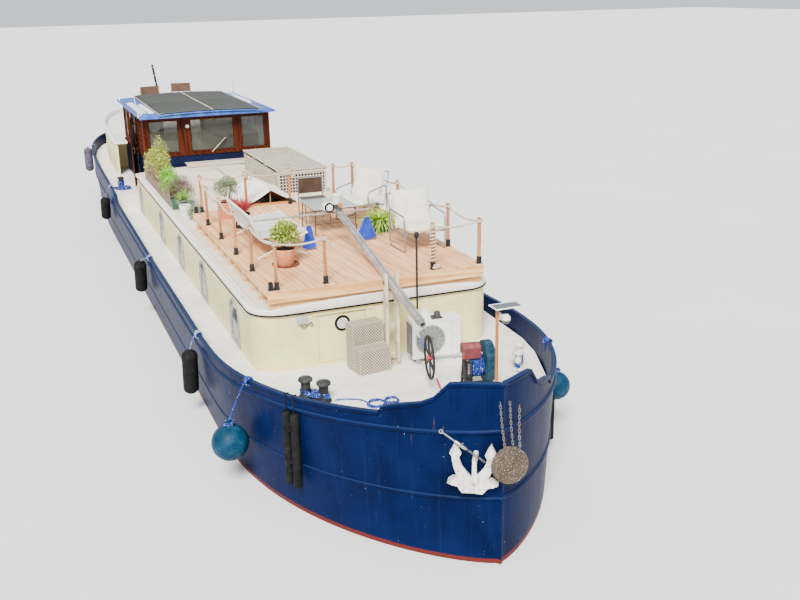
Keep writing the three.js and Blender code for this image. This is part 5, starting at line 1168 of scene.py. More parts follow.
# timber post with its white bracket, dome camera and small panel
domeAt = (0.51, 0.90, 0)
piece("cameraPost", block((0.379, 0.884, deckTop), (0.411, 0.916, 2.806)), postTimber,
      stands=["camera_post"], bevel=0.004, segments=2)
piece("cameraBracket", joined(block((0.418, 0.884, 2.700), (0.520, 0.916, 2.722)),
                              block((0.422, 0.876, 2.66), (0.430, 0.924, 2.76)),
                              turned([(0.036, 2.690), (0.036, 2.715)], domeAt, sides=24)), whitePlastic,
      bevel=0.003)
domeT = np.linspace(0, np.pi / 2, 10)
piece("cameraHood", turned([(0.050, 2.690), (0.056, 2.682), (0.056, 2.655), (0.0545, 2.650)], domeAt, sides=32),
      whitePlastic)
piece("cameraDome", turned(np.column_stack([0.052 * np.cos(domeT), 2.651 - 0.052 * np.sin(domeT)])[::-1], domeAt,
                           sides=32), glassDark)
piece("panelFrame", joined(*(block(a, b) for a, b in (((0.332, 0.802, 2.815), (0.698, 0.816, 2.829)),
                                                      ((0.332, 0.994, 2.815), (0.698, 1.008, 2.829)),
                                                      ((0.332, 0.816, 2.815), (0.346, 0.994, 2.829)),
                                                      ((0.684, 0.816, 2.815), (0.698, 0.994, 2.829)),
                                                      ((0.366, 0.872, 2.80), (0.424, 0.928, 2.817))))),
      whitePlastic, bevel=0.002)
cellX, cellY = np.meshgrid(np.linspace(0.346, 0.684, 9)[:-1] + 0.021, np.linspace(0.816, 0.994, 5)[:-1] + 0.0222)
piece("panelCells", joined(block((0.344, 0.814, 2.817), (0.686, 0.996, 2.8235)),
                           blocks(np.column_stack([cellX.ravel(), cellY.ravel(), np.full(cellX.size, 2.8238)]),
                                  (0.0395, 0.042, 0.0012))), glassDark, bevel=0.0008)
print("foredeck gear")

# anchor in its stow: two barbed arms, the crown, the shank that goes into the hawse hole, and its bottle-screw line
anchor = {"at": (-0.461, 0.136, 0.0), "turn": -0.588, "mirror": 0.312}
arm = np.array([(-0.048, 1.590), (-0.085, 1.515), (-0.113, 1.449), (-0.090, 1.426), (-0.080, 1.36),
                (-0.067, 1.295), (-0.048, 1.23), (-0.022, 1.174),
                (-0.007, 1.104), (0.156, 1.100), (0.156, 1.150), (0.122, 1.187), (0.078, 1.235), (0.038, 1.288),
                (0.012, 1.345), (-0.003, 1.401), (0.023, 1.452),
                (-0.008, 1.525)])


def armSolid(outline, half):
    # outline with a lens section: the face's middle line keeps the full half thickness, its edge keeps 0.45 of it
    o = np.asarray(outline, float)
    c = np.column_stack([np.interp(o[:, 1], [1.10, 1.18, 1.29, 1.42, 1.59], [0.075, 0.05, -0.015, -0.045, -0.048]),
                         o[:, 1]])
    inner = c + (o - c) * 0.35
    rings = [(c, -half), (inner, -half), (o, -half * 0.45), (o, half * 0.45), (inner, half), (c, half)]
    points = np.concatenate([np.column_stack([r[:, 0], np.full(len(o), y), r[:, 1]]) for r, y in rings])
    return points, gridQuads(len(rings), len(o), closeCols=True)


def inAnchor(shape):
    # from the anchor's own axes to the boat's
    return moved(shape, anchor["at"], anchor["turn"])


left = armSolid(arm, 0.040)
right = (left[0] * [-1, 1, 1] + [anchor["mirror"], 0, 0], left[1][:, ::-1])
crown = slab([(-0.132, 1.105), (-0.085, 1.138), (-0.029, 1.152), (0.09, 1.135), (0.156, 1.128), (0.222, 1.135),
              (0.341, 1.152), (0.397, 1.138), (0.444, 1.110),
              (0.39, 1.086), (0.330, 1.070), (0.300, 1.03), (0.270, 0.995), (0.165, 1.002), (0.147, 1.002),
              (0.043, 0.995), (0.013, 1.03), (-0.010, 1.070), (-0.08, 1.084)],
             (-0.07, 0.07), "y")
shank = slab([(0.148, 1.09), (0.204, 1.09), (0.199, 1.39), (0.190, 1.405), (0.164, 1.405), (0.155, 1.39)],
             (-0.07, -0.012), "y")
piece("anchorBody", inAnchor(joined(left, right, crown, shank)), chippedWhite,
      stands=["anchor"], bevel=0.006, segments=2)
piece("anchorShankEnd", inAnchor(bar((0.177, -0.035, 1.385), (0.177, 0.21, 1.462), 0.030, 16)), chippedWhite)
hawse = turned([(0.055, 0), (0.075, 0.004), (0.078, 0.018), (0.066, 0.026), (0.055, 0.024)], (0, 0, 0), "y", 32)
hawseAt = (0.177, 0.118, 1.437)
piece("hawseRim", inAnchor(moved((hawse[0] * [1, -1, 1.35], hawse[1][:, ::-1]), hawseAt)), hullPaint)
a, b = np.array([-0.185, -0.062, 1.727]), np.array([0.290, -0.052, 1.395])
unit = unitOf(b - a)
piece("anchorScrew", inAnchor(joined(bar(a, a + unit * 0.20, 0.010),
                                     barrel(a + unit * 0.17, a + unit * 0.34,
                                            [(0.012, 0), (0.020, 0.012), (0.021, 0.15), (0.012, 0.165)], 12),
                                     bar(a + unit * 0.255 - [0.03, 0, 0.03], a + unit * 0.255 + [0.03, 0, 0.03],
                                         0.006, 8),
                                     loop(0.022, 0.006, a - unit * 0.012, "y", 20, 8),
                                     bar(a + [0, -0.006, 0], a + [0, 0.115, 0], 0.010))), steelGrey)
piece("anchorChain", inAnchor(chainLinks([a + unit * 0.35, b], 0.030, 0.0040)), chainMetal)

# rope bow fender: a flat spiral in front, turns round its edge, a backing pad, and three chains
bowMat = {"centre": (0.01, 1.35), "front": -0.232, "turns": 8.2, "pitch": 0.0238, "rope": 0.0122}
mx, mz = bowMat["centre"]
t = np.linspace(0, 2 * np.pi * bowMat["turns"], 640)
r = 0.010 + bowMat["pitch"] * t / (2 * np.pi)
spiral = np.column_stack([mx + r * np.cos(t), bowMat["front"] + 0.010 * (r / 0.2) ** 2, mz + r * np.sin(t)])
edge = [wound((mx, y, mz), (mx, y + 0.0001, mz), 0.186, 0.0125, 1.0) for y in (-0.204, -0.180, -0.156, -0.132)]
backSpiral = np.column_stack([mx + r * np.cos(t), np.full_like(r, -0.128), mz + r * np.sin(t)])[::2]
piece("bowFenderRope", joined(laidRope(spiral, bowMat["rope"], 0.045, 12, 4),
                              *(laidRope(p, 0.0128, 0.045, 12, 4) for p in edge),
                              laidRope(backSpiral, 0.0118, 0.045, 8, 4)),
      matRope, stands=["rope_fender"])
piece("bowFenderPad", joined(turned([(0.18, -0.222), (0.188, -0.20), (0.188, -0.14), (0.18, -0.125)], (mx, 0, mz),
                                    "y", 40),
                             turned([(0.078, -0.13), (0.078, 0.02)], (mx, 0, mz), "y", 24)), soil)
chains = [[(-0.045, -0.165, 1.545), (-0.052, -0.10, 1.80), (-0.058, -0.055, 2.075)],
          [(0.055, -0.165, 1.555), (0.060, -0.10, 1.78), (0.062, -0.055, 2.06)],
          [(0.150, -0.150, 1.50), (0.19, -0.05, 1.70), (0.235, 0.035, 1.95)]]
piece("bowFenderChains", joined(*(chainLinks(curveThrough(c, 5), 0.036, 0.0042) for c in chains)), chainMetal)
print("anchor and bow fender")

# fenders on their lanyards, each over the gunwale and made off inside
fenders = {
    "fender_starboard_1": {"a": (-2.53, 5.35, 1.13), "b": (-2.51, 5.6, 0.48), "rail": 5.25, "r": 0.12},
    "fender_starboard_2": {"a": (-2.535, 10.6, 1.22), "b": (-2.52, 10.9, 0.655), "rail": 10.2, "r": 0.12},
    "fender_starboard_3": {"a": (-2.535, 16.9, 1.315), "b": (-2.525, 17.2, 0.85), "rail": 16.5, "r": 0.12},
    "fender_starboard_4": {"a": (-2.385, 22.76, 1.77), "b": (-2.385, 22.76, 1.19), "rail": 22.7, "r": 0.125},
}
sock = weathered("fenderSock", (0.085, 0.075, 0.10), (0.05, 0.045, 0.065), (0.13, 0.12, 0.15), (0.8, 0.95), 0.3,
                 14.0, 0.0012)


def overRail(top, rail, sign):
    # from the fender's eye to the gunwale, over it, and down its inside, with a few turns where it is made off
    x, y, z = sideLine(rail, sheer(rail), 0.0)
    edge = np.array([abs(x) * sign, y, z])
    out = np.array([sign, 0, 0])
    path = np.array([top, (np.array(top) + edge + out * 0.035) / 2 + out * 0.004,
                     edge + out * 0.036 + [0, 0, -0.012], edge + out * 0.026 + [0, 0, 0.010],
                     edge - out * 0.02 + [0, 0, 0.014], edge - out * 0.058 + [0, 0, 0.006],
                     edge - out * 0.063 + [0, 0, -0.08], edge - out * 0.064 + [0, 0, -0.17]])
    return curveThrough(path, 6), edge


def knotTurns(edge, sign):
    # half a dozen turns bunched round the gunwale bead
    t = np.linspace(0, 2 * np.pi * 5, 110)
    centre = edge + np.array([-sign * 0.014, 0, -0.030])
    return np.column_stack([centre[0] + 0.050 * np.cos(t),
                            centre[1] - 0.055 + 0.022 * t / (2 * np.pi) + 0.006 * np.sin(3.3 * t),
                            centre[2] + (0.052 + 0.006 * np.sin(2.1 * t)) * np.sin(t)])


for name, f in fenders.items():
    a, b = np.array(f["a"]), np.array(f["b"])
    unit, longR, long = unitOf(a - b), f["r"], float(np.linalg.norm(a - b))
    tag = tagOf(name)
    ends = [(0.035, -0.072), (0.060, -0.070), (0.072, -0.055), (longR * 0.83, -0.030), (longR * 0.96, -0.008),
            (longR, 0.012), (longR * 1.012, long * 0.5), (longR, long - 0.012),
            (longR * 0.96, long + 0.008), (longR * 0.8, long + 0.034), (0.062, long + 0.058),
            (0.052, long + 0.070), (0.028, long + 0.074)]
    body = barrel(b, a, ends, 32)
    skin = sock if name.endswith("4") else blackRubber
    piece(tag, body, skin, stands=[name])
    eye = a + unit * 0.088
    path, edge = overRail(eye, f["rail"], -1)
    ribs = joined(*(tube([b + unit * (h - 0.006), b + unit * h, b + unit * (h + 0.006)],
                         [longR, longR * 1.022, longR], 32) for h in (0.05, long - 0.05)))
    q = fullTurn(20)
    eyeRing = tubeRing(eye + np.column_stack([0 * q, np.cos(q) * 0.022, np.sin(q) * 0.022]), 0.008)
    piece(tag + "Eyes", joined(ribs, eyeRing),
          blackRubber)
    piece(tag + "Lanyard", joined(laidRope(path, 0.009, 0.06, 8), laidRope(knotTurns(edge, -1), 0.0088, 0.06, 8)),
          paleRope)


def ballProfile(r):
    # sphere with a waisted neck and a rope eye boss on top
    b = np.linspace(-np.pi / 2 + 0.06, np.pi / 2 - 0.32, 26)
    neck = [(r * 0.27, r * 0.985), (r * 0.24, r * 1.03), (r * 0.225, r * 1.12), (r * 0.20, r * 1.2),
            (r * 0.12, r * 1.235)]
    return np.concatenate([np.column_stack([r * np.cos(b), r * np.sin(b)]), neck])


balls = {"ball_fender_starboard": {"c": (-2.455, 3.03, 0.69), "r": 0.25, "rail": 2.9, "sign": -1},
         "fender_port": {"c": (2.29, 2.64, 0.83), "r": 0.21, "rail": 2.5, "sign": 1}}
for name, f in balls.items():
    c = np.array(f["c"])
    piece(tagOf(name), turned(ballProfile(f["r"]), c, sides=48), tealVinyl, stands=[name])
    eye = c + [0, 0, f["r"] * 1.22]
    path, edge = overRail(eye, f["rail"], f["sign"])
    collar = wound(c + [0, 0, f["r"] * 1.05], c + [0, 0, f["r"] * 1.2], f["r"] * 0.225, 0.009, 3)
    piece(tagOf(name) + "Lanyard", joined(laidRope(path, 0.0108, 0.07, 8),
                                          laidRope(knotTurns(edge, f["sign"]), 0.0100, 0.07, 8),
                                          laidRope(collar, 0.009, 0.06, 8)),
          blueRope)
tubeP = (1.99, 2.29)
piece("portTube", barrel((*tubeP, 0.19), (*tubeP, 0.85), [(0.045, 0), (0.066, 0.006), (0.070, 0.02), (0.070, 0.64),
                                                          (0.066, 0.654), (0.045, 0.66)], 28), blackRubber)
piece("portTubeTie", laidRope(curveThrough([(1.99, 2.29, 0.845), (2.03, 2.36, 0.98), (2.14, 2.50, 1.08),
                                            (2.26, 2.62, 1.10)], 6), 0.010, 0.07, 8), blueRope)

# pair of black tubes against the starboard bow
pair = sideLine(np.array([1.955, 2.09]), 0.9, 0.084)
tubes = [barrel((x, y, 0.45), (x, y, 1.45), [(0.034, 0), (0.050, 0.004), (0.054, 0.014), (0.054, 0.31),
                                             (0.056, 0.32), (0.056, 0.34), (0.054, 0.35), (0.054, 0.74),
                                             (0.056, 0.75),
                                             (0.056, 0.77), (0.054, 0.78), (0.054, 0.985), (0.049, 0.996),
                                             (0.034, 1.0)], 28) for x, y, _ in pair]
railPoint = [sideLine(s, sheer(s), 0.03) for s in (1.96, 2.09)]
cables = [curveThrough([(x, y, 1.43), (*(np.array([x, y]) * 0.5 + p[:2] * 0.5), 1.54), p + [0, 0, -0.01],
                        p + [0, 0, 0.018], sideLine(s, sheer(s), -0.03) + [0, 0, 0.016]], 6)
          for (x, y, _), p, s in zip(pair, railPoint, (1.96, 2.09))]
piece("tubeFenders", joined(*tubes), blackRubber, stands=["tube_fenders"])
lash = [wound((*pair[:, :2].mean(0), h), (*pair[:, :2].mean(0), h + 0.05), 0.062, 0.006, 3) for h in (0.78, 1.22)]
stretch = unitOf(pair[1, :2] - pair[0, :2])
for w in lash:
    # the round winding is drawn out along the pair into an oval
    along = (w[:, :2] - pair[:, :2].mean(0)) @ stretch
    w[:, :2] += np.outer(along * 1.02, stretch)
piece("tubeCables", joined(*(tube(c, 0.008, 8) for c in cables), *(tube(w, 0.0055, 6) for w in lash)), blackRubber)
print("fenders")


# sun deck on the cabin roof
sunDeck = {"half": 1.65, "y": (3.725, 9.20), "z": 2.477, "boards": 23, "gap": 0.0055, "thick": 0.0265,
           "post": 0.0225, "rope": 0.0148}
fasciaWood = woodFinish("fasciaWood", (0.86, 0.53, 0.24), (0.78, 0.43, 0.17), (0.60, 0.27, 0.09), "x", 4, 45, 0.62,
                        greying=0.04)
sideWood = woodFinish("sideWood", (0.86, 0.53, 0.24), (0.78, 0.43, 0.17), (0.60, 0.27, 0.09), "y", 4, 45, 0.62,
                      greying=0.04)
platTop = sunDeck["z"] + 0.0003
rng = np.random.default_rng(7)


def shell(rings):
    # rings of equal count joined into one closed skin, each end drawn in to its middle
    rings = np.asarray(rings, float)
    close = lambda r: np.repeat(r.mean(0)[None], len(r), 0)[None]
    return skinOf(np.concatenate([close(rings[0]), rings, close(rings[-1])]))


roofShape = {"edge": 2.17, "camber": 0.08, "half": 1.865}


def roofLine(x):
    # height of the cabin roof: edge + camber (1 - (x / half)^2)
    return roofShape["edge"] + roofShape["camber"] * (1 - (np.asarray(x, float) / roofShape["half"]) ** 2)


pitch = 2 * sunDeck["half"] / sunDeck["boards"]
joistY = 3.795 + 0.505 * np.arange(11) + 0.025
boardX = -sunDeck["half"] + pitch * (np.arange(sunDeck["boards"]) + 0.5)
cutY = joistY[rng.integers(3, 8, sunDeck["boards"])]
zMid = sunDeck["z"] - sunDeck["thick"] / 2
near = np.column_stack([boardX, (sunDeck["y"][0] + cutY - 0.002) / 2, np.full(len(boardX), zMid)])
far = np.column_stack([boardX, (cutY + 0.002 + sunDeck["y"][1]) / 2, np.full(len(boardX), zMid)])
wide = np.full(len(boardX), pitch - sunDeck["gap"])
thick = np.full(len(boardX), sunDeck["thick"])
piece("deckBoards", joined(blocks(near, np.column_stack([wide, cutY - 0.002 - sunDeck["y"][0], thick])),
                           blocks(far, np.column_stack([wide, sunDeck["y"][1] - cutY - 0.002, thick]))),
      boardTimber,
      stands=["platform"], bevel=0.0025, segments=2)
screwX, screwY = np.meshgrid(boardX, joistY)
screws = np.concatenate([np.column_stack([(screwX + s * pitch * 0.31).ravel(), screwY.ravel(),
                                          np.full(screwX.size, sunDeck["z"] - 0.0004)]) for s in (-1, 1)])
piece("deckScrews", copies(turned([(0.0042, -0.001), (0.0042, 0.0006), (0.0025, 0.0008)], sides=6), screws),
      rustySteel)
joistX = np.linspace(-1.636, 1.636, 19)
joists = [shell(np.stack([np.column_stack([joistX, np.full(19, y + dy), z]) for dy, z in
                          ((-0.025, np.full(19, 2.4495)), (0.025, np.full(19, 2.4495)),
                           (0.025, roofLine(joistX) + 0.001), (-0.025, roofLine(joistX) + 0.001))], 1))
          for y in joistY]
piece("deckJoists", joined(*joists), fasciaWood, smooth=False)
piece("deckFasciaEnds", joined(block((-1.6455, 3.7275, 2.293), (1.6455, 3.769, 2.4500)),
                               block((-1.6455, 9.156, 2.293), (1.6455, 9.1975, 2.4500))),
      fasciaWood, bevel=0.003, segments=2)
piece("deckFasciaSides", joined(block((-1.6475, 3.770, 2.363), (-1.606, 9.155, 2.4500)),
                                block((1.606, 3.770, 2.363), (1.6475, 9.155, 2.4500))),
      sideWood, bevel=0.003, segments=2)
under = np.stack([np.column_stack([joistX, np.full(19, y), np.full(19, z)]) for y,
                  z in ((3.77, 2.4485), (9.155, 2.4485), (9.155, 2.4470), (3.77, 2.4470))], 1)
piece("deckShadow", shell(under), blackRubber, smooth=False)

# rail posts in black sockets with a rope from head to head
rails = {"rail_starboard": [(-0.795, 3.79), (-1.505, 3.79), (-1.59, 4.85), (-1.59, 5.88), (-1.59, 6.96),
                            (-1.59, 8.05), (-1.48, 9.135), (-0.63, 9.135), (0.22, 9.135)],
         "rail_port": [(0.85, 3.79), (1.60, 3.79), (1.605, 4.90), (1.605, 5.96), (1.605, 7.02), (1.605, 8.08),
                       (1.50, 9.135), (1.105, 9.135)]}
ropeZ, postTop = sunDeck["z"] + 0.650, sunDeck["z"] + 0.70
for name, at in rails.items():
    xy = np.array(at)
    tag = tagOf(name)
    mid = np.column_stack([xy, np.full(len(xy), (sunDeck["z"] + 0.004 + postTop) / 2)])
    piece(tag + "Posts", blocks(mid, (2 * sunDeck["post"], 2 * sunDeck["post"], postTop - sunDeck["z"] - 0.004)),
          postTimber, stands=[name],
          bevel=0.006, segments=3)
    bare = np.array([(-1.59, 3.79), (-1.59, 9.13)]) if name == "rail_starboard" else np.zeros((0, 2))
    low = np.concatenate([xy, bare])
    foot = np.column_stack([low, np.full(len(low), platTop + 0.057)])
    side = sunDeck["post"] + 0.0045
    walls = [blocks(foot + np.array([dx, dy, 0]), (sx, sy, 0.108)) for dx, dy, sx, sy in
             ((side, 0, 0.004, 2 * side + 0.004), (-side, 0, 0.004, 2 * side + 0.004),
              (0, side, 2 * side - 0.004, 0.004), (0, -side, 2 * side - 0.004, 0.004))]
    flange = blocks(np.column_stack([low, np.full(len(low), platTop + 0.0035)]), (0.084, 0.084, 0.006))
    corner = np.array([(a, b) for a in (-0.033, 0.033) for b in (-0.033, 0.033)])
    boltAt = (low[:, None] + corner[None]).reshape(-1, 2)
    bolts = copies(turned([(0.006, 0), (0.006, 0.004), (0.003, 0.006)], sides=8),
                   np.column_stack([boltAt, np.full(len(boltAt), platTop + 0.006)]))
    piece(tag + "Sockets", joined(*walls, flange, bolts), blackPaint, bevel=0.0012)
    line = [sagging((*a, ropeZ), (*b, ropeZ), 0.075 * min(1, math.dist(a, b)) * (0.85 + 0.3 * rng.random()),
                    15)[:-1] for a, b in zip(at[:-1], at[1:])]
    line = np.concatenate(line + [np.array([(*at[-1], ropeZ)])])
    beyond = unitOf(line[1] - line[0]) * 0.05
    line = np.concatenate([[line[0] - beyond * [1, 1, 0.3]], line, [line[-1] + unitOf(line[-1] - line[-2]) * 0.05]])
    turns = [wound((x, y, ropeZ - 0.016), (x, y, ropeZ + 0.020), sunDeck["post"] * 1.28, 0.0125, 1.6, k * 1.7)
             for k, (x, y) in enumerate(at)]
    piece(tag + "Rope", joined(laidRope(line, sunDeck["rope"], 0.105, 12),
                               *(laidRope(w, 0.0125, 0.09, 8) for w in turns)), creamRope)

# the port front post is wound from head to foot, and the rest of its rope lies bunched at the foot
spiral = wound((0.85, 3.79, 3.10), (0.85, 3.79, 2.60), sunDeck["post"] * 1.30, 0.0125, 9.5)
t = np.linspace(0, 2 * np.pi * 3.2, 70)
bunch = np.column_stack([0.905 + (0.060 + 0.010 * np.sin(2.3 * t)) * np.cos(t),
                         3.775 + (0.040 + 0.007 * np.cos(1.7 * t)) * np.sin(t),
                         platTop + 0.014 + 0.020 * t / (2 * np.pi)])
heads = [wound((x, 9.135, 3.05), (x, 9.135, 3.17), 0.032, 0.0135, 4.2, 1.0 + x) for x in (-0.63, 0.22)]
loops = []
for x in (-0.63, 0.22):
    q = np.linspace(0, 2 * np.pi, 28)
    for k in range(3):
        loops.append(np.column_stack([x + 0.055 + 0.012 * k + 0.045 * np.cos(q),
                                      9.135 - 0.035 + 0.018 * k + 0.01 * np.sin(2 * q), 3.085 + 0.075 * np.sin(q)]))
knotS = np.column_stack([-0.795 + 0.034 * np.cos(t), 3.79 + 0.034 * np.sin(t),
                         ropeZ - 0.028 + 0.018 * t / (2 * np.pi)])
tail = curveThrough([(-0.80, 3.752, ropeZ - 0.01), (-0.76, 3.742, ropeZ - 0.035), (-0.715, 3.745, ropeZ - 0.075),
                     (-0.675, 3.75, ropeZ - 0.105)], 5)
piece("railRopeBunches", joined(*(laidRope(p, 0.0125, 0.09, 8) for p in (spiral, bunch, *heads, *loops, knotS,
                                      tail))), creamRope)
piece("railRopeWhipping", tube([tail[-3], tail[-2], tail[-1], tail[-1] + (tail[-1] - tail[-3]) * 0.8],
                               [0.0135, 0.0145, 0.0145, 0.012], 12), whitePlastic)
print("sun deck and rails")


# plants: every leaf is a small closed lens, bent along its length
def leafForm(length, width, thick, droop, rings=5, twist=0.0):
    # middle line (droop t^2, 0, t) length; half width = width/2 sin(pi t^0.8); four points a ring
    t = np.linspace(0.02, 0.98, rings)
    line = np.column_stack([droop * t ** 2 * length, 0 * t, length * (t - 0.25 * droop * t ** 2)])
    w = width / 2 * np.sin(np.pi * t ** 0.8)
    a = twist * t
    side = np.column_stack([-np.sin(a), np.cos(a), 0 * t])
    up = np.column_stack([np.cos(a), np.sin(a), 0 * t])
    ring = np.stack([line + side * w[:, None] + up * w[:, None] * 0.25, line + up * thick / 2,
                     line - side * w[:, None] + up * w[:, None] * 0.25, line - up * thick / 2], 1)
    ends = np.repeat(np.array([[0, 0, 0], line[-1] + [0.02 * length * droop, 0, 0.02 * length]])[:, None], 4, 1)
    return skinOf(np.concatenate([ends[:1], ring, ends[1:]]))


def aimed(direction, seed):
    # rotation matrices whose z axis is each direction, with the bend falling outwards and down
    z = direction / np.linalg.norm(direction, axis=1, keepdims=True)
    down = np.array([0, 0, -1.0]) + 0.35 * np.random.default_rng(seed).normal(size=z.shape)
    x = down - (down * z).sum(1, keepdims=True) * z
    x /= np.maximum(np.linalg.norm(x, axis=1, keepdims=True), 1e-6)
    return np.stack([x, np.cross(z, x), z], -1)


def bushLeaves(centre, radii, count, form, seed, hollow=0.45, up=0.35, size=(0.7, 1.2), lump=0.12):
    # leaves on shells of an ellipsoid whose radius wobbles with direction, pointing out and up
    g = np.random.default_rng(seed)
    v = g.normal(size=(count, 3))
    v /= np.linalg.norm(v, axis=1, keepdims=True)
    v[:, 2] = np.where(v[:, 2] < -0.55, -v[:, 2] * 0.6, v[:, 2])
    wobble = 1 + lump * np.sin(5 * v[:, 0] + seed) * np.cos(4 * v[:, 1] - seed) + lump * 0.6 * np.sin(9 * v[:,
        2] + 2 * v[:, 0])
    depth = hollow + (1 - hollow) * g.random(count) ** 0.5
    places = np.asarray(centre) + v * np.asarray(radii) * (depth * wobble)[:, None] * 0.94
    aim = v + np.array([0, 0, up]) + 0.55 * g.normal(size=(count, 3))
    sizes = g.uniform(*size, (count, 1)) * np.ones(3)
    return copies(form, places, aimed(aim, seed + 1), sizes)


def bladeTuft(centre, count, length, width, spread, droop, seed, rootR):
    # long blades from one root: lean = spread sqrt(random), bend grows with the lean
    g = np.random.default_rng(seed)
    parts = []
    for k in range(6):
        n = count // 6
        form = leafForm(length * (0.75 + 0.08 * k), width, width * 0.12, droop * (0.55 + 0.16 * k), 7, 0.3 * k)
        a = g.uniform(0, 2 * np.pi, n)
        lean = spread * np.sqrt(g.random(n)) * (0.45 + 0.11 * k)
        aim = np.column_stack([np.cos(a) * np.sin(lean), np.sin(a) * np.sin(lean), np.cos(lean)])
        places = np.asarray(centre) + np.column_stack([np.cos(a), np.sin(a), 0 * a]) * rootR * g.random((n, 1))
        parts.append(copies(form, places, aimed(aim, seed + k), g.uniform(0.85, 1.1, (n, 1)) * np.ones(3)))
    return joined(*parts)


def stemsOf(centre, count, height, spread, radius, seed, bend=0.3):
    # thin stems that rise from one place and bend outwards: (spread s, height h) at random in every direction
    g = np.random.default_rng(seed)
    parts = []
    for a, h, s in zip(g.uniform(0, 2 * np.pi, count), g.uniform(0.7, 1, count) * height,
                       g.uniform(0.4, 1, count) * spread):
        u = np.array([math.cos(a), math.sin(a), 0])
        parts.append(tube(curveThrough([np.array(centre) + u * 0.01,
                                        np.array(centre) + u * s * bend + [0, 0, h * 0.5],
                                        np.array(centre) + u * s + [0, 0, h]], 4),
                          np.linspace(radius, radius * 0.4, 9), 6))
    return joined(*parts)


def potBody(r0, r1, h, wall=0.014, lip=0.028):
    # flared pot with a thick rim band; the wall turns over and goes down inside to the soil
    return [(r0 * 0.96, 0.0), (r0, 0.006), (r0 + (r1 - r0) * 0.72, h - lip - 0.004), (r1 * 0.955, h - lip),
            (r1 * 0.995, h - lip + 0.005), (r1, h - 0.006), (r1 - 0.005, h),
            (r1 - wall, h - 0.002), (r1 - wall - 0.004, h - 0.035), (r1 - wall - 0.006, h - 0.036)]


def soilTop(r1, h):
    # (radius, height) of the soil, heaped a little towards the middle
    return [(r1 - 0.016, h - 0.048), (r1 - 0.019, h - 0.036), (r1 * 0.6, h - 0.026), (r1 * 0.2, h - 0.024)]


pots = {"bush_pot": {"at": (-1.05, 4.95), "r": (0.13, 0.165), "h": 0.26, "finish": terracotta,
                     "slot": "terracotta"},
        "grass_bowl": {"at": (1.01, 6.33), "r": (0.15, 0.21), "h": 0.21, "finish": greenGlaze, "slot": "green_pot"},
        "palm_pot": {"at": (-1.08, 7.62), "r": (0.12, 0.155), "h": 0.25, "finish": blackPaint,
                     "slot": "grey_plastic"},
        "shrub_pot": {"at": (-1.13, 8.48), "r": (0.15, 0.19), "h": 0.30, "finish": terracotta,
                      "slot": "terracotta"}}
for name, p in pots.items():
    saucer = 0.012 if name == "bush_pot" else 0
    c = (*p["at"], platTop + saucer)
    tag = tagOf(name)
    piece(tag, turned(potBody(*p["r"], p["h"] - saucer), c, sides=48), p["finish"], stands=[name])
    piece(tag + "Soil", turned(soilTop(p["r"][1], p["h"]), c, sides=32), soil)
brownGlaze = weathered("brownGlaze", (0.17, 0.055, 0.028), (0.11, 0.034, 0.018), (0.24, 0.09, 0.045), (0.35, 0.55),
                       0.35, 12.0, 0.0005)
piece("bushSaucer", turned([(0.186, 0), (0.193, 0.003), (0.208, 0.026), (0.206, 0.030), (0.198, 0.028),
                            (0.186, 0.010), (0.05, 0.009)], (*pots["bush_pot"]["at"], platTop), sides=48),
      brownGlaze)
c = np.array([*pots["bush_pot"]["at"], platTop])
piece("bushLeaves", bushLeaves(c + [0, 0, 0.465], (0.212, 0.212, 0.20), 2300,
                               leafForm(0.058, 0.027, 0.0016, 0.25, 4), 11, 0.30), leafVariegated)
piece("bushStems", stemsOf(c + [0, 0, 0.22], 14, 0.30, 0.12, 0.005, 3), soil)
c = np.array([*pots["grass_bowl"]["at"], platTop])
piece("bowlBlades", bladeTuft(c + [0, 0, 0.17], 210, 0.33, 0.021, 1.25, 1.05, 21, 0.10), leafBright)
c = np.array([*pots["palm_pot"]["at"], platTop])
piece("palmBlades", bladeTuft(c + [0, 0, 0.20], 90, 0.42, 0.017, 0.72, 0.28, 31, 0.03), leafRed)
c = np.array([*pots["shrub_pot"]["at"], platTop])
piece("shrubLeaves", bushLeaves(c + [0, 0, 0.53], (0.235, 0.235, 0.21), 1150,
                                leafForm(0.062, 0.015, 0.0014, 0.3, 4), 41, 0.25, 0.6), leafGrey)
piece("shrubStems", stemsOf(c + [0, 0, 0.26], 22, 0.40, 0.20, 0.0045, 5, 0.45), troughWood)
print("pots and plants on the sun deck")


# cushions: a crowned pad whose edges pull in between its corners
def pad(w, l, t, pull=0.045, crown=0.55, n=44, seed=0, crease=0.010):
    # x = w/2 u (1 - pull (1 - v^2)), y likewise, z = +-t/2 ((1 - u^6)(1 - v^6))^crown
    # with folds that run in from the corners
    a = np.sin(np.linspace(-np.pi / 2, np.pi / 2, n))
    u, v = a[:, None] + 0 * a[None], a[None] + 0 * a[:, None]
    x = w / 2 * u * (1 - pull * (1 - v ** 2))
    y = l / 2 * v * (1 - pull * (1 - u ** 2))
    z = t / 2 * np.clip((1 - u ** 6) * (1 - v ** 6), 0, 1) ** crown
    corner = (np.abs(u) * np.abs(v)) ** 3
    around = np.arctan2(1.08 - np.abs(v), 1.08 - np.abs(u))
    fold = crease * corner * np.sin(26 * around + seed) * (1 - np.abs(u) ** 12) * (1 - np.abs(v) ** 12)
    soft = 0.006 * np.sin(3.1 * u + 1.3 * seed) * np.cos(2.7 * v - seed) * (1 - u ** 4) * (1 - v ** 4)
    upper = np.stack([x, y, z + fold + soft], -1)
    lower = np.stack([x, y, -z - 0.6 * fold], -1)[:, ::-1]
    q = gridQuads(n, n)
    points = np.concatenate([upper.reshape(-1, 3), lower.reshape(-1, 3)])
    return points, np.concatenate([q, q + n * n])


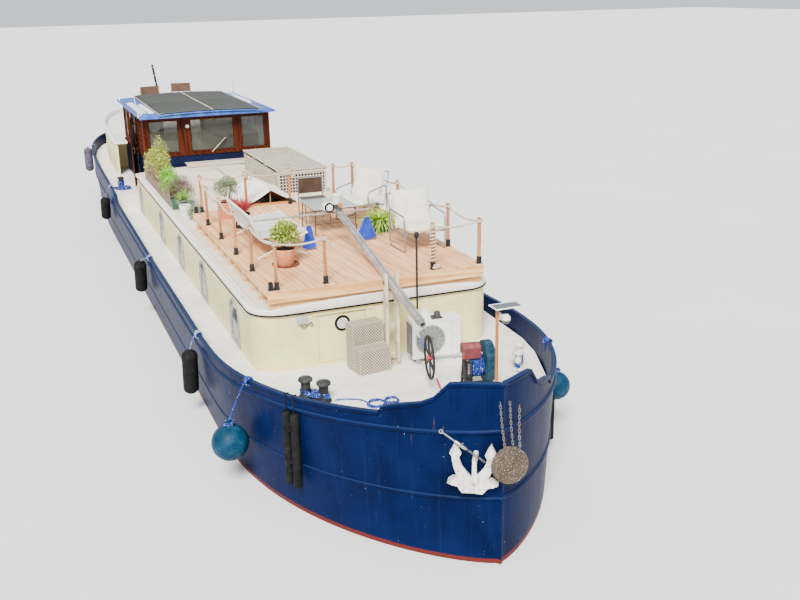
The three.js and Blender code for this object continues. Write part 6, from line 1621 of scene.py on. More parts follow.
def padSeam(w, l):
    # the pad's outline at half height, as a cord of piping
    a = np.sin(np.linspace(-np.pi / 2, np.pi / 2, 44))
    one = np.ones(44)
    u = np.concatenate([a, one, -a, -one])
    v = np.concatenate([-one, a, one, -a])
    x, y = w / 2 * u * (1 - 0.045 * (1 - v ** 2)), l / 2 * v * (1 - 0.045 * (1 - u ** 2))
    ring = np.column_stack([x, y, 0 * x])
    keep = np.linalg.norm(ring - np.roll(ring, 1, 0), axis=1) > 1e-5
    return tubeRing(ring[keep], 0.0045, 8)


def tilted(shape, place, tilt):
    # leans a flat pad about x
    return moved(shape, place, 0.0, tilt)


def roundedPath(points, radius, steps=6, closed=True):
    # straight runs between corners; each corner is a curve B(t) = (1 - t)^2 A + 2 t (1 - t) P + t^2 C
    p = np.asarray(points, float)
    out = []
    n = len(p)
    for i in range(n):
        if not closed and i in (0, n - 1):
            out.append(p[i][None])
            continue
        before, here, after = p[i - 1], p[i], p[(i + 1) % n]
        la, lb = np.linalg.norm(before - here), np.linalg.norm(after - here)
        r = min(radius, la * 0.45, lb * 0.45)
        a, c = here + (before - here) / la * r, here + (after - here) / lb * r
        t = np.linspace(0, 1, steps)[:, None]
        out.append((1 - t) ** 2 * a + 2 * t * (1 - t) * here + t ** 2 * c)
    return np.concatenate(out)


armchair = {"w": 0.69, "tube": 0.0125, "seat": (0.62, 0.58, 0.14), "back": (0.63, 0.60, 0.145)}
chairSteel = metalFinish("chairSteel", (0.40, 0.41, 0.42), (0.26, 0.27, 0.28), (0.3, 0.5), rust=(0.2, 0.1, 0.05),
                         rustAmount=0.74)


def armchairAt(name, x, y, turn):
    w = armchair["w"] / 2
    put = lambda s: moved(s, (x, y, platTop), turn)
    parts = []
    for sx in (-w, w):
        side = roundedPath([(sx, -0.30, 0.0135), (sx, -0.29, 0.565), (sx, 0.285, 0.605), (sx, 0.30, 0.0135)], 0.07)
        parts.append(tubeRing(side, armchair["tube"], 10))
        parts.append(tube(roundedPath([(sx * 0.985, -0.292, 0.300), (sx * 0.985, 0.21, 0.268),
                                       (sx * 0.985, 0.392, 0.822)], 0.05, closed=False), 0.0115, 10))
    for yy, zz in ((-0.29, 0.300), (0.21, 0.268), (0.392, 0.822)):
        parts.append(bar((-w, yy, zz), (w, yy, zz), 0.0110, 10))
    straps = [tube(np.array([(-w, yy, zz), (0, yy + 0.004, zz - 0.012), (w, yy, zz)]), 0.004, 6) for yy,
              zz in ((-0.16, 0.29), (-0.03, 0.282), (0.10, 0.275), (0.26, 0.42), (0.33, 0.62))]
    piece(name + "Frame", put(joined(*parts, *straps)), chairSteel, stands=[name])
    for tag, size, seed, crease, place, tilt in (("SeatPad", armchair["seat"], len(name), 0.009,
                                                  (0, -0.120, 0.358), -0.055),
                                                 ("BackPad", armchair["back"], len(name) + 2, 0.010,
                                                  (0, 0.215, 0.600), math.radians(70))):
        shape = tilted(pad(*size, seed=seed, crease=crease), place, tilt)
        cushion = piece(name + tag, put(shape), creamCloth, subdivide=1, flatTo=80)
        piece(name + tag + "Seam", put(tilted(padSeam(size[0], size[1]), place, tilt)), creamCloth)


armchairAt("armchair_port", 1.15, 5.07, 0.02)
armchairAt("armchair_starboard", 1.01, 7.27, -0.95)

# small upright chair: grey tube, brown mesh back and seat
meshCloth = clothFinish("meshCloth", (0.085, 0.050, 0.036), (0.05, 0.03, 0.022), 0.006, 0.7, 0.0012, 0.2, 0.1)
put = lambda s: moved(s, (0.215, 7.53, platTop), 0.0)
legs = []
for sx in (-0.225, 0.225):
    legs += [tube(roundedPath([(sx, -0.215, 0.003), (sx, -0.202, 0.404), (sx, 0.203, 0.404),
                               (sx * 0.99, 0.206, 0.745)], 0.04, closed=False), 0.0115, 10),
             bar((sx, 0.215, 0.003), (sx, 0.2035, 0.404), 0.0115, 10),
             bar((sx, -0.210, 0.12), (sx, 0.212, 0.12), 0.009, 10)]
legs += [bar((-0.225, yy, zz), (0.225, yy, zz), 0.0105, 10) for yy,
         zz in ((-0.203, 0.404), (0.204, 0.404), (0.210, 0.12), (0.206, 0.742))]
piece("sideChairFrame", put(joined(*legs)), chairSteel, stands=["side_chair"])


def clothPanel(corners, sag):
    # bilinear between four corners, plus sag (1 - u^2)(1 - 0.35 v^2) along the panel's normal
    a, b, c, e = (np.asarray(v, float) for v in corners)
    u, v = np.linspace(0, 1, 18)[:, None, None], np.linspace(0, 1, 18)[None, :, None]
    mid = a * (1 - u) * (1 - v) + b * u * (1 - v) + c * u * v + e * (1 - u) * v
    normal = unitOf(np.cross(b - a, e - a))
    across, down = 2 * u - 1, 2 * v - 1
    return clothSkin(mid + normal * (sag * (1 - across ** 2) * (1 - 0.35 * down ** 2)), normal * 0.003 / 2)


seatCorners = [(-0.215, -0.203, 0.412), (0.215, -0.203, 0.412), (0.215, 0.200, 0.412), (-0.215, 0.200, 0.412)]
backCorners = [(-0.215, 0.2045, 0.47), (0.215, 0.2045, 0.47), (0.215, 0.206, 0.738), (-0.215, 0.206, 0.738)]
seatCloth = piece("sideChairSeat", put(clothPanel(seatCorners, -0.012)), meshCloth)
backCloth = piece("sideChairBack", put(clothPanel(backCorners, -0.010)), meshCloth)

# glass table on thin dark legs
put = lambda s: moved(s, (0.24, 6.79, platTop), 0.0)
top = roundedPath([(-0.39, -0.44, 0.459), (0.39, -0.44, 0.459), (0.39, 0.44, 0.459), (-0.39, 0.44, 0.459)], 0.04, 8)
piece("tableTop", put(slab(top[:, :2], (0.4560, 0.4645), "z")), glassTop, smooth=False, bevel=0.0015,
      segments=2)
rim = tubeRing(roundedPath([(-0.375, -0.425, 0.4455), (0.375, -0.425, 0.4455), (0.375, 0.425, 0.4455),
                            (-0.375, 0.425, 0.4455)], 0.045, 8), 0.0095, 8)
tableLegs = [tube(roundedPath([(sx * 0.363, sy * 0.380, 0.002), (sx * 0.345, sy * 0.37, 0.436)], 0.01,
                              closed=False), 0.0105, 10) for sx in (-1, 1) for sy in (-1, 1)]
cross = [bar((-0.352, sy * 0.372, 0.20), (0.352, sy * 0.372, 0.20), 0.006, 8) for sy in (-1, 1)]
piece("tableFrame", put(joined(rim, *tableLegs, *cross)), darkPlastic, stands=["table"])

# low bench: white tube ends, a sling between them, and strap ends laced round the tubes
bench = {"y": (5.43, 7.08), "seat": 0.345, "top": 0.66, "front": -0.56, "heel": -1.34, "back": -1.44,
         "tube": 0.0135}
put = lambda s: (s[0] + np.array([0, 0, platTop]), s[1])
bends = [(bench["front"], bench["seat"]), (bench["heel"] + 0.04, bench["seat"] - 0.04),
         (bench["back"], bench["top"])]
tubes = [bar((x, bench["y"][0] - 0.01, z), (x, bench["y"][1] + 0.01, z), 0.0155, 12) for x, z in bends]
for y in bench["y"]:
    front, middle, back = ((x, y, z) for x, z in bends)
    tubes += [bar((bench["heel"] - 0.018, y, 0.004), front, bench["tube"]),
              bar((bench["front"] - 0.018, y, 0.004), middle, bench["tube"]),
              bar(middle, back, bench["tube"])]
piece("benchFrame", put(joined(*tubes)), whitePaint, stands=["deck_bench"])
t = np.linspace(0, 1, 26)
slingX = np.interp(t, [0, 0.36, 0.68, 0.72, 1], [bench["front"] + 0.004, (bench["front"] + bench["heel"]) / 2,
                                                 bench["heel"] + 0.055, bench["heel"] + 0.035,
                                                 bench["back"] + 0.004])
slingZ = np.interp(t, [0, 0.36, 0.68, 0.72, 1], [bench["seat"] + 0.012, bench["seat"] - 0.046,
                                                 bench["seat"] - 0.030, bench["seat"] - 0.022,
                                                 bench["top"] + 0.006])
profile = curveThrough(np.column_stack([slingX, 0 * slingX, slingZ])[::3], 4)
yy = np.linspace(bench["y"][0] + 0.05, bench["y"][1] - 0.05, 40)
along = profile[:, None] + np.stack([0 * yy, yy, 0.004 * np.sin(7 * yy)], -1)[None]
sling = piece("benchSling", put(clothSkin(along, np.array([0.0015, 0, 0.0025]))), slingCloth)
lace = []
for y in np.arange(bench["y"][0] + 0.075, bench["y"][1] - 0.05, 0.075):
    for x0, z0, s in ((bench["front"], bench["seat"], 1), (bench["back"], bench["top"], -1)):
        a = np.linspace(-0.4, np.pi * 1.15, 12)
        lace.append(ribbon(np.column_stack([x0 + s * 0.0195 * np.sin(a), np.full(12, y), z0 + 0.0195 * np.cos(a)]),
                           (0, 1, 0), 0.034, 0.003))
# the sling's aft end hangs free in cut straps over the end leg
fringe = []
for k in range(13):
    s = 0.10 + 0.80 * k / 12
    top = profile[int(s * (len(profile) - 1))]
    bend = 0.5 + 0.5 * math.sin(2.4 * k)
    fringe.append(ribbon(np.array([top + [0, bench["y"][1] - 0.055, 0.001],
                                   top + [0.002, bench["y"][1] - 0.012, 0.012 + 0.006 * bend],
                                   top + [0.004, bench["y"][1] + 0.026, 0.004],
                                   top + [0.006, bench["y"][1] + 0.050, -0.045 - 0.03 * bend],
                                  top + [0.010 * bend, bench["y"][1] + 0.054, -0.12 - 0.03 * bend]]), (1, 0, 0.1),
                         0.026, 0.0028))
piece("benchStraps", put(joined(*lace, *fringe)), whiteCloth)
print("sun deck furniture")


# long cabin: cream walls, a white roof edge with a black rubbing strip, arched windows
cabin = {"half": 1.835, "y": (3.79, 15.60), "corner": 0.40, "wall": 0.05, "roofHalf": 1.865,
         "door": (-0.935, -0.225, 1.30, 2.00)}
sandRoof = weathered("sandRoof", (0.76, 0.68, 0.52), (0.64, 0.56, 0.41), (0.82, 0.75, 0.60), (0.7, 0.9), 0.5, 2.0,
                     0.0012, rust=(0.30, 0.18, 0.10), rustAmount=0.74)
silverWood = woodFinish("silverWood", (0.66, 0.585, 0.47), (0.52, 0.45, 0.355), (0.30, 0.255, 0.20), "y", 12, 60,
                        0.75, greying=0.5)
dress(creamPaint, "cabin_side_starboard", "cabin_side_port")


def cornered(half, y0, r, yEnd, steps=18, ends=2):
    # plan line from the starboard side round both front corners: arcs of radius r
    a = np.linspace(0, np.pi / 2, steps)
    arc = np.column_stack([-(half - r + r * np.cos(a)), y0 + r - r * np.sin(a)])
    side = np.column_stack([np.full(ends, -half), np.linspace(yEnd, y0 + r, ends + 1)[:-1]])
    front = np.column_stack([np.linspace(-(half - r), 0, 12)[1:], np.full(11, y0)])
    port = np.concatenate([side, arc, front])
    return np.concatenate([port, port[-2::-1] * [-1, 1]])


def wallStrip(outer, inner, z0, z1):
    # a wall between two plan lines and two heights
    ring = [np.column_stack([p, np.full(len(p), z)]) for p, z in ((outer, z0), (outer, z1), (inner, z1),
                (inner, z0))]
    return shell(np.stack(ring, 1))


outer = cornered(cabin["half"], cabin["y"][0], cabin["corner"], cabin["y"][0] + cabin["corner"], ends=1)
inner = cornered(cabin["half"] - cabin["wall"], cabin["y"][0] + cabin["wall"], cabin["corner"] - cabin["wall"],
                 cabin["y"][0] + cabin["corner"], ends=1)
x0, x1, z0, z1 = cabin["door"]
cutAt = lambda line, x: np.array([[x, line[len(line) // 2, 1]]])
left = [np.concatenate([p[p[:, 0] < x0 - 0.006], cutAt(p, x0 - 0.006)]) for p in (outer, inner)]
left = [left[0], np.concatenate([inner[:len(left[0]) - 1], cutAt(inner, x0 - 0.006)])]
right = [np.concatenate([cutAt(p, x1 + 0.006), p[outer[:, 0] > x1 + 0.006]]) for p in (outer, inner)]
over = [np.concatenate([cutAt(p, x0 - 0.006), cutAt(p, x1 + 0.006)]) for p in (outer, inner)]
wallTop, roofUnder = 2.0797, 2.0803
piece("cabinFrontWall", joined(wallStrip(*left, deckTop, wallTop), wallStrip(*right, deckTop, wallTop),
                               wallStrip(*over, z1 + 0.006, wallTop),
                               wallStrip(*over, deckTop, z0 - 0.006)), creamPaint,
      stands=["cabin_front"])
drip = [block((-1.02, 3.772, 2.022), (-0.115, 3.7895, 2.036)),
        block((-1.50, 3.7875, 1.256), (-1.494, 3.7899, 2.074)),
        block((1.02, 3.7875, 1.256), (1.026, 3.7899, 2.074)),
        blocks([(-0.941, 3.862, 1.417), (-0.941, 3.862, 1.817)], (0.015, 0.03, 0.024))]
piece("cabinFrontTrim", joined(*drip), creamPaint, bevel=0.002)

# junction box with its gland and a loop of cable on a small hook
piece("junctionBox", joined(block((-1.247, 3.738, 1.948), (-1.123, 3.790, 2.058)),
                            block((-1.252, 3.731, 1.940), (-1.118, 3.7385, 2.064)),
                            turned([(0.017, 0), (0.019, 0.004), (0.019, 0.016), (0.012, 0.028), (0.010, 0.034)],
                                   (-1.185, 3.764, 1.914), sides=18)),
      greyPlastic, bevel=0.004, segments=3)
cable = curveThrough([(-1.185, 3.764, 1.925), (-1.183, 3.762, 1.885), (-1.15, 3.765, 1.872), (-1.10, 3.772, 1.895),
                      (-1.062, 3.774, 1.93), (-1.028, 3.772, 1.925), (-1.020, 3.770, 1.90), (-1.040, 3.770, 1.885),
                      (-1.060, 3.772, 1.905)], 6)
piece("junctionCable", joined(tube(cable, 0.0052, 8), turned([(0.008, 0), (0.008, 0.006), (0.003, 0.030)],
                                                             (-1.028, 3.7895, 1.93), "y", 10)), darkPlastic)

# front door: flush cream panel, black-ringed porthole, hinges and a lever
door = [block((x0, 3.805, z0), (x1, 3.840, z1)), *(turned([(0.0075, 0), (0.0075, 0.055)], (-0.941, 3.852, z),
                                                          sides=12) for z in (1.4303, 1.8303)),
        blocks([(-0.929, 3.844, 1.4578), (-0.929, 3.844, 1.8578)], (0.018, 0.02, 0.05))]
piece("cabinDoorPanel", joined(*door), creamPaint, body="cabin_door", stands=["cabin_door"],
      bevel=0.003, segments=2)
piece("cabinDoorEdge", joined(*(block((x, 3.8030, z0 + 0.03), (x + 0.006, 3.8049, z1 - 0.03)) for x in (x0 + 0.03,
                                    x1 - 0.036))), creamPaint, body="cabin_door")
piece("portholeRing", joined(turned([(0.083, 0), (0.083, -0.012), (0.090, -0.019), (0.106, -0.019),
                                     (0.116, -0.012), (0.118, 0), (0.116, 0.006), (0.085, 0.006), (0.083, 0)],
                                    (-0.57, 3.805, 1.85), "y", 48),
                             copies(turned([(0.006, 0), (0.006, -0.004), (0.003, -0.006)], axis="y", sides=8),
                                    [(-0.57 + 0.100 * math.cos(a), 3.7863, 1.85 + 0.100 * math.sin(a))
                                     for a in np.arange(6) * math.pi / 3 + 0.3])),
      blackRubber, body="cabin_door")
piece("portholeGlass", turned([(0.0, -0.006), (0.0825, -0.006), (0.0825, 0.002), (0, 0.002)], (-0.57, 3.802, 1.85),
                              "y", 40), lensGlass, body="cabin_door")
piece("doorLever", joined(turned([(0.017, 0), (0.017, -0.006), (0.008, -0.010), (0.007, -0.026)],
                                 (-0.285, 3.805, 1.62), "y", 16),
                          bar((-0.285, 3.783, 1.62), (-0.365, 3.781, 1.618), 0.0065, 10)),
      steelGrey, body="cabin_door")

# roof: rings drawn in from the plan line to a middle spine, height roofLine(x)
def insetPlan(d):
    # the same plan line a distance d inwards
    r = max(cabin["corner"] + 0.03 - d, 0.02)
    line = cornered(cabin["roofHalf"] - d, cabin["y"][0] - 0.03 + d, r, cabin["y"][1] + 0.02 - d, 20, 14)
    half = cabin["roofHalf"] - d
    return np.concatenate([line, np.column_stack([np.linspace(half, -half, 16)[1:-1],
                                                  np.full(14, cabin["y"][1] + 0.02 - d)])])


def roofRing(d, drop):
    # the roof's plan line a distance d inwards, at roofLine(x) - drop
    p = insetPlan(d)
    return np.column_stack([p, roofLine(p[:, 0]) - drop])


def towards(ring, t, lift=0.0):
    # a ring drawn a share t of the way to the spine, kept on the camber
    spine = np.column_stack([0 * ring[:, 0], np.clip(ring[:, 1], 4.6, 15.0)])
    p = ring[:, :2] * (1 - t) + spine * t
    return np.column_stack([p, roofLine(p[:, 0]) + lift])


flatZ = lambda p, z: np.column_stack([p, np.full(len(p), z)])
edge = [flatZ(insetPlan(d), z) for d, z in ((0.06, roofUnder), (0.004, roofUnder), (0.0, 2.085))]
edge += [roofRing(d, drop) for d, drop in ((0, 0.026), (0.002, 0.017), (0.009, 0.0085), (0.019, 0.003),
                                           (0.032, 0.0006), (0.06, 0),
                                           (0.118, 0), (0.124, 0.006))]
piece("roofEdge", skinOf(edge, True), roofPaint, stands=["cabin_roof"])
inside = roofRing(0.121, 0)
top = [flatZ(insetPlan(0.121), 2.10)] + [towards(inside, t, 0.0015) for t in (0, 0.02, 0.1, 0.2, 0.35, 0.5, 0.65,
                                             0.8, 0.92, 1.0)] + [flatZ(towards(inside, 1.0)[:, :2], 2.10)]
piece("roofTop", skinOf(top, True), sandRoof)
# the raised lips are grey: painted shade for the thin shadow line along each lip
ribs = [tubeRing(roofRing(d, -0.002), r, 8) for d, r in ((0.062, 0.0045), (0.121, 0.006))]
piece("roofRibs", joined(*ribs), greyPlastic)


def planBand(d, w, z0, z1):
    # a level band w wide round the roof, a distance d inwards, between two heights
    p, q = insetPlan(d), insetPlan(d + w)
    eased = insetPlan(d + 0.002)
    return skinOf([flatZ(p, z0 + 0.003), flatZ(p, z1 - 0.003), flatZ(eased, z1), flatZ(q, z1), flatZ(q, z0),
                   flatZ(eased, z0)], True)


piece("rubbingStrip", planBand(-0.0085, 0.020, 2.0815, 2.1055), blackRubber)


# arched windows
def archLine(w, grow=0.0):
    # (y, z) round a window: straight sides, half ellipse above the spring
    y, wide, za, zb = w
    half, spring, rise = wide / 2 + grow, zb - 0.19, 0.19 + grow
    a = np.linspace(0, np.pi, 25)
    arc = np.column_stack([y + half * np.cos(a), spring + rise * np.sin(a)])
    low = np.array([[y - half, za - grow + 0.2], [y - half, za - grow], [y, za - grow], [y + half, za - grow],
                    [y + half, za - grow + 0.2]])
    return np.concatenate([arc, low])


def ringBetween(a, b, d0, d1, sign):
    # a flat frame between two outlines of equal count, from depth d0 to d1
    level = lambda o, d: np.column_stack([np.full(len(o), sign * d), o])
    return skinOf([level(a, d0), level(a, d1 - 0.003), level(a * 0.92 + b * 0.08, d1),
                   level(a * 0.08 + b * 0.92, d1),
                   level(b, d1 - 0.003), level(b, d0)], True)


# (middle, width, lower edge, top of the arch)
windows = [(5.17, 0.52, 1.31, 1.95), (7.57, 0.52, 1.31, 1.935), (9.75, 0.52, 1.31, 1.925),
           (12.02, 0.52, 1.31, 1.915), (15.08, 0.42, 1.31, 1.915)]
framePaint = weathered("framePaint", (0.30, 0.31, 0.29), (0.20, 0.21, 0.20), (0.42, 0.43, 0.41), (0.3, 0.55), 0.4,
                       14.0, 0.0005)
for side, sign in (("Starboard", -1), ("Port", 1)):
    frames, bars, panes, seals = [], [], [], []
    for w in windows:
        y, wide, za, zb = w
        frames.append(ringBetween(archLine(w, 0.034), archLine(w, 0.004), 1.8354, 1.8485, sign))
        bars.append(ringBetween(archLine(w, 0.0035), archLine(w, -0.016), 1.822, 1.8415, sign))
        middle = za + 0.47 * (zb - za)
        bars.append(boxBetween((sign * 1.822, y - wide / 2 + 0.012, middle - 0.011),
                               (sign * 1.840, y + wide / 2 - 0.012, middle + 0.011)))
        seals.append(ringBetween(archLine(w, 0.038), archLine(w, 0.030), 1.8352, 1.8395, sign))
        upper = archLine(w, -0.015)
        upper = np.column_stack([upper[:, 0], np.maximum(upper[:, 1], middle + 0.010)])
        lower = np.array([[y - wide / 2 + 0.014, za + 0.014], [y + wide / 2 - 0.014, za + 0.014],
                          [y + wide / 2 - 0.014, middle - 0.01], [y - wide / 2 + 0.014, middle - 0.01]])
        lean = 0.05 if w is windows[0] else 0.022    # the upper panes stand ajar
        for o, tip in ((upper, lean), (lower, 0.0)):
            shape = slab(o, (sign * 1.826, sign * 1.830), "x")
            pts = shape[0].copy()
            pts[:, 0] -= sign * tip * np.clip((pts[:, 2] - middle) / 0.3, 0, 1)
            panes.append((pts, shape[1]))
    piece("windowFrames" + side, joined(*frames), framePaint,
          stands=["cabin_windows_" + side.lower()])
    piece("windowBars" + side, joined(*bars), framePaint)
    piece("windowSeals" + side, joined(*seals), darkPlastic)
    piece("windowPanes" + side, joined(*panes), glassDark, smooth=False)
    blind = [boxBetween((sign * 1.792, y - wide / 2 - 0.01, za - 0.01),
                        (sign * 1.797, y + wide / 2 + 0.01, zb + 0.01)) for y, wide, za, zb in windows]
    piece("windowBlinds" + side, joined(*blind), whiteCloth, smooth=False)
# ventilation slots and a few scars low on the starboard side
marks = [block((-1.8375, y, z), (-1.8352, y + l, z + 0.006)) for y, z,
         l in ((4.55, 2.045, 0.5), (8.6, 2.045, 0.62), (13.2, 2.045, 0.8))]
piece("sideBeads", joined(*marks), creamPaint)
print("cabin, windows and roof")

# slatted hatch box: lengthwise slats above, boards round it, lattice in front
hatch = {"slats": 16, "top": (0.53, 1.67), "x": 1.10, "y": 12.775, "boards": 7}
pitch = (hatch["top"][1] - hatch["top"][0]) / hatch["slats"]
slats = blocks([(hatch["top"][0] + pitch * (k + 0.5), hatch["y"], 2.7385) for k in range(hatch["slats"])],
               (pitch - 0.026, 3.11, 0.024))
bearers = blocks([(hatch["x"], y, 2.713) for y in (11.29, 12.3, 13.3, 14.26)], (1.12, 0.045, 0.026))
boardZ = 2.228 + 0.068 * np.arange(hatch["boards"])
sides = [blocks([(x, hatch["y"], z) for z in boardZ], (0.020, 3.05, 0.058)) for x in (0.570, 1.630)]
ends = [blocks([(hatch["x"], 14.290, z) for z in boardZ], (1.04, 0.020, 0.058))]
cornerPosts = blocks([(x, y, 2.44) for x in (0.588, 1.612) for y in (11.282, 12.30, 13.30, 14.268)],
                     (0.030, 0.045, 0.52))
piece("hatchSlats", joined(slats, bearers, *sides, *ends, cornerPosts), silverWood,
      stands=["hatch_box"], bevel=0.002)
grid = [blocks([(x, 11.2625, 2.44) for x in np.arange(0.60, 1.62, 0.068)], (0.018, 0.009, 0.50)),
        blocks([(hatch["x"], 11.2535, z) for z in np.arange(2.23, 2.68, 0.068)], (1.05, 0.009, 0.018)),
        block((0.555, 11.246, 2.18), (0.60, 11.268, 2.70)), block((1.60, 11.246, 2.18), (1.645, 11.268, 2.70)),
        block((0.60, 11.247, 2.655), (1.60, 11.267, 2.70))]
piece("hatchLattice", joined(*grid), silverWood, bevel=0.0015)
# a dark block that fills the box: painted shade, seen through the slats and the lattice
piece("hatchInside", block((0.605, 11.31, 2.17), (1.595, 14.24, 2.695)), darkPlastic, smooth=False)

# skylight: an orange box with a white cloth tied over a low ridge
sky = {"x": (-0.56, 0.33), "y": (9.32, 10.90), "z": 2.49, "ridge": 2.762, "mid": -0.115, "eave": 0.84}
(x0, x1), (y0, y1) = sky["x"], sky["y"]
walls = [block((x0, y0, 2.175), (x0 + 0.03, y1, sky["z"])), block((x1 - 0.03, y0, 2.175), (x1, y1, sky["z"])),
         block((x0 + 0.03, y0, 2.215), (x1 - 0.03, y0 + 0.03, 2.345)),
         block((x0 + 0.03, y0 + 0.006, 2.350), (x1 - 0.03, y0 + 0.034, sky["z"])),
         block((x0 + 0.03, y1 - 0.03, 2.215), (x1 - 0.03, y1, sky["z"]))]
piece("skylightBox", joined(*walls), orangeWood, stands=["skylight"], bevel=0.003, segments=2)
rafters = []
for y in (y0 + 0.02, y0 + 0.55, y0 + 1.08, y1 - 0.02):
    rafters += [bar((x, y, sky["z"] + 0.004), (sky["mid"], y, sky["ridge"] - 0.024), 0.019, 8) for x in (x0 + 0.02,
                    x1 - 0.02)]
rafters += [bar((sky["mid"], y0 - 0.03, sky["ridge"] - 0.022), (sky["mid"], y1 + 0.03, sky["ridge"] - 0.022),
                0.017, 8), bar((sky["mid"], y0 + 0.02, sky["z"] - 0.01),
                               (sky["mid"], y0 + 0.02, sky["ridge"] - 0.03), 0.014, 8)]
piece("skylightRafters", joined(*rafters, block((x0 + 0.03, y0 + 0.045, 2.30), (x1 - 0.03, y1 - 0.035, 2.305))),
      troughWood)
# u runs across from -1 to 1 over the ridge, v along it
# three bays sag between the rafters, and the hem falls past the eave
u, v = np.meshgrid(np.linspace(-1, 1, 57), np.linspace(0, 1, 61), indexing="ij")
away = np.abs(u)
x = sky["mid"] + np.sign(u) * np.interp(away, [0, sky["eave"], 1.0], [0, 0.490, 0.502])
z = np.interp(away, [0, sky["eave"], 1.0], [sky["ridge"], 2.510, 2.425])
clothSag = 0.020 * np.sin(np.pi * np.clip(away / sky["eave"], 0, 1)) * (1 - 0.75 * np.abs(np.sin(3 * np.pi * v)))
clothSag = clothSag + 0.004 * np.exp(-(away / 0.06) ** 2)
pucker = 0.0045 * np.sin(31 * v + 3 * u) * np.clip(away - 0.25, 0, 1) + 0.003 * np.sin(17 * v - 8 * u + 1) * away
hem = np.clip((away - sky["eave"]) / 0.16, 0, 1)
z = z - clothSag + pucker - hem * 0.016 * np.abs(np.sin(2.5 * np.pi * v)) - 0.012 * np.exp(-((v
    - 0.0) / 0.03) ** 2) - 0.012 * np.exp(-((v - 1.0) / 0.03) ** 2)
x = x + np.sign(u) * hem * 0.008 * np.sin(23 * v + 1.3 * u)
y = 9.262 + 1.696 * v + 0.006 * np.sin(9 * u)
mid = np.stack([x, y, z], -1)
cover = piece("skylightCover", clothSkin(mid, np.array([0, 0, 0.0016])), whiteCloth, flatTo=75)

# planting trough along the roof edge with a trellis, two end pots and a low cushion plant
trough = {"x": (-1.735, -1.445), "y": (11.21, 14.64), "middle": 12.925, "staves": 90}
staves = [blocks([(x, y, 2.274) for x in trough["x"]
                  for y in trough["y"][0] + 0.019 + np.arange(trough["staves"]) * 0.03812], (0.016, 0.033, 0.278))]
troughRails = [blocks([(x, trough["middle"], z) for x in (trough["x"][0] + 0.014, trough["x"][1] - 0.014)
                       for z in (2.18, 2.36)], (0.014, 3.40, 0.035))]
caps = [blocks([(sum(trough["x"]) / 2, y, 2.274) for y in trough["y"]], (0.29, 0.018, 0.278)),
        blocks([(x, 12.925, 2.418) for x in trough["x"]], (0.034, 3.45, 0.014))]
piece("troughStaves", joined(*staves, *troughRails, *caps), troughWood,
      stands=["roof_planters"], bevel=0.0015)
lattice = [blocks([(-1.741, y, 2.53) for y in np.arange(11.25, 14.63, 0.1125)], (0.007, 0.021, 0.225)),
           blocks([(-1.7475, trough["middle"], z) for z in (2.452, 2.545, 2.636)], (0.006, 3.43, 0.021)),
           blocks([(-1.746, y, 2.40) for y in (11.23, 12.36, 13.49, 14.62)], (0.018, 0.034, 0.50))]
piece("troughTrellis", joined(*lattice), troughWood, bevel=0.001)
piece("troughSoil", block((-1.726, 11.22, 2.15), (-1.454, 14.63, 2.395)), soil, smooth=False)
yellowLeaf = leafFinish("yellowLeaf", (0.34, 0.38, 0.055), (0.13, 0.19, 0.03), (0.62, 0.60, 0.15))
endPots = {"greenTub": {"at": (-1.59, 11.03), "r": (0.15, 0.19), "h": 0.26, "z": 2.146, "finish": greenGlaze},
           "blueTub": {"at": (-1.50, 10.69), "r": (0.14, 0.17), "h": 0.23, "z": 2.150, "finish": bluePot},
           "whiteTub": {"at": (-1.585, 10.40), "r": (0.09, 0.115), "h": 0.20, "z": 2.182, "finish": whitePlastic},
           "sageTub": {"at": (-1.475, 9.86), "r": (0.115, 0.14), "h": 0.11, "z": 2.194, "finish": bluePot}}
for name, p in endPots.items():
    piece(name, turned(potBody(*p["r"], p["h"]), (*p["at"], p["z"]), sides=40), p["finish"])
    piece(name + "Soil", turned(soilTop(p["r"][1], p["h"]), (*p["at"], p["z"]), sides=24), soil)
small = leafForm(0.042, 0.017, 0.0012, 0.3, 3)
needle = leafForm(0.050, 0.0065, 0.0012, 0.2, 3)
groups = [("yellowShrub", yellowLeaf, leafForm(0.060, 0.022, 0.0013, 0.3, 3),
           [((-1.60, 13.85, 2.70), (0.20, 0.42, 0.34), 950), ((-1.58, 13.25, 2.86), (0.19, 0.36, 0.42), 950),
            ((-1.60, 12.75, 2.72), (0.18, 0.28, 0.32), 600), ((-1.60, 14.35, 2.56), (0.16, 0.24, 0.20), 300)]),
          ("brightHerb", leafHerb, small, [((-1.59, 12.15, 2.60), (0.20, 0.34, 0.25), 1500),
                                           ((-1.58, 11.72, 2.56), (0.19, 0.26, 0.20), 900)]),
          ("heather", leafHeather, needle, [((-1.53, 11.05, 2.60), (0.24, 0.30, 0.25), 1500),
                                            ((-1.50, 10.66, 2.55), (0.22, 0.24, 0.21), 1000)]),
          ("greenShrub", leafHerb, needle, [((-1.60, 11.38, 2.55), (0.17, 0.19, 0.19), 600),
                                            ((-1.585, 10.41, 2.50), (0.15, 0.16, 0.17), 400)]),
          ("sageCushion", leafGrey, small, [((-1.475, 9.86, 2.335), (0.17, 0.18, 0.105), 620)])]
for k, (name, finish, form, lumps) in enumerate(groups):
    share = 1
    parts = [bushLeaves(centre, radii, int(count * share), form, 60 + 5 * k + j, 0.35, 0.5, (0.8, 1.35), 0.20)
             for j, (centre, radii, count) in enumerate(lumps)]
    piece(name, joined(*parts), finish)
twigs = [stemsOf((x, y, 2.39), 9, hgt, 0.16, 0.006, 70 + k, 0.35) for k,
         (x, y, hgt) in enumerate([(-1.60, 13.85, 0.55), (-1.58, 13.25, 0.75), (-1.6, 12.75, 0.5),
                                   (-1.59, 12.15, 0.38), (-1.53, 11.05, 0.40), (-1.5, 10.68, 0.36)])]
piece("planterTwigs", joined(*twigs), troughWood)
print("roof fittings and planting")


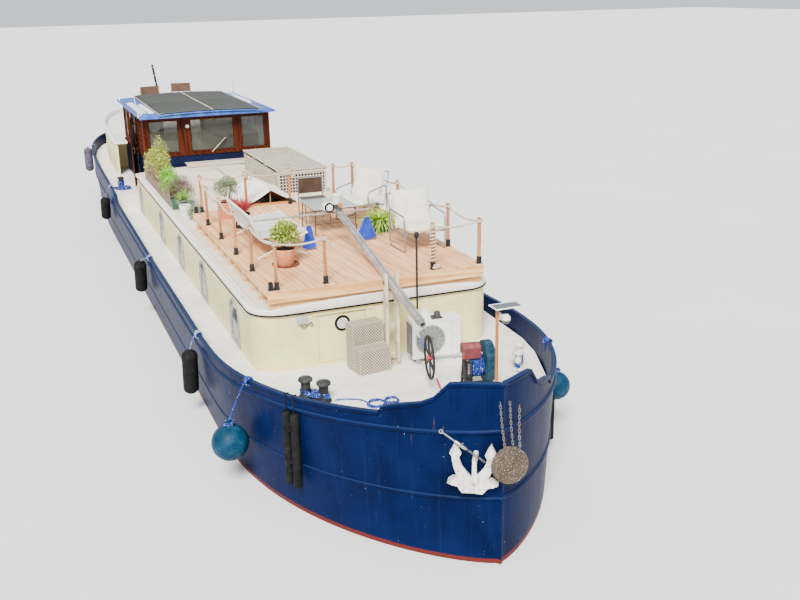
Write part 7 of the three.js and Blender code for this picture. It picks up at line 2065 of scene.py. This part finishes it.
# wheelhouse: mahogany frames over a navy base
house = {"half": 1.58, "y": (15.68, 19.45), "sill": 2.52, "head": 3.48, "pane": (2.61, 3.37)}
roofBlue = weathered("roofBlue", (0.026, 0.105, 0.42), (0.016, 0.06, 0.27), (0.12, 0.24, 0.52), (0.35, 0.6), 0.55,
                     5.0, 0.0006)
dress(navyPaint, "wheelhouse_coaming")
dress(mahogany, "wheelhouse_front", "wheelhouse_aft")
dress(mahoganyLow, "wheelhouse_side_starboard", "wheelhouse_side_port")
frontPanes, aftPanes = [(-1.43, -0.74), (-0.42, 0.64), (0.86, 1.43)], [(-1.43, -0.62), (0.62, 1.43)]
sidePanes = [(15.83, 16.17), (16.25, 16.56), (16.64, 16.98), (17.90, 18.58), (18.66, 19.33)]
z0, z1 = house["pane"]


def swapped(shape, sign):
    # x and y change places: a piece drawn for the front is turned to a side
    points, quads = shape
    return np.column_stack([sign * points[:, 1], points[:, 0], points[:, 2]]), quads


def beading(a, b, za, zb, depth, out):
    # four mitred strips round a pane: rings of a rectangle grown outwards, proud at the middle
    corners = lambda g: np.array([(a - g, za - g), (b + g, za - g), (b + g, zb + g), (a - g, zb + g)])
    level = lambda g, d: np.column_stack([corners(g)[:, 0], np.full(4, d), corners(g)[:, 1]])
    section = [(-0.004, -0.0012), (-0.004, 0.004), (0.006, 0.010), (0.016, 0.010), (0.020, 0.003), (0.020, -0.0012)]
    return skinOf([level(grow, depth + out * proud) for grow, proud in section], True)


front, rear = house["y"]
beads, sideBeads, panes = [], [], []
for openings, y, out in ((frontPanes, front, -1), (aftPanes, rear, 1)):
    for a, b in openings:
        beads.append(beading(a, b, z0, z1, y, out))
        panes.append(boxBetween((a + 0.002, y - out * 0.026, z0 + 0.002), (b - 0.002, y - out * 0.031, z1 - 0.002)))
for sign in (-1, 1):
    for a, b in sidePanes:
        sideBeads.append(swapped(beading(a, b, z0, z1, house["half"], 1), sign))
        deep, shallow = (sign * (house["half"] - d) for d in (0.031, 0.026))
        panes.append(boxBetween((deep, a + 0.002, z0 + 0.002), (shallow, b - 0.002, z1 - 0.002)))
piece("houseBeads", joined(*beads), mahoganyLow, smooth=False)
piece("houseSideBeads", joined(*sideBeads), mahoganyLow, smooth=False)
houseGlass = glassFinish("houseGlass", (0.20, 0.215, 0.19), 0.02, 0.80, 0.03)
piece("housePanes", joined(*panes), houseGlass, stands=["wheelhouse_glass"], smooth=False)
posts = [block((x - half, front - 0.012, house["sill"] + 0.02), (x + half, front - 0.0002, house["head"] - 0.03))
         for x, half in ((-0.58, 0.055), (0.75, 0.055), (-1.534, 0.045), (1.534, 0.045))]
grooves = [block((x - 0.003, front - 0.0135, house["sill"] + 0.03),
                 (x + 0.003, front - 0.0118, house["head"] - 0.04)) for x in (-0.60, -0.56, 0.73, 0.77)]
piece("housePosts", joined(*posts), mahogany, bevel=0.004, segments=2)
piece("houseGrooves", joined(*grooves), blackRubber, smooth=False)
sills = [block((-1.602, front - 0.026, house["sill"] - 0.018), (1.602, front - 0.0002, house["sill"] + 0.022)),
         block((-1.60, front - 0.016, house["head"] - 0.035), (1.60, front - 0.0002, house["head"] - 0.0005)),
         *(boxBetween((sign * 1.602, ya, house["sill"] - 0.018), (sign * 1.5802, yb, house["sill"] + 0.022))
           for sign, ya, yb in ((-1, 15.682, 17.078), (-1, 17.762, 19.448), (1, 15.682, 17.06),
                                (1, 17.762, 19.448)))]
piece("houseSills", joined(*sills), mahoganyLow, bevel=0.005, segments=3)
# slatted ledge below the front panes, on brackets
slatY = 15.335 + 0.062 * np.arange(6)
ledge = [blocks([(0.14, y, 2.3235) for y in slatY], (1.55, 0.050, 0.017)),
         block((-0.645, 15.281, 2.262), (0.925, 15.2998, 2.335))]
piece("ledgeSlats", joined(*ledge), silverWood, bevel=0.002)
bracket = [slab([(15.31, 2.286), (15.679, 2.286), (15.679, 2.10)], (x - 0.012, x + 0.012), "x") for x in (-0.60,
               0.14, 0.88)]
piece("ledgeBrackets", joined(*bracket), blackPaint, smooth=False)
# round lamp and wiper on the front
piece("lampBase", turned([(0.030, 0), (0.052, 0), (0.052, -0.012), (0.047, -0.018), (0.030, -0.020)],
                         (-0.504, 15.6675, 3.225), "y", 32), steelGrey)
piece("lampDome", turned([(0, -0.052), (0.018, -0.049), (0.034, -0.038), (0.044, -0.020), (0.046, -0.004),
                          (0.0, -0.002)], (-0.504, 15.652, 3.225), "y", 32), whitePlastic)
wipe = [bar((0.552, 15.640, 2.985), (0.30, 15.632, 2.762), 0.0065, 10),
        turned([(0.022, 0.044), (0.024, 0.008), (0.018, 0.0), (0.006, -0.008)], (0.552, 15.640, 2.985), "y", 20)]
piece("wiperArm", joined(*wipe), darkPlastic)
blade = np.array([(0.064, 15.646, 2.553), (0.30, 15.637, 2.770), (0.42, 15.646, 2.885)])
piece("wiperBlade", joined(ribbon(curveThrough(blade, 5), (0.68, 0, -0.73), 0.020, 0.008)), paleBatten)

# roof: blue painted edges with pale boards on them, canvas in two halves between battens
roof = {"half": 1.66, "y": (15.35, 19.95), "z": 3.4803, "camber": 0.06, "canvas": (-1.21, 1.325),
        "cloth": (15.338, 4.63),
        "hoops": (15.42, 17.62, 19.90), "middle": 0.095}
houseCamber = lambda x: 3.54 + roof["camber"] * (1 - (np.asarray(x, float) / roof["half"]) ** 2)


def roundedBox(half, ya, yb, za, top, radius):
    # plan rings drawn in by R - R cos t while the height climbs R sin t, closed on the camber above
    t, cols = np.linspace(0, np.pi / 2, 5), 33
    xs = np.linspace(-1, 1, cols)

    def ring(d):
        hx, a, b = half - d, ya + d, yb - d
        f = np.column_stack([xs * hx, np.full(cols, a)])
        s = np.column_stack([np.full(9, hx), np.linspace(a, b, 11)[1:-1]])
        return np.concatenate([f, s, f[::-1] * [1, 0] + [0, b], (s * [-1, 1])[::-1]])

    rows = [np.column_stack([ring(d), np.full(len(ring(d)), za)]) for d in (0.02, 0.0)]
    for k in t:
        p = ring(radius * (1 - math.cos(k)))
        rows.append(np.column_stack([p, top(p[:, 0]) - radius * (1 - math.sin(k))]))
    x, y, _ = rows[-1].T
    for k in (0.15, 0.4, 0.7, 1.0):
        rows.append(np.column_stack([x * (1 - k), y * (1 - k) + np.clip(y, ya + 1.2, yb - 1.2) * k,
                                     top(x * (1 - k))]))
    first = rows[0]
    spine = np.column_stack([0 * first[:, 0], np.clip(first[:, 1], ya + 1.2, yb - 1.2), first[:, 2]])
    return skinOf([spine] + rows, True)


piece("houseRoof", roundedBox(roof["half"], *roof["y"], roof["z"], houseCamber, 0.014), roofBlue,
      stands=["wheelhouse_roof"])
panels = []
for x, ya, yb, wide in ((-1.50, 15.98, 17.45, 0.17), (-1.315, 15.80, 17.9, 0.14), (-1.50, 17.6, 18.55, 0.17),
                        (1.425, 16.9, 19.0, 0.085), (1.50, 17.35, 19.7, 0.06)):
    tilt = math.atan(-2 * roof["camber"] * x / roof["half"] ** 2)
    shape = blocks([(0, 0, 0)], (wide, yb - ya, 0.012))
    pts = shape[0] @ np.array([[math.cos(tilt), 0, -math.sin(tilt)], [0, 1, 0],
                               [math.sin(tilt), 0, math.cos(tilt)]]).T
    pts[:, 2] = shape[0][:, 2] + shape[0][:, 0] * math.tan(tilt)
    panels.append((pts + [x, (ya + yb) / 2, float(houseCamber(x)) + 0.0085], shape[1]))
piece("roofPanels", joined(*panels), whitePaint, bevel=0.003)
hoops = []
hoopY = np.array(roof["hoops"])
canvasTop = lambda x, y: houseCamber(x) + 0.030 + 0.022 * (y - 15.4) / 4.5
for y in hoopY:
    xs = np.linspace(roof["canvas"][0] + 0.01, roof["canvas"][1] - 0.01, 15)
    hoops.append(tube(np.column_stack([xs, np.full(15, y), canvasTop(xs, y) - 0.0125]), 0.009, 8))
piece("canvasHoops", joined(*hoops), steelGrey)
for name, (xa, xb) in {"canvasStarboard": (roof["canvas"][0], roof["middle"] - 0.012),
                       "canvasPort": (roof["middle"] + 0.012, roof["canvas"][1])}.items():
    u, v = np.meshgrid(np.linspace(0, 1, 37), np.linspace(0, 1, 91), indexing="ij")
    x = xa + (xb - xa) * u
    y = roof["cloth"][0] + roof["cloth"][1] * v
    bay = np.abs(np.sin(np.pi * np.interp(y, hoopY, np.arange(3))))
    low = np.clip(1 - v / 0.016, 0, 1) + np.clip(1 - (1 - v) / 0.014, 0, 1)
    outerEdge = np.clip(1 - (u if xa < 0 else 1 - u) / 0.10, 0, 1)
    z = canvasTop(x, y) - 0.017 * bay - 0.075 * low ** 1.3 - 0.028 * outerEdge ** 1.5
    z = z + 0.0022 * np.sin(19.8 * x + 4 * v) * bay + 0.003 * np.sin(14 * y
        + 3 * u) * np.exp(-(outerEdge - 0.5) ** 2 * 9) + 0.0035 * np.exp(-((v - 0.5
            + 0.02 * np.sin(6 * u)) / 0.006) ** 2)
    mid = np.stack([x, y, z], -1)
    cloth = piece(name, clothSkin(mid, np.array([0, 0, 0.0014])), roofCanvas, flatTo=70)
    length, wide = pathLength(mid[18]), pathLength(mid[:, 45])
ys = np.linspace(15.36, 19.96, 24)
strips = []
for x, wide in ((roof["canvas"][0] + 0.002, 0.022), (roof["middle"], 0.034), (roof["canvas"][1] - 0.002, 0.020)):
    side = 0.020 if abs(x) > 0.5 else 0.0
    strips.append(ribbon(np.column_stack([np.full(24, x), ys, canvasTop(x, ys) + 0.006 - side]), (1, 0, 0), wide,
                         0.008))
piece("canvasBattens", joined(*strips), paleBatten)
whips = [((-1.655, 15.6, 3.50), (-1.81, 15.6, 4.69), whitePaint),
         ((-1.64, 19.5, 3.5), (-1.62, 19.5, 3.75), whitePaint), ((1.62, 19.8, 3.5), (1.639, 19.8, 3.94), steelGrey)]
for k, (a, b, finish) in enumerate(whips):
    a, b = np.array(a), np.array(b)
    u = unitOf(b - a)
    pole = tube([a, a + u * 0.12, a + u * 0.125, b], [0.016, 0.016, 0.0085, 0.0055], 10)
    piece("aerial" + str(k), joined(pole, turned([(0.024, 0), (0.026, 0.014), (0.018, 0.022)],
                                                 (a[0], a[1], float(houseCamber(a[0])) - 0.006), sides=16)),
          finish)
piece("aerialArm", bar((-1.655, 15.6, 3.535), (-1.585, 15.6, 3.575), 0.010, 8), steelGrey)
print("wheelhouse and its roof")

# door leaves, drawn round the hinge line and then turned
leafY, leafZ, leafX = (0.006, 0.671), (1.705, 3.398), (0.014, 0.046)


def atLeaf(shape, sign, turn):
    # from the leaf's own axes, about its hinge line, to the boat's
    points, quads = shape
    points = points * [-sign, 1, 1] @ turnZ(turn)[0].T
    return points + [sign * 1.594, 17.08, 0], quads


for side, sign, turn in (("Starboard", -1, math.radians(166)), ("Port", 1, 0.0)):
    body = "wheelhouse_door_" + side.lower()
    (ya, yb), (za, zb), (xa, xb) = leafY, leafZ, leafX
    pa, pb, pz0, pz1 = ya + 0.11, yb - 0.11, 2.58, zb - 0.11
    stiles = [block((xa, ya, za), (xb, pa, zb)), block((xa, pb, za), (xb, yb, zb)),
              block((xa, pa, pz1), (xb, pb, zb)), block((xa, pa, pz0 - 0.12), (xb, pb, pz0)),
              block((xa, pa, za), (xb, pb, za + 0.14))]
    panel = blocks([((xa + xb) / 2, pa + (pb - pa) * (k + 0.5) / 4, (za + 0.14 + pz0 - 0.12) / 2)
                    for k in range(4)], ((xb - xa) * 0.45, (pb - pa) / 4 - 0.004, pz0 - 0.26 - za))
    lead = [block((xa + 0.008, pa, pz0), (xb - 0.008, pa + 0.012, pz1)),
            block((xa + 0.008, pb - 0.012, pz0), (xb - 0.008, pb, pz1)),
            block((xa + 0.008, pa, pz0), (xb - 0.008, pb, pz0 + 0.012)),
            block((xa + 0.008, pa, pz1 - 0.012), (xb - 0.008, pb, pz1))]
    piece("leaf" + side, atLeaf(joined(*stiles, panel, *lead), sign, turn), mahogany, body=body,
          stands=[body], bevel=0.003, segments=2)
    piece("leafGlass" + side, atLeaf(block((xa + 0.013, pa + 0.002, pz0 + 0.002),
                                           (xa + 0.018, pb - 0.002, pz1 - 0.002)), sign, turn), glassDark,
          body=body, smooth=False)
    grip = [*(bar((xa, pb + 0.028, z), (xa - 0.033, pb + 0.028, z), 0.006, 8) for z in (2.53, 2.65)),
            bar((xa - 0.033, pb + 0.028, 2.525), (xa - 0.033, pb + 0.028, 2.655), 0.0075, 10)]
    knuckles = [turned([(0.007, 0.0010), (0.007, 0.0690)], (0, 0, z), sides=14) for z in (2.68,
                    3.20)] + [block((0.005, 0.0060, z + 0.003), (0.017, 0.0095, z + 0.067)) for z in (2.68, 3.20)]
    piece("leafMetal" + side, atLeaf(joined(*grip, *knuckles), sign, turn), bronze, body=body)

# helm: wooden rim and spokes on a bronze hub
helm = {"hub": (-0.95, 16.3253, 2.30), "rim": 0.318, "spokes": 6, "reach": (0.03, 0.306)}
hub = np.array(helm["hub"])
helmRing = loop(helm["rim"], 0.0135, hub, "y", 64, 12)
spokes = [bar(hub + d * helm["reach"][0], hub + d * helm["reach"][1], 0.010, 10)
          for d in np.column_stack([np.cos(fullTurn(helm["spokes"])), np.zeros(helm["spokes"]),
                                    np.sin(fullTurn(helm["spokes"]))])]
piece("helmRim", joined(helmRing, *spokes), mahogany, body="helm_wheel", stands=["helm_wheel"])
piece("helmHub", turned([(0.0, -0.026), (0.030, -0.026), (0.042, -0.018), (0.045, -0.006), (0.045, 0.010),
                         (0.038, 0.022), (0.022, 0.030), (0, 0.032)], hub, "y", 32), bronze, body="helm_wheel")
console = [block((-1.352, 15.788, 2.4402), (-0.548, 16.242, 2.462)),
           block((-1.30, 16.2403, 1.80), (-0.60, 16.250, 2.10)),
           slab([(15.80, 2.462), (16.00, 2.462), (15.95, 2.54), (15.80, 2.56)], (-1.20, -0.72), "x")]
piece("helmTop", joined(*console), mahoganyLow, bevel=0.004)
dial = turned([(0, 0.008), (0.036, 0.008), (0.042, 0.002), (0.042, -0.006), (0, -0.006)], sides=24)
piece("helmDials", joined(*(moved(dial, (x, 15.975, 2.505), 0.0, -1.0) for x in (-1.10, -0.96, -0.82))), bronze)
seat = [turned([(0.19, 0.58), (0.20, 0.60), (0.20, 0.65), (0.17, 0.67), (0, 0.675)], (-0.95, 16.95, 1.70),
               sides=28), turned([(0.16, 0.0), (0.16, 0.02), (0.03, 0.04), (0.028, 0.58)], (-0.95, 16.95, 1.6905),
                                 sides=20)]
piece("helmStool", joined(*seat), brownCanvas)
print("doors and helm")

# aft cabin roof: a plate inside a rim that climbs towards the stern
aft = {"y0": 18.46, "front": 19.51, "in": (0.405, 0.46), "z": (2.50, 2.555), "rise": ((18.40, 2.58), (20.0, 2.71))}
stations = np.concatenate([np.linspace(aft["y0"], 24.0, 40), np.linspace(24.1, 25.86, 26)])


def aftLine(inset):
    # plan line of the stern a distance inset within the hull's side, from starboard round to port
    half = sideLine(stations, 1.66, -inset)[:, :2]
    return np.concatenate([half, half[::-1] * [-1, 1]])


outerLine, innerLine = (aftLine(inset) for inset in aft["in"])
topZ = np.interp(outerLine[:, 1], *zip(*aft["rise"]))
mix = lambda k: outerLine * (1 - k) + innerLine * k
rows = [(outerLine, np.full(len(topZ), aft["z"][0])), (outerLine, topZ - 0.010), (mix(0.15), topZ - 0.002),
        (mix(0.35), topZ), (mix(0.65), topZ), (mix(0.85), topZ - 0.002), (innerLine, topZ - 0.010),
        (innerLine, np.full(len(topZ), aft["z"][0]))]
rimShape = shell(np.stack([np.column_stack([p, z]) for p, z in rows], 1))
piece("aftRim", rimShape, whitePaint, stands=["aft_cabin_roof"])
keep = innerLine[:, 1] >= aft["front"]
plate = np.concatenate([[[innerLine[keep][0, 0], aft["front"]]], innerLine[keep],
                        [[innerLine[keep][-1, 0], aft["front"]]]])
horn = innerLine[(~keep) & (innerLine[:, 0] < 0)]
horns = [slab(np.concatenate([horn * [sign, 1], [[-sign * abs(horn[-1, 0]), aft["front"]],
                                                 [sign * -1.66, aft["front"]], [sign * -1.66, aft["y0"]]]]),
              aft["z"], "z") for sign in (1, -1)]
piece("aftPlate", joined(slab(plate, aft["z"], "z"), *horns), deckPaint)
dress(creamPaint, "aft_cabin")

# two director chairs on the sitting deck
chairTeak = woodFinish("chairTeak", (0.40, 0.29, 0.19), (0.30, 0.205, 0.13), (0.15, 0.10, 0.06), "z", 22, 80, 0.65,
                       greying=0.35)
for k, (cx, cy, turn) in enumerate([(-0.26, 22.70, 0.25), (0.70, 23.30, -0.2)]):
    put = lambda s: moved((s[0] * [1.12, 1.12, 1.15], s[1]), (cx, cy, 2.5555), turn)
    frame = []
    for x in (-0.27, 0.27):
        frame += [blocks([at], size) for at, size in (
            ((x, 0.0, 0.020), (0.028, 0.46, 0.026)), ((x, -0.215, 0.335), (0.026, 0.030, 0.60)),
                                                      ((x, 0.220, 0.455), (0.026, 0.030, 0.87)),
            ((x, 0.0, 0.645), (0.045, 0.50, 0.018)), ((x * 0.96, 0.0, 0.448), (0.022, 0.44, 0.024)))]
    for y in (-0.20, 0.20):
        frame += [ribbon(np.array([(-0.262, y, 0.032), (0.262, y + 0.002, 0.440)]), (0, 1, 0), 0.018, 0.024),
                  ribbon(np.array([(0.262, y + 0.020, 0.032), (-0.262, y + 0.022, 0.440)]), (0, 1, 0), 0.018,
                         0.024)]
    piece("directorFrame" + str(k), put(joined(*frame)), chairTeak, bevel=0.002)
    seatPiece = piece("directorSeat" + str(k), put(clothPanel([(-0.262, -0.20, 0.462), (0.262, -0.20, 0.462),
                                                               (0.262, 0.20, 0.462), (-0.262, 0.20, 0.462)],
                                                              -0.022)), brownCanvas)
    backPiece = piece("directorBack" + str(k), put(clothPanel([(-0.283, 0.218, 0.655), (0.283, 0.218, 0.655),
                                                               (0.283, 0.222, 0.888), (-0.283, 0.222, 0.888)],
                                                              -0.016)), brownCanvas)

# flagstaff with a furled plain flag
staff = {"foot": (0.36, 25.30, 2.52), "head": (0.13, 25.30, 4.28), "turns": 2.6, "ties": (0.95, 1.20, 1.47)}
foot, head = np.array(staff["foot"]), np.array(staff["head"])
piece("flagstaff", joined(tube([foot, head], [0.020, 0.0135], 16),
                          turned([(0, 0.0), (0.024, 0.004), (0.026, 0.022), (0.014, 0.036), (0, 0.038)],
                                 head - [0, 0, 0.006], sides=16)), whitePaint)
u = unitOf(head - foot)
a, v = np.linspace(0, 1, 110)[:, None], np.linspace(0, 1, 60)[None]
furlCloth = clothFinish("furlCloth", (0.012, 0.016, 0.040), (0.006, 0.008, 0.02), 0.0025, stain=0.1)
# the cloth rolls round the staff: angle = 2 pi turns a, its radius grows by one thickness a turn
angle = 2 * np.pi * staff["turns"] * a + 2.2 * v + 0.25 * np.sin(9 * v)
radius = 0.0185 + 0.0075 * a * staff["turns"] * (0.75
                                                 + 0.45 * np.sin(np.pi * v) ** 0.5) + 0.0020 * np.sin(5 * angle
                                                     + 6 * v) * a
centre = (foot + u * (0.84 + 0.72 * v[..., None]))
acrossU = unitOf(np.cross(u, [0, 1, 0]))
acrossV = np.cross(u, acrossU)
mid = centre + (radius * np.cos(angle))[..., None] * acrossU + (radius * np.sin(angle))[..., None] * acrossV
outward = (np.cos(angle))[..., None] * acrossU + (np.sin(angle))[..., None] * acrossV


furled = piece("furledFlag", clothSkin(mid, outward * 0.0016 / 2), furlCloth, flatTo=80)
q = fullTurn(24)
bands = [tubeRing(foot + u * h + 0.0395 * (np.cos(q)[:, None] * acrossU + np.sin(q)[:, None] * acrossV), 0.004, 8)
         for h in staff["ties"]]
piece("flagTies", joined(*bands), whiteCloth)
print("aft cabin and flagstaff")

# tabernacle: two cream posts with braces and a pin
creamPost = weathered("creamPost", (0.66, 0.57, 0.39), (0.42, 0.35, 0.23), (0.78, 0.70, 0.52), (0.4, 0.65), 0.7,
                      6.0, 0.0008, rust=(0.24, 0.12, 0.055), rustAmount=0.60)
tab = {"x": 0.06, "y": 3.47, "z": 2.475, "gap": 0.062, "post": 0.04}
posts = [boxBetween((tab["x"] + sign * tab["gap"], 3.42, 1.262), (tab["x"] + sign * (tab["gap"] + tab["post"]),
                        3.52, 2.60)) for sign in (-1, 1)]
lips = [boxBetween((tab["x"] + sign * 0.102, 3.424, 1.27), (tab["x"] + sign * 0.108, 3.43, 2.59)) for sign in (-1,
            1)]
base = [block((tab["x"] - 0.110, 3.37, 1.2504), (tab["x"] + 0.110, 3.59, 1.266))]
braces = [block((tab["x"] - 0.102, 3.522, z), (tab["x"] + 0.102, 3.556, z + 0.09)) for z in (1.30, 1.75, 2.20)]
piece("tabernaclePosts", joined(*posts, *lips, *base, *braces), creamPost,
      stands=["tabernacle"], bevel=0.004, segments=2)
boltHeads = [turned([(0, 0), (0.034, 0), (0.034, sign * 0.012), (0.026, sign * 0.018), (0, sign * 0.018)],
                    (tab["x"] + sign * 0.102, tab["y"], tab["z"]), "x", 6)
          for sign in (1, -1)]
piece("tabernacleBolts", joined(*boltHeads, *[turned([(0, 0.014), (0.010, 0.014), (0.013, 0.010), (0.013, 0)],
                                                     (tab["x"] + dx, tab["y"] + dy, 1.266), sides=6)
                                              for dx in (-0.085, 0.085) for dy in (-0.075, 0.09)]), rustySteel)

# lowered mast: flat-sided beam, round pipe at the heel, yard and lamps at the head
mast = {"half": (0.050, 0.044), "slope": 0.2516, "yard": (5.65, 3.034, -1.321, 0.558)}
mastGrey = weathered("mastGrey", (0.40, 0.395, 0.38), (0.22, 0.215, 0.205), (0.56, 0.555, 0.54), (0.3, 0.5), 0.6,
                     7.0, 0.0006, metal=0.35, rust=(0.25, 0.15, 0.09), rustAmount=0.66)
mastPoint = lambda y: np.array([tab["x"], y, tab["z"] + (y - tab["y"]) * mast["slope"]])
ys = np.array([2.412, 3.0, 3.47, 4.2, 5.0, 5.69])
path = np.array([mastPoint(y) for y in ys])
tangent = np.array([0, 1, mast["slope"]]) / math.hypot(1, mast["slope"])
mastUp = np.array([0, -tangent[2], tangent[1]])
half = np.interp(ys, [2.34, 5.7], mast["half"])
cut = 1 - 0.010 / 0.05    # where the bevel of each corner starts
section = [(1, cut), (cut, 1), (-cut, 1), (-1, cut), (-1, -cut), (-cut, -1), (cut, -1), (1, -cut)]
rings = np.array([[p + np.array([sx * halfHere, 0, 0]) + mastUp * sz * halfHere for sx, sz in section] for p,
                  halfHere in zip(path, half)])
piece("mastBeam", shell(rings), mastGrey, body="mast", stands=["mast"], smooth=False)
piece("mastTrack", ribbon(path + mastUp[None] * (half[:, None] + 0.0015), (1, 0, 0), 0.020, 0.003), steelGrey,
      body="mast")
piece("mastHeel", turned([(0.030, 0.060), (0.030, 0.0), (0.036, -0.005), (0.0455, -0.005), (0.0480, 0.0),
                          (0.0480, 0.082), (0.0, 0.084), (0.0, 0.060), (0.030, 0.060)], (0, 0, 0), sides=36),
      steelGrey, body="mast")
heel = bpy.data.objects["mastHeel"]
turnTo = np.stack([np.array([1.0, 0, 0]), -mastUp, tangent], 1)
co = np.empty(len(heel.data.vertices) * 3, np.float32)
heel.data.vertices.foreach_get("co", co)
heel.data.vertices.foreach_set("co", np.ascontiguousarray(co.reshape(-1, 3) @ turnTo.T + mastPoint(2.347),
                                                          np.float32).ravel())
heel.data.update()
yardY, yardZ, xa, xb = mast["yard"]
fittings = [bar((xa, yardY, yardZ), (xb, yardY, yardZ), 0.0155, 16),
            *(turned([(0, -sign * 0.004), (0.015, -sign * 0.004), (0.018, 0.0), (0.018, sign * 0.018),
                      (0.0155, sign * 0.02)], (x, yardY, yardZ), "x", 16) for x, sign in ((xa, 1), (xb, -1))),
            tubeRing(np.array([(0.06 + sx, yardY - 0.004, yardZ + sz) for sx,
                               sz in ((-0.048, 0.048), (0.048, 0.048), (0.048, -0.048), (-0.048, -0.048))]) + [0,
                         0.002, -0.008], 0.006, 6), bar((-0.129, yardY, yardZ), (-0.129, yardY, 3.072), 0.014, 12),
            bar((0.02, yardY - 0.02, 3.030), (0.02, yardY - 0.02, 3.118), 0.014, 12)]
piece("mastYard", joined(*fittings), mastGrey, body="mast")
lampA = (-0.129, yardY, 3.065)
piece("lampRound", turned([(0, 0.002), (0.070, 0.0), (0.086, 0.008), (0.090, 0.024), (0.090, 0.112),
                           (0.082, 0.128), (0.060, 0.138), (0, 0.140)], lampA, sides=40), whitePlastic,
      body="mast")
piece("lampRoundRing", joined(turned([(0.054, 0.012), (0.056, -0.010), (0.062, -0.015), (0.072, -0.015),
                                      (0.078, -0.010), (0.079, 0.014)], (-0.129, yardY - 0.078, 3.135), "y", 36),
                              loop(0.091, 0.005, (-0.129, yardY, 3.085), "z", 40, 8)), blackRubber, body="mast")
piece("lampRoundGlass", turned([(0, -0.008), (0.030, -0.006), (0.055, 0.002), (0.055, 0.012), (0, 0.012)],
                               (-0.129, yardY - 0.081, 3.135), "y", 32), lensGlass, body="mast")
lampB = (0.01, yardY - 0.02, 3.115)
piece("lampTall", turned([(0, 0), (0.060, 0.0), (0.076, 0.006), (0.080, 0.018), (0.080, 0.050), (0.070, 0.060)],
                         lampB, sides=36), darkPlastic, body="mast")
piece("lampTallLens", turned([(0, 0.059), (0.066, 0.060)] + [(0.068 + 0.004 * (k % 2), 0.062 + 0.0105 * k)
                                                             for k in range(13)] + [(0.064, 0.196), (0, 0.198)],
                             lampB, sides=36), lensGlass, body="mast")
piece("lampTallCap", turned([(0.058, 0.196), (0.074, 0.197), (0.078, 0.205), (0.062, 0.222), (0.025, 0.229),
                             (0, 0.230)], lampB, sides=36), whitePlastic, body="mast")
piece("lampTallBox", block((0.005, yardY - 0.118, 3.135), (0.075, yardY - 0.094, 3.205)), lampOrange, body="mast",
      bevel=0.006, segments=2)

# plain flags gathered at their upper corner, hanging in folds
flags = {"flagStarboard": {"at": (-0.485, 5.58), "spread": 0.23, "cloth": 0.36, "z": (2.502, 2.893), "shift": 0.0},
         "flagPort": {"at": (0.555, 5.77), "spread": 0.35, "cloth": 0.50, "z": (2.502, 2.883), "shift": 1.1}}
for name, f in flags.items():
    (x, y), (za, zb), shift = f["at"], f["z"], f["shift"]
    u, v = np.linspace(0, 1, 120)[:, None], np.linspace(0, 1, 46)[None]
    wide = 0.060 + (f["spread"] - 0.060) * v ** 0.8
    folds = 4.0
    # a fold's height: wave length / 2 pi x root of 2 ((cloth / width)^2 - 1)
    amp = np.minimum(wide / folds / (2 * np.pi) * np.sqrt(2 * np.maximum((f["cloth"] / wide) ** 2 - 1,
                                                              0.02)) * 0.80, 0.026)
    phase = 2 * np.pi * folds * u + shift + 0.8 * np.sin(3 * v)
    xx = x + wide * (u - 0.5) + 0.004 * np.sin(2 * phase)
    yy = y - 0.02 * (1 - v) + amp * np.sin(phase) * (0.75 + 0.25 * np.sin(5 * u + 2 * v + shift))
    z = zb - (zb - za) * v * (1 - 0.10 * (1 - np.sin(np.pi * u)) * v) + 0 * u
    mid = np.stack([xx, yy, z], -1)
    du, dv = np.gradient(mid, axis=0), np.gradient(mid, axis=1)
    flag = piece(name, clothSkin(mid, rowUnits(np.cross(du, dv)) * 0.0012 / 2), flagCloth, body="mast",
                 flatTo=85)
lines = {"flagStarboardLine": [(-0.470, 5.65, 3.034), (-0.476, 5.62, 2.95), (-0.485, 5.575, 2.885)],
         "flagPortLine": [(0.535, 5.65, 3.034), (0.545, 5.70, 2.95), (0.555, 5.755, 2.876)]}
for name, pts in lines.items():
    knot = tubeRing(np.array([(pts[0][0], yardY + 0.019 * math.cos(a), yardZ + 0.019 * math.sin(a))
                              for a in fullTurn(12)]), 0.004, 6)
    piece(name, joined(tube(curveThrough(pts, 5), 0.0045, 8), knot), creamRope, body="mast")

# striped marker pole that leans on the condenser
pole = {"foot": (0.287, 2.28, 1.262), "top": (0.33, 3.20, 1.80), "cuts": (0.0, 0.17, 0.30, 0.52, 0.66, 0.86, 1.0),
        "radius": 0.0135}
foot, cuts = np.array(pole["foot"]), pole["cuts"]
poleRun = np.array(pole["top"]) - foot
for k, finish in enumerate([redPlastic, whitePlastic, roofBlue, whitePlastic, roofBlue, whitePlastic]):
    piece("markerPole" + str(k), tube([foot + poleRun * cuts[k], foot + poleRun * (cuts[k + 1] - 0.0005)],
                                      pole["radius"], 14), finish)
print("tabernacle, mast and flags")
dress(bronze, "propeller")
dress(blackPaint, "rudder")

# a heap of blue rope by the aft bollard, and turns round its stem
t = np.linspace(0, 1, 260)
heap = np.column_stack([-2.09 + (0.16 + 0.05 * np.sin(19 * t)) * np.cos(2 * np.pi * 5.3 * t) * (1 - 0.35 * t),
                        16.36 + (0.13 + 0.035 * np.cos(23 * t)) * np.sin(2 * np.pi * 5.3 * t) * (1 - 0.35 * t),
                        1.678 + 0.075 * t + 0.010 * np.sin(31 * t)])
stem = wound((-2.13, 16.55, 1.72), (-2.13, 16.55, 1.86), 0.060, 0.012, 5)
piece("aftRope", joined(laidRope(heap, 0.0125, 0.085, 9), laidRope(stem, 0.012, 0.085, 9)), blueRope)
